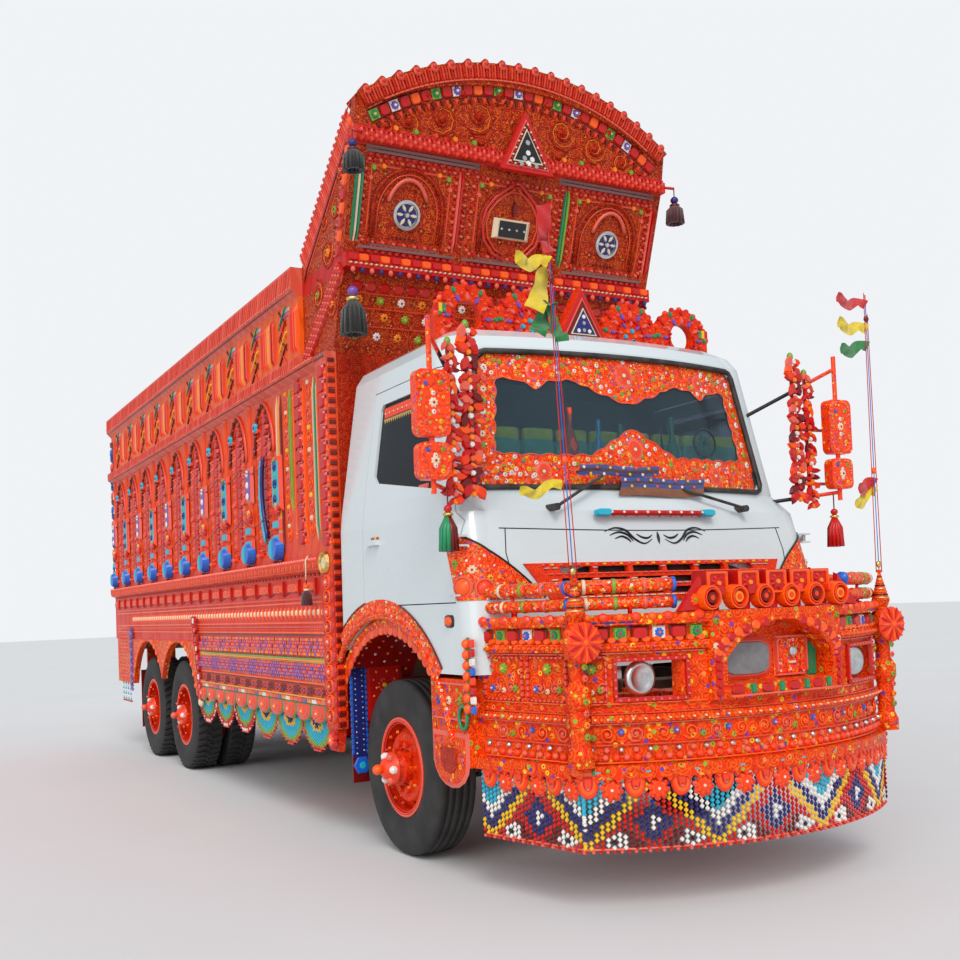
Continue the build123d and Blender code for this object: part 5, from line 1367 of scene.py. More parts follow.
def tympanum(relief, skin):
    """Curls in pairs and pale flowers."""
    for p, q, size in ((0.33, 4.72, 0.13), (0.6, 4.66, 0.12), (0.84, 4.6, 0.1), (0.46, 4.84, 0.07),
                       (0.72, 4.78, 0.06), (0.18, 4.88, 0.07), (1.0, 4.55, 0.06), (0.3, 4.56, 0.05),
                       (0.56, 4.53, 0.04)):
        for s in (-1, 1):
            here = Sheet(skin.at(s * p, q))
            if here.base is not None:
                scroll(relief, here, 0, 0, size, 0.7 * s, s, "engraved", 0.016)
                scroll(relief, here, 0, 0, size * 0.82, 0.7 * s + 0.4, s, "amber", 0.004, 0.004)
                relief.put(blossom, here.base, "engraved", (size * 0.28, size * 0.28, 0.016))
    for i, x in enumerate(along(-1.0, 1.0, 0.14)):
        relief.put(blossom, skin.at(x, 4.545, i), ("amber", "leaf", "salmon")[i % 3], (0.022, 0.022, 0.014))


def crown_sign(relief):
    """Triangle over the ledge."""
    flat = front_sheet(-2.775)
    outline = [(-0.215, 4.37), (0.215, 4.37), (0.0, 4.8)]
    middle = 4.513
    plates = ((1.0, "red", 0.03), (0.8, "pink", 0.034), (0.74, "deep", 0.036), (0.56, "cream", 0.04),
              (0.5, "black", 0.042))
    sign(relief, flat, outline, middle, 0.97, plates)
    inner = [(x * 0.68, middle + (z - middle) * 0.68) for x, z in outline]
    for start, end in zip(inner, inner[1:] + inner[:1]):
        strip(relief, flat, *start, *end, 0.028, [[(button, "red", 0.02, 0.02, 0.046)],
                                                  [(button, "cream", 0.016, 0.016, 0.046)]])
    for x, z, n in ((-0.06, 4.42, 0), (0.0, 4.43, 1), (0.06, 4.42, 2), (0.0, 4.5, 3), (-0.03, 4.46, 4),
                    (0.03, 4.46, 5), (0.0, 4.57, 6)):
        relief.put(blossom, flat.at(x, z, n), ("silver", "white")[n % 2], (0.026, 0.026, 0.046))


def crown_ledge(relief, skin):
    """Scallops and dashes."""
    for b, tones in ((4.49, ("pink", "rose")), (4.465, ("rose", "pink")), (4.44, ("salmon", "red"))):
        level_strip(relief, skin, CROWN_HALF, b, 0.034,
                    [[(leaf, tone, 0.028, 0.026, 0.014)] for tone in tones])
    level_strip(relief, skin, CROWN_HALF, 4.505, 0.045, [[(button, "red", 0.04, 0.03, 0.012)]])


def crown_panels(relief, skin):
    """Ledges, frames and arches of the three panels."""
    for low, spans in ((4.395, ((-1.12, -0.3), (0.34, 1.15))),
                       (3.835, ((-1.12, -0.42), (-0.36, 0.36), (0.45, 1.15)))):
        for x0, x1 in spans:
            for k, b in enumerate((low, low + 0.022)):
                box_on(relief, skin, (x0 + x1) / 2, b, x1 - x0, 0.02, 0.016 - 0.006 * k, "mauve")
            strip(relief, skin, x0, low - 0.022, x1, low - 0.022, 0.05,
                  [[(button, "red", 0.04, 0.03, 0.012)]])
    for x, half_width in ((-0.79, 0.325), (0.0, 0.33), (0.79, 0.325)):
        low, high = 3.875, 4.345
        for edge in rectangle(x - half_width, low, x + half_width, high):
            strip(relief, skin, *edge, 0.038,
                  [[(button, "pink", 0.024, 0.024, 0.014)], [(button, "red", 0.03, 0.03, 0.012)]])
        inset = half_width - 0.04
        for edge in rectangle(x - inset, low + 0.03, x + inset, high - 0.03)[1:]:
            bar(relief, skin, *edge, 0.012, 0.008, "salmon")
        points = [(x + 0.25 * cos(t), 4.1 + 0.22 * sin(t) ** 1.15) for t in (k * pi / 18 for k in range(19))]
        for foot, scale, rise, radius, tone, out in ((0.25, 1.0, 0.0, 0.013, "engraved", 0.006),
                                                     (0.262, 1.05, 0.012, 0.004, "deep", 0.004),
                                                     (0.215, 0.86, -0.03, 0.006, "salmon", 0.006)):
            arch = [((p - x) * scale + x, q + rise) for p, q in points]
            run(relief, skin, [(x + foot, 3.9)] + arch + [(x - foot, 3.9)], radius, tone, out)
        for s in (-1, 1):
            for n, (p, q) in enumerate(((0.27, 4.3), (0.2, 4.315), (0.285, 4.24))):
                relief.put(blossom, skin.at(x + s * p, q, n), ("leaf", "amber", "pink")[n],
                           (0.02, 0.02, 0.014))


def crown_discs(relief, skin):
    """Navy disc with petals in each outer panel."""
    for x in (-0.8, 0.8):
        swoosh = [(x + 0.15 * cos(t), 4.05 + 0.21 * sin(t)) for t in (0.5 + k * 2.3 / 12 for k in range(13))]
        run(relief, skin, swoosh, 0.014, "pink", 0.018)
        place = skin.at(x, 4.055)
        relief.put(turned([(0.098, 0), (0.096, 0.02), (0.078, 0.026), (0.076, 0.012), (0.0, 0.012)], 28),
                   place, "silver")
        relief.put(turned([(0.072, 0.013), (0.07, 0.017), (0.0, 0.017)], 24), place, "navy")
        for n, (p, q) in enumerate(ring_points(6, 0.044)):
            relief.put(leaf, moved(place, p, q, 0.016, n * pi / 3 + 1.57), "cream", (0.03, 0.036, 0.01))
        relief.put(blossom, moved(place, 0, 0, 0.018), "silver", (0.02, 0.02, 0.012))
        strip(relief, skin, x - 0.09, 3.915, x + 0.09, 3.915, 0.03,
              [[(lozenge, "deep", 0.026, 0.022, 0.012)]])


def crown_key(relief, skin):
    """Keyhole outline and plate of the middle panel."""
    half_key = [(0.05, 3.87), (0.13, 3.9), (0.21, 3.98), (0.235, 4.08), (0.215, 4.17), (0.16, 4.24),
                (0.08, 4.3), (0.0, 4.36)]
    key = half_key + [(-p, q) for p, q in half_key[::-1]]
    middle = 4.09
    for scale, tone, thick in ((1.0, "rose", 0.013), (0.86, "salmon", 0.007)):
        run(relief, skin, [(p * scale, middle + (q - middle) * scale) for p, q in key], thick, tone, 0.008)
    for scale, tone, thick in ((1.0, "cream", 0.022), (0.86, "black", 0.028)):
        relief.put(tile, skin.at(0.0, 4.06), tone, (0.29 * scale, 0.135 * scale ** 0.5, thick))
    level_strip(relief, skin, 0.12, 4.06, 0.06, [[(lozenge, "silver", 0.036, 0.03, 0.034)]])
    relief.put(leaf, skin.at(0.0, 4.2), "deep", (0.05, 0.07, 0.02))


def crown_posts(relief, skin):
    """Upright lines and leaves between the panels."""
    for x, tone in ((-1.175, "green"), (-1.135, "green"), (0.4, "green"), (0.425, "leaf"), (-1.155, "cream"),
                    (1.175, "red"), (1.145, "pink"), (-0.42, "red"), (-0.44, "pink")):
        box_on(relief, skin, x, 4.11, 0.018, 0.54, 0.016, tone, shape=soft_tile)
    for x in (-0.39, 0.365, 1.13):
        strip(relief, skin, x, 3.86, x, 4.37, 0.032, [[(leaf, "red", 0.026, 0.024, 0.016)],
                                                      [(leaf, "pink", 0.026, 0.02, 0.014)]])


def crown_beam(relief, skin):
    """Beam and the row of beads under it."""
    level_strip(relief, skin, CROWN_HALF, 3.755, 0.075,
                [[(soft_tile, "red", 0.07, 0.05, 0.014)], [(soft_tile, "bright", 0.07, 0.05, 0.014)]])
    level_strip(relief, skin, CROWN_HALF, 3.715, 0.036, [[(lozenge, "cream", 0.03, 0.016, 0.012)]])
    under = front_sheet(-2.5)
    level_strip(relief, under, CROWN_HALF, 3.672, 0.066,
                [[(ball, "pink", 0.017, 0.02, 0.017)], [(ball, "navy", 0.017, 0.02, 0.017)]])


def crown_foot(relief, skin):
    """Wall under the crown."""
    for i, x in enumerate(along(-1.15, 1.15, 0.1)):
        relief.put(button, skin.at(x, 3.6), ("red", "rose")[i % 2], (0.09, 0.07, 0.014))
    for j, b in enumerate((3.3, 3.42, 3.52)):
        for i, x in enumerate(along(-1.15, 1.15, 0.155)):
            tones = (("leaf", "yellow"), ("white", "red"), ("amber", "deep"))[(i + j) % 3]
            bloom(relief, skin.at(x + 0.04 * (j % 2), b), tones[0], tones[1], 0.06)
    for b in (3.36, 3.47, 3.56):
        bar(relief, skin, -CROWN_HALF, b, CROWN_HALF, b, 0.008, 0.006, "salmon")


def crown_ornament():
    """Cresting, border arc, tympanum, ledge, three arched panels and the rows below them."""
    skin = Skin("front", "crown", level=False)
    relief = Relief("crown_ornament")
    crown_border(relief, skin)
    tympanum(relief, skin)
    crown_sign(relief)
    for part in (crown_ledge, crown_panels, crown_discs, crown_key, crown_posts, crown_beam, crown_foot):
        part(relief, skin)
    relief.piece()


def crown_sides():
    """Squares on the crown's edge, the slanted band, the knobbed beam and curls."""
    sides = Relief("crown_side_ornament")
    for side, label in SIDES:
        skin = Skin(label, "crown")
        edge = ((-2.42, 3.78), (-2.66, 4.44), (-2.71, 4.68))
        for (y0, z0), (y1, z1) in zip(edge, edge[1:]):
            strip(sides, skin, side * (y0 + 0.05), z0, side * (y1 + 0.05), z1, 0.085,
                  [[(soft_tile, "red", 0.078, 0.06, 0.014)], [(soft_tile, "bright", 0.078, 0.06, 0.014)]])
            strip(sides, skin, side * (y0 + 0.1), z0, side * (y1 + 0.1), z1, 0.04,
                  [[(button, "pink", 0.02, 0.02, 0.012)]])
        face = side_sheet(side, 1.2165)
        for width, tone, thick, drop in ((0.2, "salmon", 0.008, 0.1), (0.014, "deep", 0.012, 0.205),
                                         (0.012, "rose", 0.012, 0.015), (0.01, "rose", 0.012, 0.19),
                                         (0.01, "pink", 0.012, 0.16)):
            bar(sides, face, side * -2.655, 4.7 - drop, side * -1.74, 3.99 - drop, width, thick, tone)
        for n, t in enumerate(along(0.02, 0.98, 0.022)):
            place = face.at(side * (-2.655 + 0.915 * t), 4.6 - 0.71 * t, side * -0.66)
            sides.put(tile, place, ("rose", "salmon", "pink", "salmon")[n % 4], (0.008, 0.17, 0.014))
            if n % 2:
                sides.put(stud, moved(place, 0, 0.09, 0.004), "rose", (0.016, 0.016, 0.012), True)
        # Knobbed beam from the crown's foot down to the wall's lower cornice
        for n, t in enumerate(along(0.0, 1.0, 0.035)):
            place = face.at(side * (-2.42 + 0.68 * t), 3.7 - 0.48 * t, side * -0.62)
            sides.put(tile, place, ("red", "rose")[n % 2], (0.034, 0.11, 0.016))
            for k in (-1, 0, 1):
                sides.put(stud, moved(place, 0, 0.036 * k, 0.014), ("pink", "rose")[(n + k) % 2],
                          (0.013, 0.013, 0.012), True)
        for n, (y, z, size) in enumerate(((-2.36, 4.1, 0.12), (-2.2, 3.86, 0.12), (-2.46, 4.32, 0.09),
                                          (-2.0, 3.62, 0.12), (-2.25, 3.5, 0.11), (-1.95, 3.38, 0.1),
                                          (-2.38, 3.66, 0.09), (-2.15, 4.08, 0.07))):
            here = Sheet(skin.at(side * y, z))
            if here.base is not None:
                flip = 1 if n % 2 else -1
                scroll(sides, here, 0, 0, size, n, flip, "engraved", 0.012)
                scroll(sides, here, 0, 0, size * 0.8, n + 0.5, flip, "amber", 0.004, 0.003)
                sides.put(blossom, here.base, ("leaf", "amber", "pink")[n % 3],
                          (size * 0.25, size * 0.25, 0.014))
    sides.piece()


def crest_ornament():
    """Half rounds with rings of dots and leaves, the leafy band and the triangle on the cab's roof."""
    skin = Skin("front", "roof_crest")
    relief = Relief("roof_crest_ornament")
    centre_z = 3.165
    rings = ((13, 0.19, leaf, ("green", "red"), (0.04, 0.03, 0.012)),
             (30, 0.163, button, ("pink",), (0.014, 0.014, 0.01)),
             (13, 0.133, leaf, ("purple", "pink"), (0.036, 0.036, 0.014)),
             (24, 0.104, button, ("red",), (0.022, 0.022, 0.014)),
             (9, 0.078, leaf, ("pink", "purple"), (0.03, 0.028, 0.014)),
             (6, 0.038, blossom, ("bright", "cyan"), (0.018, 0.018, 0.012)))
    for centre_x in (-0.805, -0.385, 0.385, 0.805):
        open_middle = abs(centre_x) > 0.6
        for count, radius, shape, tones, size in rings:
            if open_middle and radius < 0.1:
                continue
            for i, (p, q) in enumerate(ring_points(count, radius, 0.1)):
                if centre_z + q > 3.12:
                    angle = atan2(q, p)
                    relief.put(shape, skin.at(centre_x + p, centre_z + q, angle + pi / 2),
                               tones[i % len(tones)], size)
        for i in range(11):
            angle = pi * (i + 0.5) / 11
            place = Matrix.Translation((centre_x + 0.217 * cos(angle), -3.325,
                                        centre_z + 0.217 * sin(angle)))
            relief.put(ball, place, ("red", "orange")[i % 2], (0.02, 0.018, 0.02))
    large_leaf = [(leaf, "red", 0.05, 0.036, 0.014)]
    pink_leaf, green_leaf, purple_leaf = ([(leaf, tone, 0.044, 0.034, 0.012)]
                                          for tone in ("pink", "green", "purple"))
    level_strip(relief, skin, 1.0, 3.085, 0.052,
                [pink_leaf, large_leaf, green_leaf, large_leaf, purple_leaf])
    level_strip(relief, skin, 1.0, 3.135, 0.034, [[(button, "pink", 0.014, 0.014, 0.012)],
                                                  [(button, "red", 0.024, 0.024, 0.012)]])
    flat = front_sheet(-3.361)
    outline = [(-0.2, 3.075), (0.2, 3.075), (0.0, 3.43)]
    plates = ((1.0, "red", 0.008), (0.78, "pink", 0.012), (0.72, "deep", 0.014), (0.5, "cream", 0.018),
              (0.44, "navy", 0.02))
    sign(relief, flat, outline, 3.193, 0.96, plates)
    for n, (x, z) in enumerate(((-0.04, 3.16), (0.0, 3.165), (0.04, 3.16), (0.0, 3.21), (0.0, 3.25))):
        relief.put(blossom, flat.at(x, z, n), ("white", "silver")[n % 2], (0.018, 0.018, 0.024))
    for s in (-1, 1):
        for n, tone in enumerate(("green", "yellow", "red")):
            relief.put(tile, front_sheet(-3.345).at(s * (0.96 + 0.025 * n), 3.225), tone,
                       (0.025, 0.055, 0.004))
        relief.put(ball, Matrix.Translation((s * 1.01, -3.33, 3.19)), "orange", (0.026,) * 3, True)
        relief.put(ball, Matrix.Translation((s * 0.98, -3.33, 3.285)), "bright", (0.02,) * 3, True)
        tube(relief, [(s * 0.985, -3.33, 3.15), (s * 0.985, -3.33, 3.29)], 0.005, "red", 5)
    relief.piece()


def screen_ornament():
    """Painted film on the windscreen: pendant top band, side strips and a band below with a peak."""
    skin = Skin("front", "windscreen", level=False)
    relief = Relief("windscreen_film")

    def edge(b):
        return 1.045 - (b - 2.103) * 0.147

    def top(x):
        return 2.897 - max(0.0, abs(x) - 0.87) * 0.95

    def bottom(x):
        return 2.13 + max(0.0, abs(x) - 0.98) * 1.1

    def hang(x):
        u = abs(x)
        drop = 0.135 + 0.018 * abs(sin(u * 24)) + 0.055 * max(0.0, 1 - abs(u - 0.6) / 0.11)
        return top(x) - drop - 0.13 * max(0.0, 1 - u / 0.34) ** 0.8

    def rise(x):
        u = abs(x)
        return (2.13 + 0.17 + 0.014 * abs(sin(u * 30)) + 0.17 * max(0.0, 1 - u / 0.3)
                + 0.1 * max(0.0, u - 0.75))

    xs = [-0.93 + 1.86 * i / 120 for i in range(121)]
    ribbon(relief, skin, [(x, hang(x)) for x in xs], [(x, top(x)) for x in xs], "floral", 0.003)
    xs = [-1.0 + 2.0 * i / 120 for i in range(121)]
    ribbon(relief, skin, [(x, bottom(x)) for x in xs], [(x, rise(x)) for x in xs], "floral", 0.003)
    heights = [2.26 + 0.56 * i / 40 for i in range(41)]
    for s in (-1, 1):
        inner = [(s * (edge(b) - 0.115 - 0.015 * abs(sin(b * 30))), b) for b in heights]
        outer = [(s * (edge(b) - 0.006), b) for b in heights]
        ribbon(relief, skin, inner if s < 0 else outer, outer if s < 0 else inner, "floral", 0.0035)
        run(relief, skin, inner, 0.003, "pink", 0.005)
        for i, b in enumerate(along(2.2, 2.85, 0.062)):
            bloom(relief, skin.at(s * (edge(b) - 0.055), b, i, 0.004),
                  ("pink", "white", "leaf", "cream")[i % 4], "red", 0.042, 0.004)
    xs = [-0.9 + 1.8 * i / 90 for i in range(91)]
    run(relief, skin, [(x, hang(x)) for x in xs], 0.0035, "pink", 0.005)
    run(relief, skin, [(x, rise(x)) for x in xs], 0.0035, "pink", 0.005)
    luck_here = random.Random(3)
    for i in range(210):
        x = luck_here.uniform(-0.9, 0.9)
        upper = i % 2 == 0
        low, high = (hang(x) + 0.016, top(x) - 0.012) if upper else (bottom(x) + 0.012, rise(x) - 0.016)
        place = skin.at(x, luck_here.uniform(low, high), luck_here.uniform(0, 6), 0.004)
        tone = luck_here.choice(("white", "amber", "leaf", "yellow", "pink", "bright"))
        stack(relief, place, (blossom, tone, 0.015, 0.015, 0.004), (button, "red", 0.012, 0.012, 0.005))
    for x, b, size in ((0, 2.8, 0.1), (0, 2.35, 0.09), (0.6, 2.8, 0.07), (-0.6, 2.8, 0.07),
                       (0.62, 2.21, 0.08), (-0.62, 2.21, 0.08)):
        for scale, tone, thick in ((1.3, "pink", 0.003), (1.2, "orange", 0.004)):
            relief.put(button, skin.at(x, b, 0, 0.003), tone, (size * scale, size * scale * 1.2, thick))
        bloom(relief, skin.at(x, b, 0, 0.004), "salmon", "cream", size * 0.9, 0.006)
    for b in (2.15, 2.165):
        level_strip(relief, skin, 0.95, b, 0.05, [[(blossom, "pink", 0.012, 0.012, 0.004)],
                                                  [(lozenge, "yellow", 0.016, 0.012, 0.005)]])
    relief.piece()


def window_seals():
    """Black seal round the windscreen."""
    seals = Relief("window_seals")
    body = Skin("front", "cab_shell", "windscreen", level=False)
    corners = [(-0.985, 2.12), (0.985, 2.12), (1.022, 2.134), (1.04, 2.172), (0.937, 2.862), (0.915, 2.898),
               (0.875, 2.911), (-0.875, 2.911), (-0.915, 2.898), (-0.937, 2.862), (-1.04, 2.172),
               (-1.022, 2.134)]
    outline = []
    for (x0, z0), (x1, z1) in zip(corners, corners[1:] + corners[:1]):
        steps = max(1, round(hypot(x1 - x0, z1 - z0) / 0.1))
        outline += [(x0 + (x1 - x0) * k / steps, z0 + (z1 - z0) * k / steps) for k in range(steps)]
    run(seals, body, outline + outline[:1], 0.017, seal_black, 0.002, 6)
    seals.piece()


def door_window(side, label):
    """Curtain band and sill of one door's window, on the door so that they swing with it."""
    node = "door_glass_" + label
    skin = Skin(label, node)
    low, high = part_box(node)
    relief = Relief("door_window_trim_" + label, "door_" + label)

    def inside(y, z):
        return skin.at(side * y, z) is not None

    columns = along(low.y + 0.03, high.y - 0.03, 0.03)
    for y in columns:
        top = next((z for z in (high.z - 0.03 - 0.02 * k for k in range(40)) if inside(y, z)), None)
        if top is None:
            continue
        relief.put(tile, skin.at(side * y, top - 0.03), "orange", (0.031, 0.07, 0.004))
        relief.put(pin, skin.at(side * y, top - 0.062), "gold", (0.03, 0.05, 0.004))
        relief.put(button, skin.at(side * y, top - 0.028), ("white", "leaf")[round(y * 100) % 2],
                   (0.012, 0.012, 0.007))
    strip(relief, skin, side * (low.y + 0.1), low.z + 0.03, side * (high.y - 0.04), low.z + 0.03, 0.04,
          [[(soft_tile, "pink", 0.038, 0.03, 0.008)]])
    door = Skin(label, "door_" + label)
    for n, tone in enumerate(("red", "yellow", "green", "red")):
        relief.put(button, door.at(side * (-2.91 + 0.026 * n), 1.905), tone, (0.022, 0.022, 0.01))
    relief.piece()


def cab_corner(side, z, t, out=0.0):
    """Point on the cab's front corner: t runs from the door's edge at 0 round to the front at 1."""
    k = (z - 1.5) / 0.48
    half, front, shoulder, corner = 1.245 - 0.005 * k, -4.1 + 0.115 * k, -4.04 + 0.13 * k, 0.13 + 0.05 * k
    if t < 0.5:
        angle = t * pi
        x, y = half - corner + corner * cos(angle), shoulder + corner - corner * sin(angle)
        normal = (cos(angle), -sin(angle))
    else:
        x = half - corner - (t - 0.5) * 0.62
        y = front + (shoulder - front) * (x / (half - corner)) ** 2
        normal = (0.06, -1.0)
    spot = Vector((side * (x + out * normal[0]), y + out * normal[1], z))
    return spot, Vector((side * normal[0], normal[1], 0))


def corner_panel(relief, side):
    """Painted fin round the cab's front corner, tall at the door and low on the front, with round lamps."""
    steps, rows = 18, 8

    def high(t):
        return 1.508 + 0.365 * (1 - t ** 1.8)

    points, marks = [], []
    for i in range(steps + 1):
        t = i / steps
        for j in range(rows + 1):
            z = 1.505 + (high(t) - 1.505) * j / rows
            points.append(list(cab_corner(side, z, t, 0.005)[0]))
            marks.append((0.36 * t, z))
    faces = grid_faces(steps, rows)
    if side > 0:
        faces = [face[::-1] for face in faces]
    relief.add(points, faces, "floral", marks)
    tube(relief, [cab_corner(side, high(t), t, 0.006)[0] for t in shares(20)], 0.006, "black", 6)
    for t, z, size, tone in ((0.16, 1.575, 0.05, "bright"), (0.42, 1.565, 0.045, "orange"),
                             (0.1, 1.7, 0.03, "leaf"), (0.3, 1.665, 0.034, "cream"),
                             (0.62, 1.54, 0.026, "blue"), (0.06, 1.77, 0.022, "pink"),
                             (0.5, 1.62, 0.024, "yellow"), (0.78, 1.535, 0.02, "cream")):
        spot, normal = cab_corner(side, z, t, 0.005)
        place = facing(spot, Vector((-normal.y, normal.x, 0)), (0, 0, 1))
        if size > 0.04:
            relief.put(stud, place, tone, (size, size, size * 0.6), True)
            relief.put(round_rim, place, "pink", (size * 2.5, size * 2.5, 0.008))
        else:
            bloom(relief, place, tone, "red", size * 1.6, 0.006)


def cab_ornament():
    """Corner panels, seams, flourish, handle bar and grille lines on the cab's front."""
    front = Skin("front", "cab_shell", "grille", level=False)
    relief = Relief("cab_front_trim")
    for s in (-1, 1):
        corner_panel(relief, s)
    for points in ([(-1.0 + 2.0 * t, 1.885 - 0.02 * sin(pi * t)) for t in shares(24)],
                   [(0.965, 1.88), (0.985, 1.75), (0.97, 1.62), (0.93, 1.52)],
                   [(-0.965, 1.88), (-0.985, 1.75), (-0.97, 1.62), (-0.93, 1.52)]):
        run(relief, front, points, 0.0035, "black", 0.0)
    flourish(relief, front)
    handle_bar(relief, front)
    grille_lines(relief, front)
    relief.piece()


def flourish(relief, front):
    """Curved brush strokes, thick in the middle, to both sides of a small leaf."""
    strokes = ([(0.36, 1.86), (0.29, 1.88), (0.22, 1.866), (0.165, 1.815), (0.105, 1.79), (0.045, 1.815)],
               [(0.33, 1.838), (0.27, 1.856), (0.215, 1.842), (0.178, 1.804)],
               [(0.3, 1.818), (0.255, 1.832), (0.215, 1.818), (0.195, 1.798)],
               [(0.15, 1.845), (0.115, 1.826), (0.075, 1.822), (0.04, 1.84)])
    for s in (-1, 1):
        for stroke in strokes:
            points = []
            for i in range(len(stroke) - 1):
                before, after = stroke[max(i - 1, 0)], stroke[min(i + 2, len(stroke) - 1)]
                for t in (0.0, 0.2, 0.4, 0.6, 0.8):
                    points.append(tuple(0.5 * (2 * p + (q - a) * t + (2 * a - 5 * p + 4 * q - b) * t * t +
                                               (3 * p - a - 3 * q + b) * t ** 3)
                                        for a, p, q, b in zip(before, stroke[i], stroke[i + 1], after)))
            points.append(stroke[-1])
            last = len(points) - 1
            run(relief, front, [(s * p, q) for p, q in points],
                [0.0015 + 0.0055 * sin(pi * (0.04 + 0.92 * i / last)) for i in range(last + 1)],
                "black", 0.001)
    relief.put(leaf, front.at(0.0, 1.832, 0, 0.001), "black", (0.03, 0.05, 0.004))


def handle_bar(relief, front):
    """Red bar with studs, held by a cyan block at each end."""
    bar_points = [(-0.36 + 0.72 * t, 1.955) for t in shares(10)]
    run(relief, front, bar_points, 0.016, "red", 0.035, 8)
    level_strip(relief, front, 0.34, 1.955, 0.04, [[(button, "white", 0.02, 0.02, 0.056)],
                                                   [(button, "red", 0.02, 0.02, 0.054)]])
    for s in (-1, 1):
        place = front.at(s * 0.37, 1.955, 0, 0.03)
        relief.put(soft_tile, place, "cyan", (0.11, 0.042, 0.03))
        relief.put(soft_tile, front.at(s * 0.34, 1.955), "black", (0.02, 0.02, 0.03))


def grille_lines(relief, front):
    """Thin studded lines across the grille and a row of dots along its top."""
    grille_low, grille_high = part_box("grille")
    for n in range(6):
        b = grille_low.z + 0.03 + n * (grille_high.z - grille_low.z - 0.06) / 5
        reach = 0.8 * (0.88 + 0.12 * n / 5)
        level_strip(relief, front, reach, b, 0.05,
                    [[(soft_tile, ("cream", "pink", "silver")[n % 3], 0.04, 0.007, 0.008)]])
    for i, x in enumerate(along(-0.82, 0.82, 0.055)):
        relief.put(button, front.at(x, grille_high.z - 0.012), ("pink", "yellow")[i % 2], (0.02, 0.016, 0.01))


def cab_sides():
    """Marker lamps, and the lip and painted band round the front arches."""
    marks = Relief("cab_side_trim")
    lip_radius = 0.93
    for side, label in SIDES:
        skin = Skin(label, "cab_shell")
        marks.put(soft_tile, skin.at(side * -3.81, 1.4), "black", (0.11, 0.07, 0.008))
        marks.put(stud, skin.at(side * -3.81, 1.4, 0, 0.004), "bright", (0.042, 0.028, 0.02), True)
        lip = [(side * 1.243, FRONT_AXLE_Y + lip_radius * sin(k * pi / 48),
                ARCH_Z + lip_radius * cos(k * pi / 48)) for k in range(-20, 21)]
        tube(marks, lip, 0.021, "floral", 8)
        # Painted band round the wheel arch, with a line and two rows of dots
        for k in range(-17, 18):
            angle = k * pi / 40
            for radius, shape, tones, size in ((0.985, tile, ("floral",), (0.078, 0.09, 0.006)),
                                               (1.03, tile, ("deep",), (0.08, 0.008, 0.01)),
                                               (1.005, button, ("yellow", "pink", "leaf"),
                                                (0.022, 0.022, 0.01)),
                                               (0.965, button, ("bright", "orange"), (0.06, 0.034, 0.012))):
                y, b = FRONT_AXLE_Y + radius * sin(angle), ARCH_Z + radius * cos(angle)
                marks.put(shape, skin.at(side * y, b, side * -angle), tones[k % len(tones)], size)
    marks.piece()


def mirror_ornament():
    """Shells of the mirrors, their glass, and the leafy columns and tassels beside them."""
    relief = Relief("mirror_ornament")
    front, back = Skin("front", "mirrors", level=False), Skin("rear", "mirrors")
    for s in (-1, 1):
        for low, high, half in ((2.34, 2.68, 0.095), (2.12, 2.31, 0.09)):
            middle = (low + high) / 2
            for k in range(26):
                angle = 2 * pi * k / 26
                x = s * MIRROR_X + (half - 0.016) * soft(cos(angle))
                z = middle + ((high - low) / 2 - 0.016) * soft(sin(angle))
                relief.put(stud, front.at(x, z), ("bright", "pink")[k % 2], (0.01, 0.01, 0.008))
            for n, (dx, dz) in enumerate(((0, 0), (0.045, 0.3), (-0.045, -0.3), (-0.04, 0.28), (0.04, -0.28),
                                          (0, 0.14), (0, -0.14))):
                size = 0.034 if n == 0 else 0.018
                bloom(relief, front.at(s * MIRROR_X + dx, middle + dz * (high - low)),
                      ("cream", "leaf", "pink", "blue", "yellow", "white", "white")[n], "red",
                      size * 1.6, 0.005)
            relief.put(soft_tile, back.at(-s * MIRROR_X, middle), "silver",
                       (half * 1.7, (high - low) * 0.86, 0.003))
        column = front_sheet(-3.965)
        for x, low, high, spread in ((1.27, 2.06, 2.84, 1.0), (1.16, 2.1, 2.94, 1.5)):
            tube(relief, [(s * x, -3.95, low), (s * x, -3.95, high)], 0.012, "red", 6)
            wind = random.Random(round(100 * x))
            for n, z in enumerate(along(low - 0.06, high, 0.038)):
                for turn in (-0.9, 0.9):
                    sideways = 0.03 * turn * spread * wind.uniform(0.4, 1.1)
                    place = column.at(s * x + sideways, z + wind.uniform(-0.02, 0.02),
                                      turn + wind.uniform(-0.9, 0.9), 0.01 * wind.uniform(0, 1))
                    tone = wind.choice(("red", "bright", "rose", "orange", "red", "deep", "pink"))
                    relief.put(leaf, place, tone, (0.055 * spread * wind.uniform(0.6, 1.1),
                                                   0.055 * wind.uniform(0.7, 1.2), 0.016))
                relief.put(blossom, column.at(s * x, z, n, 0.012), ("amber", "pink", "red", "white")[n % 4],
                           (0.018, 0.018, 0.012))
            relief.put(ball, Matrix.Translation((s * x, -3.95, high + 0.02)), "leaf",
                       (0.02, 0.02, 0.03), True)
        for z in (2.16, 2.5):
            tube(relief, [(s * 1.16, -3.95, z), (s * 1.4, -3.97, z)], 0.01, "red", 6)
        tassel_on(relief, (s * 1.36, -4.06, 2.09), 0.34, 0.042,
                  ("deep", "green", "green", "deep") if s < 0 else ("deep", "red"), "red")
    relief.piece()


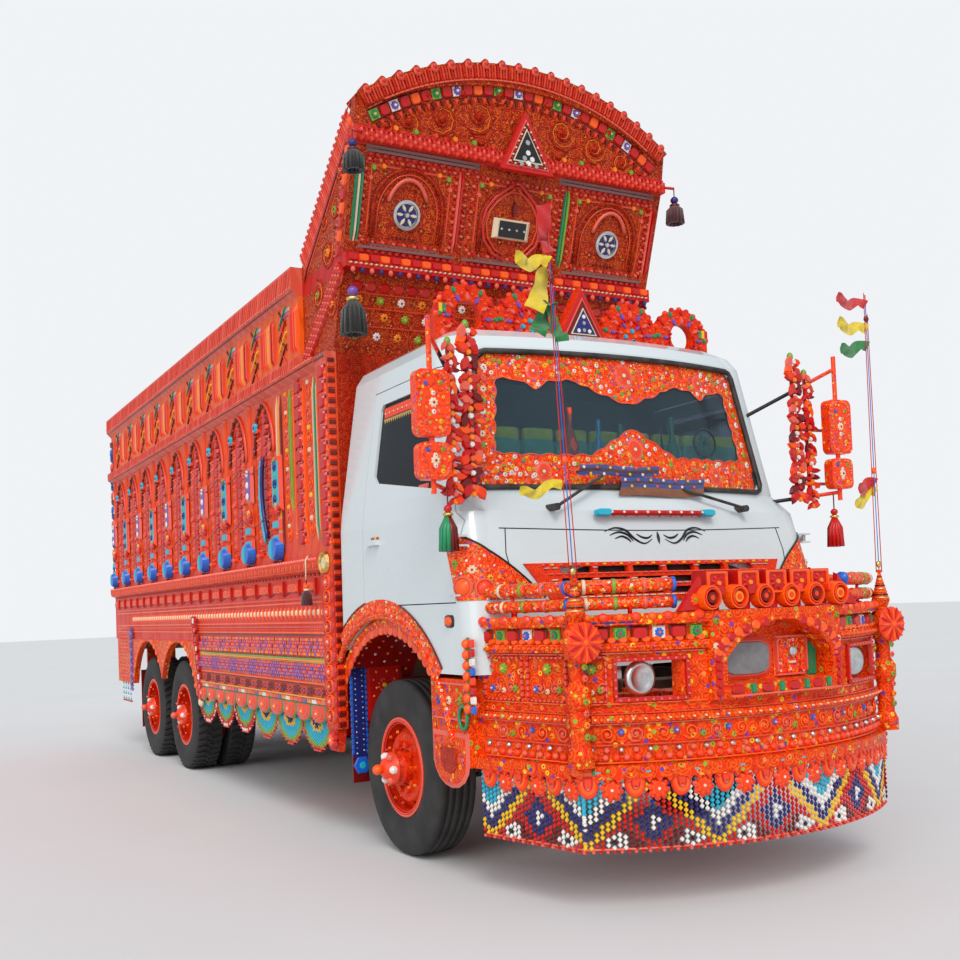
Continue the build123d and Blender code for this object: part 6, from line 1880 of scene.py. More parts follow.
class Bow:
    """The apron's front and sides: a runs along its plan from the middle, b is the height."""

    RADIUS, CENTRE_Y, CORNER = 1.804, -3.196, (1.04, -4.67)
    ARC = 1.108
    ALONG = (0.175 / 0.731, 0.71 / 0.731)

    def __init__(self, inset):
        self.inset = inset

    def at(self, a, b, turn=0.0, out=0.0):
        s, side = abs(a), 1 if a >= 0 else -1
        if s <= self.ARC:
            angle = s / self.RADIUS
            x, y = self.RADIUS * sin(angle), self.CENTRE_Y - self.RADIUS * cos(angle)
            normal = (sin(angle), -cos(angle))
        else:
            more = s - self.ARC
            x, y = self.CORNER[0] + more * self.ALONG[0], self.CORNER[1] + more * self.ALONG[1]
            normal = (self.ALONG[1], -self.ALONG[0])
        normal = Vector((side * normal[0], normal[1], 0))
        spot = Vector((side * x, y, b)) - normal * self.inset
        right = Vector((-normal.y, normal.x, 0))
        return moved(facing(spot, right, (0, 0, 1)), 0, 0, out, turn)


NICHE_EDGE, APRON_END, FRINGE_END, LAMP_GAP = 0.44, 1.8, 1.82, (0.55, 0.92)


def apron_spans(low, high):
    """Stretches of the apron's plan that are solid between two heights."""
    inner = NICHE_EDGE if high > 0.99 else 0.0
    pieces = []
    for s in (-1, 1):
        if 1.01 < high and low < 1.19:
            pieces += [(s * inner, s * LAMP_GAP[0]), (s * LAMP_GAP[1], s * APRON_END)]
        else:
            pieces.append((s * inner, s * APRON_END))
    return [(min(p), max(p)) for p in pieces]


APRON_WALL, APRON_LEDGE, APRON_LIP = Bow(0.045), Bow(0.022), Bow(0.016)


def apron_row(relief, skin, b, pitch, pattern):
    """Strip along the apron at one height, left out where the apron is open."""
    for a0, a1 in apron_spans(b - 0.02, b + 0.02):
        strip(relief, skin, a0 + 0.01, b, a1 - 0.01, b, pitch, pattern)


def apron_foot(relief):
    """Lozenges in green between orange scallops on the bottom ledge, then dots, studs and lines."""
    apron_row(relief, APRON_LIP, 0.672, 0.115,
              [[(soft_tile, "green", 0.066, 0.028, 0.014), (soft_tile, "cyan", 0.03, 0.01, 0.016)],
               [(button, "bright", 0.085, 0.05, 0.014), (button, "pink", 0.02, 0.014, 0.016)]])
    apron_row(relief, APRON_LIP, 0.645, 0.05, [[(pin, "orange", 0.05, 0.03, 0.012)]])
    apron_row(relief, APRON_WALL, 0.735, 0.052, [[(stud, "orange", 0.021, 0.021, 0.02)],
                                                 [(stud, "pink", 0.017, 0.017, 0.018)]])
    apron_row(relief, APRON_WALL, 0.772, 0.07, [[(stud, "silver", 0.015, 0.015, 0.018)],
                                                [(blossom, "pink", 0.016, 0.016, 0.014)]])
    for b, tone in ((0.795, "salmon"), (0.712, "bright"), (0.893, "pink"), (0.942, "salmon"), (1.226, "pink"),
                    (0.988, "bright")):
        apron_row(relief, APRON_WALL, b, 0.13, [[(tile, tone, 0.128, 0.007, 0.01)]])


def apron_curls(relief):
    """Curls and flowers of the lower panel."""
    for n, a in enumerate(along(-1.72, 1.72, 0.135)):
        flip = 1 if n % 2 else -1
        scroll(relief, APRON_WALL, a, 0.845, 0.042, 0.8 * flip, flip,
               "pink" if n % 3 == 0 else "bright", 0.006, 0.003)
        tones = (("leaf", "red"), ("blue", "pink"), ("amber", "red"), ("purple", "cream"))[n % 4]
        bloom(relief, APRON_WALL.at(a + 0.066, 0.842 + 0.012 * flip), tones[0], tones[1], 0.036, 0.008)


def apron_panels(relief):
    """Knobbed ledges and the framed middle panels."""
    apron_row(relief, APRON_LEDGE, 0.917, 0.03, [[(button, "bright", 0.02, 0.02, 0.01)],
                                                 [(button, "cream", 0.012, 0.012, 0.01)]])
    apron_row(relief, APRON_LEDGE, 1.255, 0.032, [[(lozenge, "bright", 0.03, 0.024, 0.01)],
                                                  [(lozenge, "pink", 0.02, 0.016, 0.01)]])
    for s in (-1, 1):
        for a0, a1 in ((0.96, 1.1), (1.2, 1.46), (1.5, 1.77)):
            for edge in rectangle(s * a0, 1.0, s * a1, 1.21):
                bar(relief, APRON_WALL, *edge, 0.01, 0.012, "pink")
                strip(relief, APRON_WALL, *edge, 0.03, [[(button, "red", 0.014, 0.014, 0.016)]])
            middle = (a0 + a1) / 2
            for n, (da, db) in enumerate(((0, 0.05), (-0.3, -0.05), (0.3, -0.05), (0, -0.06), (0.3, 0.06),
                                          (-0.3, 0.06))):
                size = (0.06, 0.04, 0.04, 0.03, 0.03, 0.03)[n]
                tones = (("leaf", "yellow"), ("blue", "cream"), ("leaf", "red"), ("cream", "red"),
                         ("amber", "red"), ("pink", "red"))[n]
                bloom(relief, APRON_WALL.at(s * middle + da * (a1 - a0), 1.105 + db), *tones, size, 0.01)
            scroll(relief, APRON_WALL, s * middle + 0.05, 1.06, 0.035, 0.5, s, "pink", 0.006, 0.003)
            scroll(relief, APRON_WALL, s * middle - 0.05, 1.06, 0.035, 2.0, -s, "pink", 0.006, 0.003)


def apron_squares(relief):
    """Band of coloured squares with scallops under it."""
    plain = [(tile, "deep", 0.088, 0.068, 0.008), (soft_tile, "red", 0.08, 0.058, 0.018)]
    green, blue = ([(tile, ground, 0.064, 0.064, 0.008), (blossom, flower, 0.028, 0.028, 0.016),
                    (button, heart, 0.018, 0.018, 0.02)]
                   for ground, flower, heart in (("leaf", "green", "red"), ("white", "blue", "pink")))
    apron_row(relief, APRON_WALL, 1.318, 0.094, [plain, green, plain, blue])
    apron_row(relief, APRON_WALL, 1.288, 0.055, [[(button, "bright", 0.05, 0.034, 0.016)]])
    apron_row(relief, APRON_LEDGE, 1.372, 0.09, [[(tile, "navy", 0.088, 0.012, 0.006)]])
    apron_row(relief, APRON_LEDGE, 1.395, 0.078, [[(ball, "orange", 0.03, 0.026, 0.022)],
                                                  [(ball, "bright", 0.024, 0.022, 0.02)]])


def lamp_frames(relief):
    """Headlamps and the frames of their openings."""
    for s in (-1, 1):
        for edge in rectangle(s * 0.555, 1.005, s * 0.915, 1.195):
            bar(relief, APRON_WALL, *edge, 0.022, 0.016, "red")
            strip(relief, APRON_WALL, *edge, 0.04, [[(button, "pink", 0.016, 0.016, 0.022)]])
        lamp = Matrix.Translation((s * 0.71, -4.72, 1.1)) @ Matrix.Rotation(pi / 2, 4, "X")
        relief.put(turned([(0.085, 0), (0.082, 0.03), (0.066, 0.035), (0.055, 0.02), (0.0, 0.028)], 24), lamp,
                   "silver", smooth=True)


def apron_tubes(relief):
    """Two tubes above each end, with collars, on short brackets."""
    for s in (-1, 1):
        for b, a0, a1, r in ((1.545, 0.6, 1.8, 0.033), (1.462, 0.6, 1.78, 0.03)):
            points = [Bow(0.07).at(s * (a0 + (a1 - a0) * k / 16), b).translation for k in range(17)]
            tube(relief, points, r, "floral", 10)
            for k in range(0, 17, 2):
                ring = (points[min(k + 1, 16)] - points[max(k - 1, 0)]).normalized()
                tube(relief, [points[k] - ring * 0.008, points[k] + ring * 0.008], r * 1.12,
                     ("blue", "pink", "leaf", "cream")[k // 2 % 4], 10)
            for k in (3, 13):
                tube(relief, [points[k], (points[k].x, points[k].y, 1.4)], 0.01, "red", 6)
            tube(relief, [points[-1], points[-1] + (points[-1] - points[-2]).normalized() * 0.02],
                 r * 1.3, "white", 10)


def spire_flowers(relief):
    """Disc with leaves and flowers on the spires."""
    disc_z, reach = 1.285, 0.068
    for s in (-1, 1):
        spire = Sheet(facing((s * SPIRE_X, SPIRE_Y - 0.066, 0), (1, 0, 0), (0, 0, 1)))
        relief.put(turned([(0.098, 0), (0.09, 0.012), (0.0, 0.02)], 20), spire.at(0, disc_z), "orange")
        for k in range(16):
            angle = 2 * pi * k / 16
            relief.put(leaf, spire.at(reach * cos(angle), disc_z + reach * sin(angle), angle - pi / 2, 0.01),
                       ("bright", "red")[k % 2], (0.024, 0.055, 0.01))
        relief.put(stud, spire.at(0, disc_z, 0, 0.016), "bright", (0.018, 0.018, 0.012))
        for n, b in enumerate(along(0.82, 1.2, 0.055)):
            bloom(relief, spire.at(0, b, 0, -0.006), ("leaf", "amber", "pink")[n % 3], "red", 0.036, 0.006)
        for n, z in enumerate(along(1.425, 1.56, 0.017)):
            width = 0.04 * (1.58 - z) / 0.14 + 0.006
            tube(relief, [(s * SPIRE_X, SPIRE_Y, z - 0.004), (s * SPIRE_X, SPIRE_Y, z + 0.004)],
                 max(0.008, width), ("gold", "black", "bright")[n % 3], 10)


def apron_ornament():
    """Rows and panels of the bowed apron, its lamps, tubes and spires."""
    relief = Relief("apron_ornament")
    for part in (apron_foot, apron_curls, apron_panels, apron_squares, lamp_frames, apron_tubes,
                 spire_flowers):
        part(relief)
    relief.piece()


def apron_pendants():
    """Flowers and tongues in turn above the fringe."""
    pendants = Relief("apron_pendants")
    hang = Bow(0.026)
    for n, a in enumerate(along(-APRON_END, APRON_END, 0.112)):
        if n % 2:
            stack(pendants, hang.at(a, 0.588, 0.2), (blossom, "orange", 0.058, 0.062, 0.01),
                  (blossom, "bright", 0.046, 0.05, 0.014), (blossom, "orange", 0.034, 0.04, 0.018),
                  (button, "cream", 0.02, 0.02, 0.02))
            for turn in range(8):
                pendants.put(button, hang.at(a + 0.045 * cos(turn * 0.785),
                                             0.588 + 0.048 * sin(turn * 0.785)), "pink", (0.01, 0.01, 0.018))
        else:
            for scale, tone, thick in ((1.0, "orange", 0.01), (0.82, "bright", 0.014), (0.5, "red", 0.018),
                                       (0.34, "orange", 0.02)):
                pendants.put(tongue_plate, hang.at(a, 0.622), tone, (0.105 * scale, 0.155 * scale, thick))
            pendants.put(blossom, hang.at(a, 0.6, 0, 0.01), "pink", (0.016, 0.016, 0.01))
    pendants.piece()


def fringe_tone(a, b):
    """Colour of one link: yellow zigzag, stripes in its valleys and a diamond under each peak."""
    period = 0.66
    u = ((a + 1.42) / period + 40) % 1.0
    across = min(u, 1 - u)
    over = b - (0.31 + 0.33 * (1 - 2 * across))
    if over > -0.035:
        stripe = int((over + 0.035) / 0.06)
        return ("yellow", "navy", "white", "cyan")[min(3, stripe)]
    diamond = across * period / 0.115 + abs(b - 0.43) / 0.115
    if diamond < 1.3:
        return "white" if diamond < 0.3 else "navy" if diamond < 0.85 else "red"
    side = abs(across - 0.27) * period / 0.07 + abs(b - 0.34) / 0.06
    if side < 1.0:
        return "black" if side < 0.3 else "white"
    return "red" if over > -0.1 else "deep"


def front_chain():
    """Chain fringe of the apron with its bead hem."""
    relief = Relief("front_chain_fringe")
    plane = Bow(0.036)
    step, rise = 0.0275, 0.0245
    columns = int(2 * FRINGE_END / step)
    for i in range(columns):
        a = -FRINGE_END + step * (i + 0.5)
        for j in range(13):
            b = 0.622 - rise * j - 0.5 * rise * (i % 2)
            relief.put(lozenge, plane.at(a, b, 0.0), fringe_tone(a, b), (step * 0.94, rise * 1.25, 0.009))
    for n, a in enumerate(along(-FRINGE_END, FRINGE_END, 0.034)):
        relief.put(bead, plane.at(a, 0.297, 0.7), ("pink", "red")[n % 2], (0.01, 0.01, 0.014))
    tube(relief, [plane.at(a, 0.308).translation for a in along(-FRINGE_END, FRINGE_END, 0.05)],
         0.006, "pink", 5)
    relief.piece(replaces=("front_fringe",))


def niche_arch(relief, skin):
    """Scalloped arch and its side flowers."""
    arch = [(0.375 * cos(t), 1.165 + 0.165 * sin(t)) for t in (k * pi / 20 for k in range(21))]
    for n, (p, q) in enumerate(arch):
        relief.put(button, skin.at(p * 1.06, q + 0.02), ("red", "bright")[n % 2], (0.055, 0.05, 0.01))
        relief.put(blossom, skin.at(p, q + 0.004), "pink", (0.012, 0.012, 0.012))
    for s in (-1, 1):
        strip(relief, skin, s * 0.395, 1.0, s * 0.395, 1.16, 0.04, [[(button, "red", 0.05, 0.04, 0.014)]])
        for n, (x, z) in enumerate(((0.4, 1.36), (0.33, 1.385), (0.405, 1.24))):
            bloom(relief, skin.at(s * x, z), ("leaf", "amber", "cream")[n], "red", 0.036, 0.01)


def niche_panel(relief, skin):
    """Lamp glass, lock panel, green tile and the strip of squares below them."""
    face = front_sheet(-4.832)
    glass_place = face.at(-0.135, 1.165)
    glass = Shade("lamp_glass", rgb(120, 124, 126), 0.18, 0.0, 0.5)
    glass.set("Base Color", glass.mix(glass.noise(24.0, 3.0), rgb(98, 102, 104), rgb(140, 144, 146)))
    glass.bump(glass.noise(120.0), 0.0005)
    stack(relief, glass_place, (soft_tile, "pink", 0.37, 0.215, 0.018),
          (soft_tile, glass.material, 0.345, 0.19, 0.026))
    relief.put(tile, face.at(0.17, 1.165), "floral", (0.22, 0.205, 0.014))
    for edge in rectangle(0.07, 1.07, 0.27, 1.26):
        bar(relief, face, *edge, 0.012, 0.022, "pink")
    relief.put(turned([(0.028, 0), (0.026, 0.03), (0.018, 0.034), (0.0, 0.034)], 18),
               face.at(0.17, 1.185), "silver")
    relief.put(tile, face.at(0.17, 1.13), "cream", (0.05, 0.012, 0.022))
    relief.put(tile, face.at(0.315, 1.14), "green", (0.06, 0.19, 0.012))
    level_strip(relief, skin, 0.34, 1.028, 0.088, [[(soft_tile, "red", 0.075, 0.045, 0.012)],
                                                   [(tile, "green", 0.03, 0.048, 0.012)]])
    box_on(relief, skin, 0.0, 1.0, 0.72, 0.01, 0.01, "pink")


def box_lamps(relief):
    """Faces of the five box lamps."""
    front = Skin("front", "apron_lamps")
    for i in range(5):
        x = -0.34 + 0.17 * i
        relief.put(tile_rim, front.at(x, 1.54), "bright", (0.13, 0.115, 0.01))
        bloom(relief, front.at(x, 1.54), "red", "amber", 0.085, 0.012)
        for s in (-1, 1):
            for t in (-1, 1):
                relief.put(stud, front.at(x + s * 0.05, 1.54 + t * 0.043), "pink", (0.008, 0.008, 0.01))


def lamp_shelf(relief):
    """Shelf of squares, the row of round lamps and a bracket at each end."""
    shelf, bracket = front_sheet(-4.9), front_sheet(-4.885)
    level_strip(relief, shelf, 0.42, 1.505, 0.1, [[(soft_tile, "red", 0.085, 0.05, 0.046)],
                                                  [(soft_tile, "orange", 0.04, 0.05, 0.044)]])
    for n, x in enumerate((-0.425, -0.255, -0.085, 0.085, 0.255, 0.425)):
        place = shelf.at(x, 1.472)
        stack(relief, place, (round_rim, "bright", 0.125, 0.125, 0.056),
              (round_rim, "orange", 0.1, 0.1, 0.062), (button, ("deep", "amber")[n % 2], 0.076, 0.076, 0.054),
              (blossom, "orange", 0.02, 0.02, 0.058))
    for s in (-1, 1):
        corners = [(s * 0.44, 1.41), (s * 0.6, 1.41), (s * 0.45, 1.58)]
        if s < 0:
            corners = corners[::-1]
        relief.put(plate(corners, 0.9), bracket.at(0, 0), "red", (1, 1, 0.025))
        p, q = sum(p for p, _ in corners) / 3, sum(q for _, q in corners) / 3
        relief.put(blossom, bracket.at(p, q, 0, 0.02), "bright", (0.028, 0.034, 0.012))
        relief.put(button, bracket.at(p, q, 0, 0.026), "leaf", (0.02, 0.02, 0.012))


def niche_ornament():
    """The niche's arch and panel, and the lamps above it."""
    skin = Skin("front", "apron_niche")
    relief = Relief("niche_ornament")
    niche_arch(relief, skin)
    niche_panel(relief, skin)
    box_lamps(relief)
    lamp_shelf(relief)
    relief.piece()


def step_box(relief, side, label):
    """Lines, flowers and curls of one step box, and the painted flap over it."""
    skin = Skin(label, "cab_steps")
    for b in (0.665, 0.885, 1.07):
        box_on(relief, skin, side * STEP_Y, b, 0.38, 0.012, 0.01, "pink")
    strip(relief, skin, side * -3.93, 0.68, side * -3.57, 0.68, 0.05,
          [[(button, "bright", 0.036, 0.026, 0.012)]])
    for n, y in enumerate((-3.87, -3.75, -3.63)):
        bloom(relief, skin.at(side * y, 0.98), ("leaf", "cream", "blue")[n], "red", 0.05, 0.01)
        scroll(relief, skin, side * y, 0.93, 0.03, n, 1, "pink", 0.005, 0.002)
    cover = side_sheet(side, 1.225)
    relief.put(tile, cover.at(side * STEP_Y, 0.775), "stamped", (0.36, 0.2, 0.01))
    for scale, tone, thick in ((1.0, "pink", 0.008), (0.94, "stamped", 0.012), (0.5, "engraved", 0.018)):
        relief.put(tongue_plate, cover.at(side * STEP_Y, 0.665, 0, 0.01), tone,
                   (0.42 * scale, 0.3 * scale, thick))


def arch_valance(relief, side):
    """Painted valance inside the wheel arch."""
    inner = side_sheet(side, 1.2)
    radius = 0.885
    for k in range(-14, 15):
        angle = k * pi / 38
        place = inner.at(side * (FRONT_AXLE_Y + radius * sin(angle)), ARCH_Z + radius * cos(angle),
                         -side * angle)
        relief.put(tile, place, "floral", (0.075, 0.07, 0.01))
        relief.put(tongue_plate, moved(place, 0, -0.045, 0.002), ("orange", "bright")[k % 2],
                   (0.07, 0.05, 0.01))
        relief.put(button, moved(place, 0, 0.012, 0.01), ("yellow", "pink")[k % 2], (0.022, 0.022, 0.008))


def arch_lining(relief, side):
    """Studded lining over the wheel."""
    steps, radius = 26, 0.865
    angles = [pi * (0.17 + 0.78 * k / steps) for k in range(steps + 1)]
    arc = [(FRONT_AXLE_Y - radius * cos(t), ARCH_Z + radius * sin(t)) for t in angles]
    shell = [(side * x, y, z) for y, z in arc for x in (0.72, 1.19)]
    faces = [(2 * k, 2 * k + 1, 2 * k + 3, 2 * k + 2) for k in range(steps)]
    relief.add(shell, faces + [face[::-1] for face in faces], "red")
    for k, (y, z) in enumerate(arc[1:-1]):
        inward = (Vector((0, FRONT_AXLE_Y, ARCH_Z)) - Vector((0, y, z))).normalized()
        for n, x in enumerate((0.78, 0.87, 0.96, 1.05, 1.14)):
            place = facing(Vector((side * x, y, z)) + inward * 0.002, (1, 0, 0),
                           inward.cross(Vector((1, 0, 0))))
            relief.put(stud, place, ("pink", "amber", "white")[(k + n) % 3], (0.01, 0.01, 0.008))


def corner_column(relief, side):
    """Column of orange balls on a green strip, and a stack of coloured tiles."""
    edge = side_sheet(side, WALL_X)
    box_on(relief, edge, side * -3.985, 1.115, 0.03, 0.4, 0.012, "green")
    for b in along(0.92, 1.31, 0.06):
        relief.put(ball, edge.at(side * -3.985, b, 0, 0.012), "bright", (0.026, 0.028, 0.022), True)
    for n, b in enumerate(along(0.92, 1.31, 0.05)):
        box_on(relief, edge, side * -4.035, b, 0.045, 0.044, 0.014, ("blue", "white", "red", "orange")[n % 4],
               shape=soft_tile)
    ring = [edge.at(side * -3.93 + 0.045 * cos(t), 0.9 + 0.06 * sin(t), 0, 0.012).translation
            for t in (2 * pi * k / 16 for k in range(16))]
    tube(relief, ring, 0.01, "green", 6, closed=True)


def flaps(relief):
    """Painted faces of both front mudflaps."""
    flap = Skin("front", "mudguards")
    for s in (-1, 1):
        box_on(relief, flap, s * 1.135, 0.87, 0.1, 0.7, 0.006, "navy")
        for n, b in enumerate(along(0.54, 1.2, 0.035)):
            for k in (-1, 1):
                relief.put(button, flap.at(s * 1.135 + 0.024 * k, b + 0.009 * k), ("white", "cyan")[n % 2],
                           (0.012, 0.012, 0.009))
                relief.put(button, flap.at(s * 1.135 + 0.05 * k, b), "blue", (0.022, 0.034, 0.008))
        relief.put(plate(ring_points(6), 0.86), flap.at(s * 1.125, 0.47), "blue", (0.062, 0.062, 0.012))
        relief.put(blossom, flap.at(s * 1.125, 0.47, 0, 0.008), "cyan", (0.03, 0.03, 0.008))
        box_on(relief, flap, s * 0.95, 0.985, 0.25, 0.47, 0.004, "red")
        for n, b in enumerate(along(0.78, 1.2, 0.055)):
            for k in (-1, 0, 1):
                relief.put(stud, flap.at(s * 0.95 + 0.075 * k + 0.02 * (n % 2), b),
                           ("yellow", "bright", "amber")[n % 3], (0.01, 0.01, 0.01))
        bloom(relief, flap.at(s * 0.95, 0.98), "red", "yellow", 0.11, 0.01)
        box_on(relief, flap, s * 0.945, 0.55, 0.26, 0.36, 0.004, "deep")
        strip(relief, flap, s * 0.83, 0.39, s * 1.06, 0.39, 0.03, [[(pin, "red", 0.03, 0.03, 0.008)]])
        back = Skin("rear", "mudguards")
        box_on(relief, back, -s * 0.93, 0.56, 0.44, 0.52, 0.004, seal_black)
        for n, b in enumerate(along(0.36, 0.8, 0.1)):
            relief.put(lozenge, back.at(-s * 0.93, b), ("red", "white")[n % 2], (0.06, 0.06, 0.008))


def steps_and_flaps():
    """Step boxes, linings of the front arches, ball columns and painted mudflaps."""
    relief = Relief("step_and_flap_ornament")
    for side, label in SIDES:
        step_box(relief, side, label)
        arch_valance(relief, side)
        arch_lining(relief, side)
        corner_column(relief, side)
    flaps(relief)
    relief.piece()


def ribbon_flag(name, top, reach, drop, width, tone):
    """Strip of cloth tied to a stay, with waves along its length."""
    steps, rows = 26, 5
    relief = Relief(name)
    line = [Vector((top[0] + reach * t, top[1] + 0.02 * sin(5 * t),
                    top[2] - drop * t ** 1.15 + 0.018 * sin(8 * t))) for t in shares(steps)]
    points = []
    for i, spot in enumerate(line):
        ahead = (line[min(i + 1, steps)] - line[max(i - 1, 0)]).normalized()
        sway = 0.35 * sin(5 * i / steps)
        across = Vector((1.0, sway, 0.1) if abs(drop) > abs(reach) else (0.1, sway, 1.0)).normalized()
        across = (across - ahead * across.dot(ahead)).normalized()
        for j in range(rows):
            w = (j / (rows - 1) - 0.5) * width
            points.append(list(spot + across * w + ahead.cross(across) * 0.006 * sin(1.3 * j + 0.7 * i)))
    relief.add(points, grid_faces(steps, rows - 1), tone, smooth=True)
    made = relief.piece()
    return made


def flags():
    """Ribbons on the stays of both front corners."""
    for name, top, reach, drop, width, tone in (
            ("ribbon_red_top_right", (-1.07, -4.655, 3.15), -0.04, -0.2, 0.07, cloth["red"]),
            ("ribbon_yellow_top_right", (-1.075, -4.655, 3.1), -0.2, 0.02, 0.06, cloth["yellow"]),
            ("ribbon_yellow_high_right", (-1.073, -4.655, 3.06), -0.11, 0.22, 0.1, cloth["yellow"]),
            ("ribbon_green_high_right", (-1.073, -4.655, 2.9), -0.1, 0.17, 0.09, cloth["green"]),
            ("ribbon_green_loose_right", (-1.071, -4.655, 2.9), 0.04, 0.2, 0.07, cloth["green"]),
            ("ribbon_yellow_low_right", (-1.058, -4.665, 2.03), -0.25, 0.05, 0.045, cloth["yellow"]),
            ("pennant_red_high_left", (1.065, -4.655, 3.1), -0.25, 0.0, 0.055, cloth["red"]),
            ("pennant_yellow_high_left", (1.063, -4.655, 2.96), -0.25, 0.0, 0.06, cloth["yellow"]),
            ("pennant_green_high_left", (1.063, -4.655, 2.86), -0.24, 0.05, 0.06, cloth["green"]),
            ("pennant_red_low_left", (1.055, -4.665, 2.08), -0.16, 0.05, 0.055, cloth["red"]),
            ("pennant_yellow_low_left", (1.053, -4.665, 2.03), -0.19, 0.09, 0.055, cloth["yellow"])):
        ribbon_flag(name, top, reach, drop, width, tone)


def yarn(name, colour):
    """Loose woven cloth or yarn of one colour."""
    shade = Shade(name, colour, 0.9)
    u, v = shade.flat()
    thread = (u * 1600.0)._do("SINE") * (v * 900.0)._do("SINE")
    tint = shade.noise(25.0, 4.0)
    shade.set("Base Color", shade.mix(tint.above(0.55, 0.3) * 0.4, colour, tuple(c * 0.45 for c in colour)))
    shade.bump(thread + shade.noise(60.0), 0.0008)
    shade.set("Sheen Weight", 0.4)
    return shade.material


CLOTH_TONES = (("yellow", 240, 210, 30), ("green", 30, 130, 60), ("red", 214, 24, 28), ("maroon", 80, 12, 24),
               ("dark", 24, 26, 22), ("teal", 110, 200, 160), ("lime", 252, 240, 70), ("blue", 40, 70, 150),
               ("brown", 150, 84, 40))
cloth = {name: yarn("cloth_" + name, rgb(*tone)) for name, *tone in CLOTH_TONES}


def tassels():
    """Yarn tassels at the crown's corners, at the ends of its ledge and on the posts."""
    relief = Relief("crown_tassels")
    for s, tone in ((-1, "dark"), (1, "maroon")):
        tassel_on(relief, (s * 1.155, -2.455, 3.688), 0.44, 0.072, (cloth[tone],), "purple", "gold")
    relief.piece(replaces=("tassels",))
    upper = Relief("ledge_tassels")
    for s, tone in ((-1, "dark"), (1, "maroon")):
        tube(upper, [(s * 1.19, -2.775, 4.455), (s * 1.262, -2.785, 4.455)], 0.01, "red", 6)
        tassel_on(upper, (s * 1.262, -2.785, 4.46), 0.27, 0.055, (cloth[tone],), "navy", "deep")
    upper.piece()
    for side, label in SIDES:
        hooks = Relief("post_tassel_" + label)
        y = -1.86
        tube(hooks, [(side * 1.3, y, 1.86), (side * 1.318, y, 1.83), (side * 1.318, y, 1.7)],
             0.006, "cream", 6)
        tassel_on(hooks, (side * 1.318, y, 1.72), 0.2, 0.032, (cloth["maroon"],), "bright", "cream")
        hooks.piece()


def gate_ornament():
    """Framed panels on the tailgate, and rows of squares above and below them."""
    gate = Skin("rear", "tailgate")
    relief = Relief("tailgate_ornament", "tailgate")
    low, high = 1.45, 2.76
    for i in range(4):
        x = -0.81 + 0.54 * i
        for edge in rectangle(x - 0.21, low, x + 0.21, high):
            strip(relief, gate, *edge, 0.055, [[(soft_tile, "red", 0.05, 0.036, 0.012)],
                                               [(soft_tile, "cream", 0.03, 0.02, 0.01)]])
        for n, b in enumerate(along(1.58, 2.64, 0.2)):
            bloom(relief, gate.at(x, b), ("leaf", "blue", "amber", "pink", "purple")[n % 5],
                  "cream", 0.11, 0.012)
            for s in (-1, 1):
                scroll(relief, gate, x + s * 0.12, b, 0.05, 0.5 * s, s, "pink", 0.007, 0.002)
    for b in (1.37, 2.84):
        level_strip(relief, gate, 1.06, b, 0.085, [[(soft_tile, tone, 0.075, 0.06, 0.012)]
                                                   for tone in ("red", "green", "red", "blue")])
    relief.piece()


def rear_ornament():
    """Framed panels on the header, lamps, and squares on the posts."""
    skin = Skin("rear", "rear_frame")
    relief = Relief("rear_frame_ornament")
    for i in range(3):
        x = -0.76 + 0.76 * i
        for edge in rectangle(x - 0.27, 3.08, x + 0.27, 3.68):
            strip(relief, skin, *edge, 0.05, [[(button, "pink", 0.032, 0.032, 0.01)],
                                              [(button, "red", 0.036, 0.036, 0.01)]])
        bloom(relief, skin.at(x, 3.38), ("blue", "leaf", "purple")[i], "cream", 0.22, 0.012)
        for s in (-1, 1):
            for t in (-1, 1):
                scroll(relief, skin, x + s * 0.17, 3.38 + t * 0.15, 0.07, s + t, s, "bright", 0.009, 0.002)
    for s in (-1, 1):
        strip(relief, skin, s * 1.155, 1.35, s * 1.155, 3.8, 0.085, [
            [(soft_tile, tone, 0.07, 0.07, 0.01)] for tone in ("red", "leaf", "red", "blue", "red", "amber")])
        for dx, tone in ((-0.11, "red"), (0.0, "amber"), (0.11, "cream")):
            relief.put(round_rim, skin.at(s * 0.73 + dx, 0.985), "silver", (0.11, 0.11, 0.014))
            relief.put(stud, skin.at(s * 0.73 + dx, 0.985), tone, (0.042, 0.042, 0.03), True)
    for i in range(40):
        x = -1.16 + 2.32 * (i + 0.5) / 40
        b = 3.84 + 0.27 * (1 - (x / 1.2) ** 2)
        relief.put(leaf, skin.at(x, b - 0.035, -0.45 * x), ("deep", "purple")[i % 2], (0.06, 0.05, 0.012))
    relief.piece()


def rear_corners():
    """Leaves up both rear corners."""
    relief = Relief("rear_corner_ornament")
    for side in (1, -1):
        flat = side_sheet(side, 1.252)
        for n, b in enumerate(along(2.0, 3.65, 0.085)):
            relief.put(leaf, flat.at(side * 4.93, b, 0.7 * (-1) ** n),
                       ("navy", "blue", "deep", "pink")[n % 4], (0.09, 0.08, 0.02))
        relief.put(blossom, flat.at(side * 4.93, 1.98), "silver", (0.045, 0.045, 0.02))
    relief.piece()


def seats():
    """Cushions with soft edges in place of the plain blocks of the seats and the bench."""
    for name, node, material in (("seat_covers", "cab_seats", paint["cab_seats"]),
                                 ("bench_cover", "sleeper_bench", cloth["green"])):
        relief = Relief(name)
        for low, high in solids(node):
            cushion(relief, low, high, material)
        made = relief.piece(replaces=(node,))


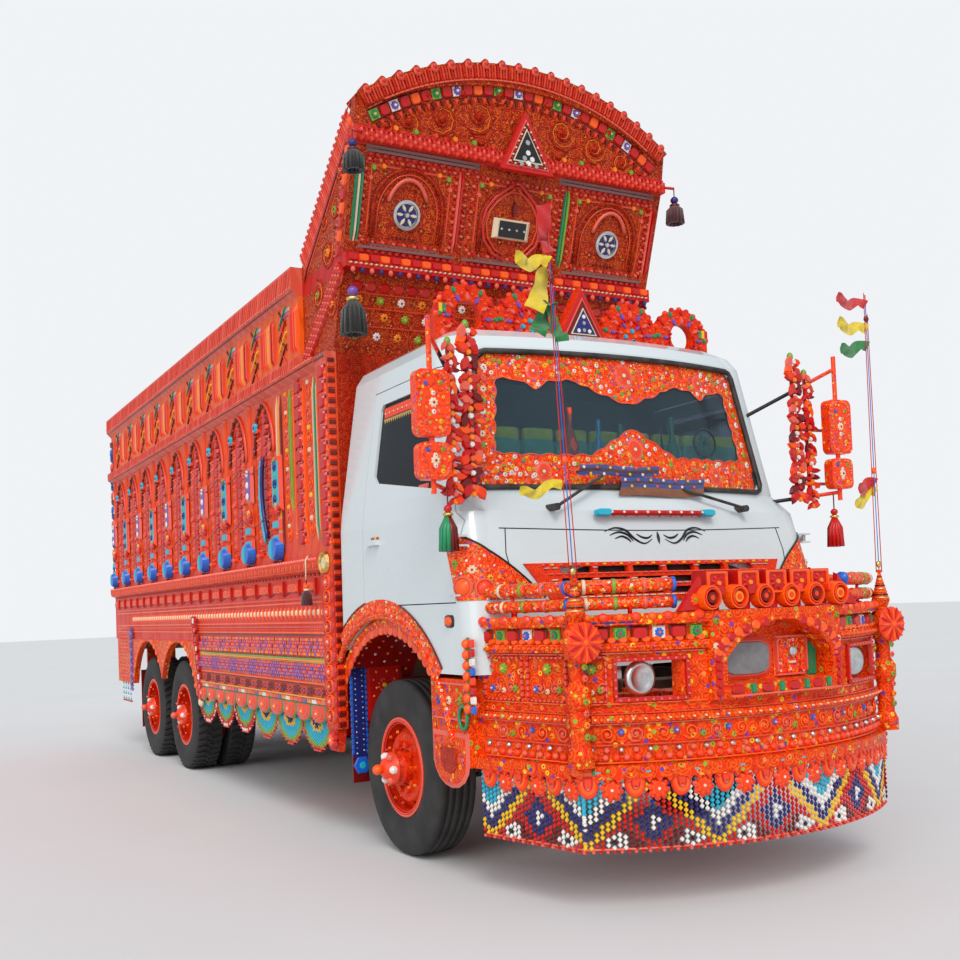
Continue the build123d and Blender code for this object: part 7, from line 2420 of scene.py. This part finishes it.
def solids(name):
    """Corners of each separate solid of a node."""
    mesh = nodes[name].data
    parent = list(range(len(mesh.vertices)))

    def root(i):
        while parent[i] != i:
            parent[i] = parent[parent[i]]
            i = parent[i]
        return i

    for edge in mesh.edges:
        parent[root(edge.vertices[0])] = root(edge.vertices[1])
    groups = {}
    for vertex in mesh.vertices:
        groups.setdefault(root(vertex.index), []).append(nodes[name].matrix_world @ vertex.co)
    return [(Vector([min(p[k] for p in g) for k in range(3)]),
             Vector([max(p[k] for p in g) for k in range(3)])) for g in groups.values()]


def cushion(relief, low, high, material):
    """Block with soft edges and a slightly domed face on each side."""
    middle, half = (low + high) / 2, (high - low) / 2
    n = 12
    points, faces = [], []
    for i in range(n + 1):
        for j in range(2 * n):
            theta, phi = pi * (i / n - 0.5), pi * j / n
            ball_point = cos(theta) * cos(phi), cos(theta) * sin(phi), sin(theta)
            points.append([middle[d] + half[d] * max(-1.0, min(1.0, soft(ball_point[d], 0.3)))
                           for d in range(3)])
    for i in range(n):
        for j in range(2 * n):
            a0, a1 = i * 2 * n + j, i * 2 * n + (j + 1) % (2 * n)
            faces.append((a0, a1, a1 + 2 * n, a0 + 2 * n))
    relief.add(points, faces, material, smooth=True)


def cab_contents():
    """Fan, cushions and bottles on the dash, seen through the windscreen."""
    relief = Relief("dash_contents")
    for x, r, h, tone in ((-0.4, 0.05, 0.5, "salmon"), (-0.2, 0.034, 0.44, "cyan"),
                          (-0.04, 0.044, 0.42, "green"), (0.34, 0.04, 0.48, "green"),
                          (0.26, 0.012, 0.46, "black")):
        relief.put(turned([(r, 0), (r, h * 0.55), (r * 0.35, h * 0.78), (r * 0.35, h), (0.0, h)], 12),
                   Matrix.Translation((x, -3.765, 2.09)), tone, smooth=True)
    fan = Vector((0.6, -3.755, 2.42))
    ring = [fan + Vector((0.085 * cos(t), 0, 0.085 * sin(t))) for t in (2 * pi * k / 20 for k in range(20))]
    tube(relief, ring, 0.007, "black", 6, closed=True)
    for k in range(5):
        angle = 2 * pi * k / 5
        relief.put(leaf, front_sheet(fan.y).at(fan.x + 0.035 * cos(angle), fan.z + 0.035 * sin(angle), angle),
                   "green", (0.06, 0.045, 0.006))
    relief.put(ball, Matrix.Translation(fan), "black", (0.022, 0.012, 0.022), True)
    tube(relief, [fan - Vector((0, 0, 0.19)), fan - Vector((0, 0, 0.08))], 0.008, "black", 6)
    for x in along(-0.92, 0.92, 0.23):
        cushion(relief, Vector((x - 0.112, -3.715, 2.06)), Vector((x + 0.112, -3.66, 2.42)), cloth["teal"])
        cushion(relief, Vector((x - 0.1, -3.71, 2.4)), Vector((x + 0.1, -3.67, 2.475)), cloth["lime"])
    relief.piece()


def stays():
    """Three taut strings above each spire, red, blue and red, in place of the plain rods."""
    relief = Relief("flag_stays")
    for side in (-1, 1):
        for n, (foot, head) in enumerate(((-0.022, -0.01), (0.0, 0.0), (0.022, 0.01))):
            start, end = Vector((side * SPIRE_X + foot, SPIRE_Y, 1.575)), Vector((side * 1.068 + head, -4.648,
                3.17 - 0.06 * n))
            tube(relief, [start.lerp(end, t / 6) for t in range(7)], 0.0028, ("red", "blue", "red")[n], 6)
        head = Vector((side * 1.068, -4.648, 3.1))
        tube(relief, [head, head + Vector((0, 0, 0.26 if side < 0 else 0.06))], 0.0035, "red", 6)
        for z, tone in ((1.62, "gold"), (2.15, "bright"), (3.02, "deep")):
            t = (z - 1.575) / 1.6
            relief.put(ball, Matrix.Translation((side * (SPIRE_X + 0.04 * t), SPIRE_Y + 0.03 * t, z)), tone,
                       (0.018, 0.012, 0.02), True)
    relief.piece(replaces=("flag_masts",))


def wiper_cloths():
    """Patterned cloths tied round both blades, the lower one with a brown fringe."""
    for name, x0, x1, z, bands, drop in (("wiper_cloth_high", -0.47, 0.09, 2.208, ("blue", "maroon", "blue"),
                                          0.0), ("wiper_cloth_low", -0.19, 0.42, 2.142, ("blue", "maroon",
                                              "blue"), 0.045)):
        columns, rows = 40, 9
        height = 0.058 + drop
        relief = Relief(name)
        points = []
        for i in range(columns + 1):
            t = i / columns
            for j in range(rows + 1):
                v = j / rows
                points.append((x0 + (x1 - x0) * t + 0.018 * (0.5 - v),
                               -3.94 - 0.004 * sin(9 * t + 5 * v) - 0.006 * sin(pi * v),
                               z + 0.03 - height * v + 0.005 * sin(7 * t)))
        for j in range(rows):
            share = (j + 0.5) / rows * height
            tone = "brown" if share > 0.06 else bands[min(2, int(share / 0.02))]
            strip_points = [points[i * (rows + 1) + k] for i in range(columns + 1) for k in (j, j + 1)]
            faces = [(2 * i, 2 * i + 1, 2 * i + 3, 2 * i + 2) for i in range(columns)]
            relief.add(strip_points, faces, cloth[tone])
        made = relief.piece()
    dots = Relief("wiper_cloth_dots")
    for x0, x1, z in ((-0.46, 0.08, 2.208), (-0.18, 0.41, 2.142)):
        for n, x in enumerate(along(x0, x1, 0.045)):
            dots.put(blossom, front_sheet(-3.948).at(x, z + 0.018 * (-1) ** n),
                     ("white", "yellow", "pink")[n % 3], (0.01, 0.01, 0.004))
    dots.piece()


wheels()
for side, label in SIDES:
    side_upper(side, label)
    side_lower(side, label)
    door_window(side, label)
side_chains()
crown_ornament()
crown_sides()
crest_ornament()
screen_ornament()
window_seals()
cab_ornament()
cab_sides()
mirror_ornament()
apron_ornament()
apron_pendants()
front_chain()
niche_ornament()
steps_and_flaps()
flags()
stays()
wiper_cloths()
tassels()
gate_ornament()
rear_ornament()
rear_corners()
seats()
cab_contents()

finish_nodes()
make_camera()
make_stage()
bpy.context.scene.view_settings.view_transform = "Standard"
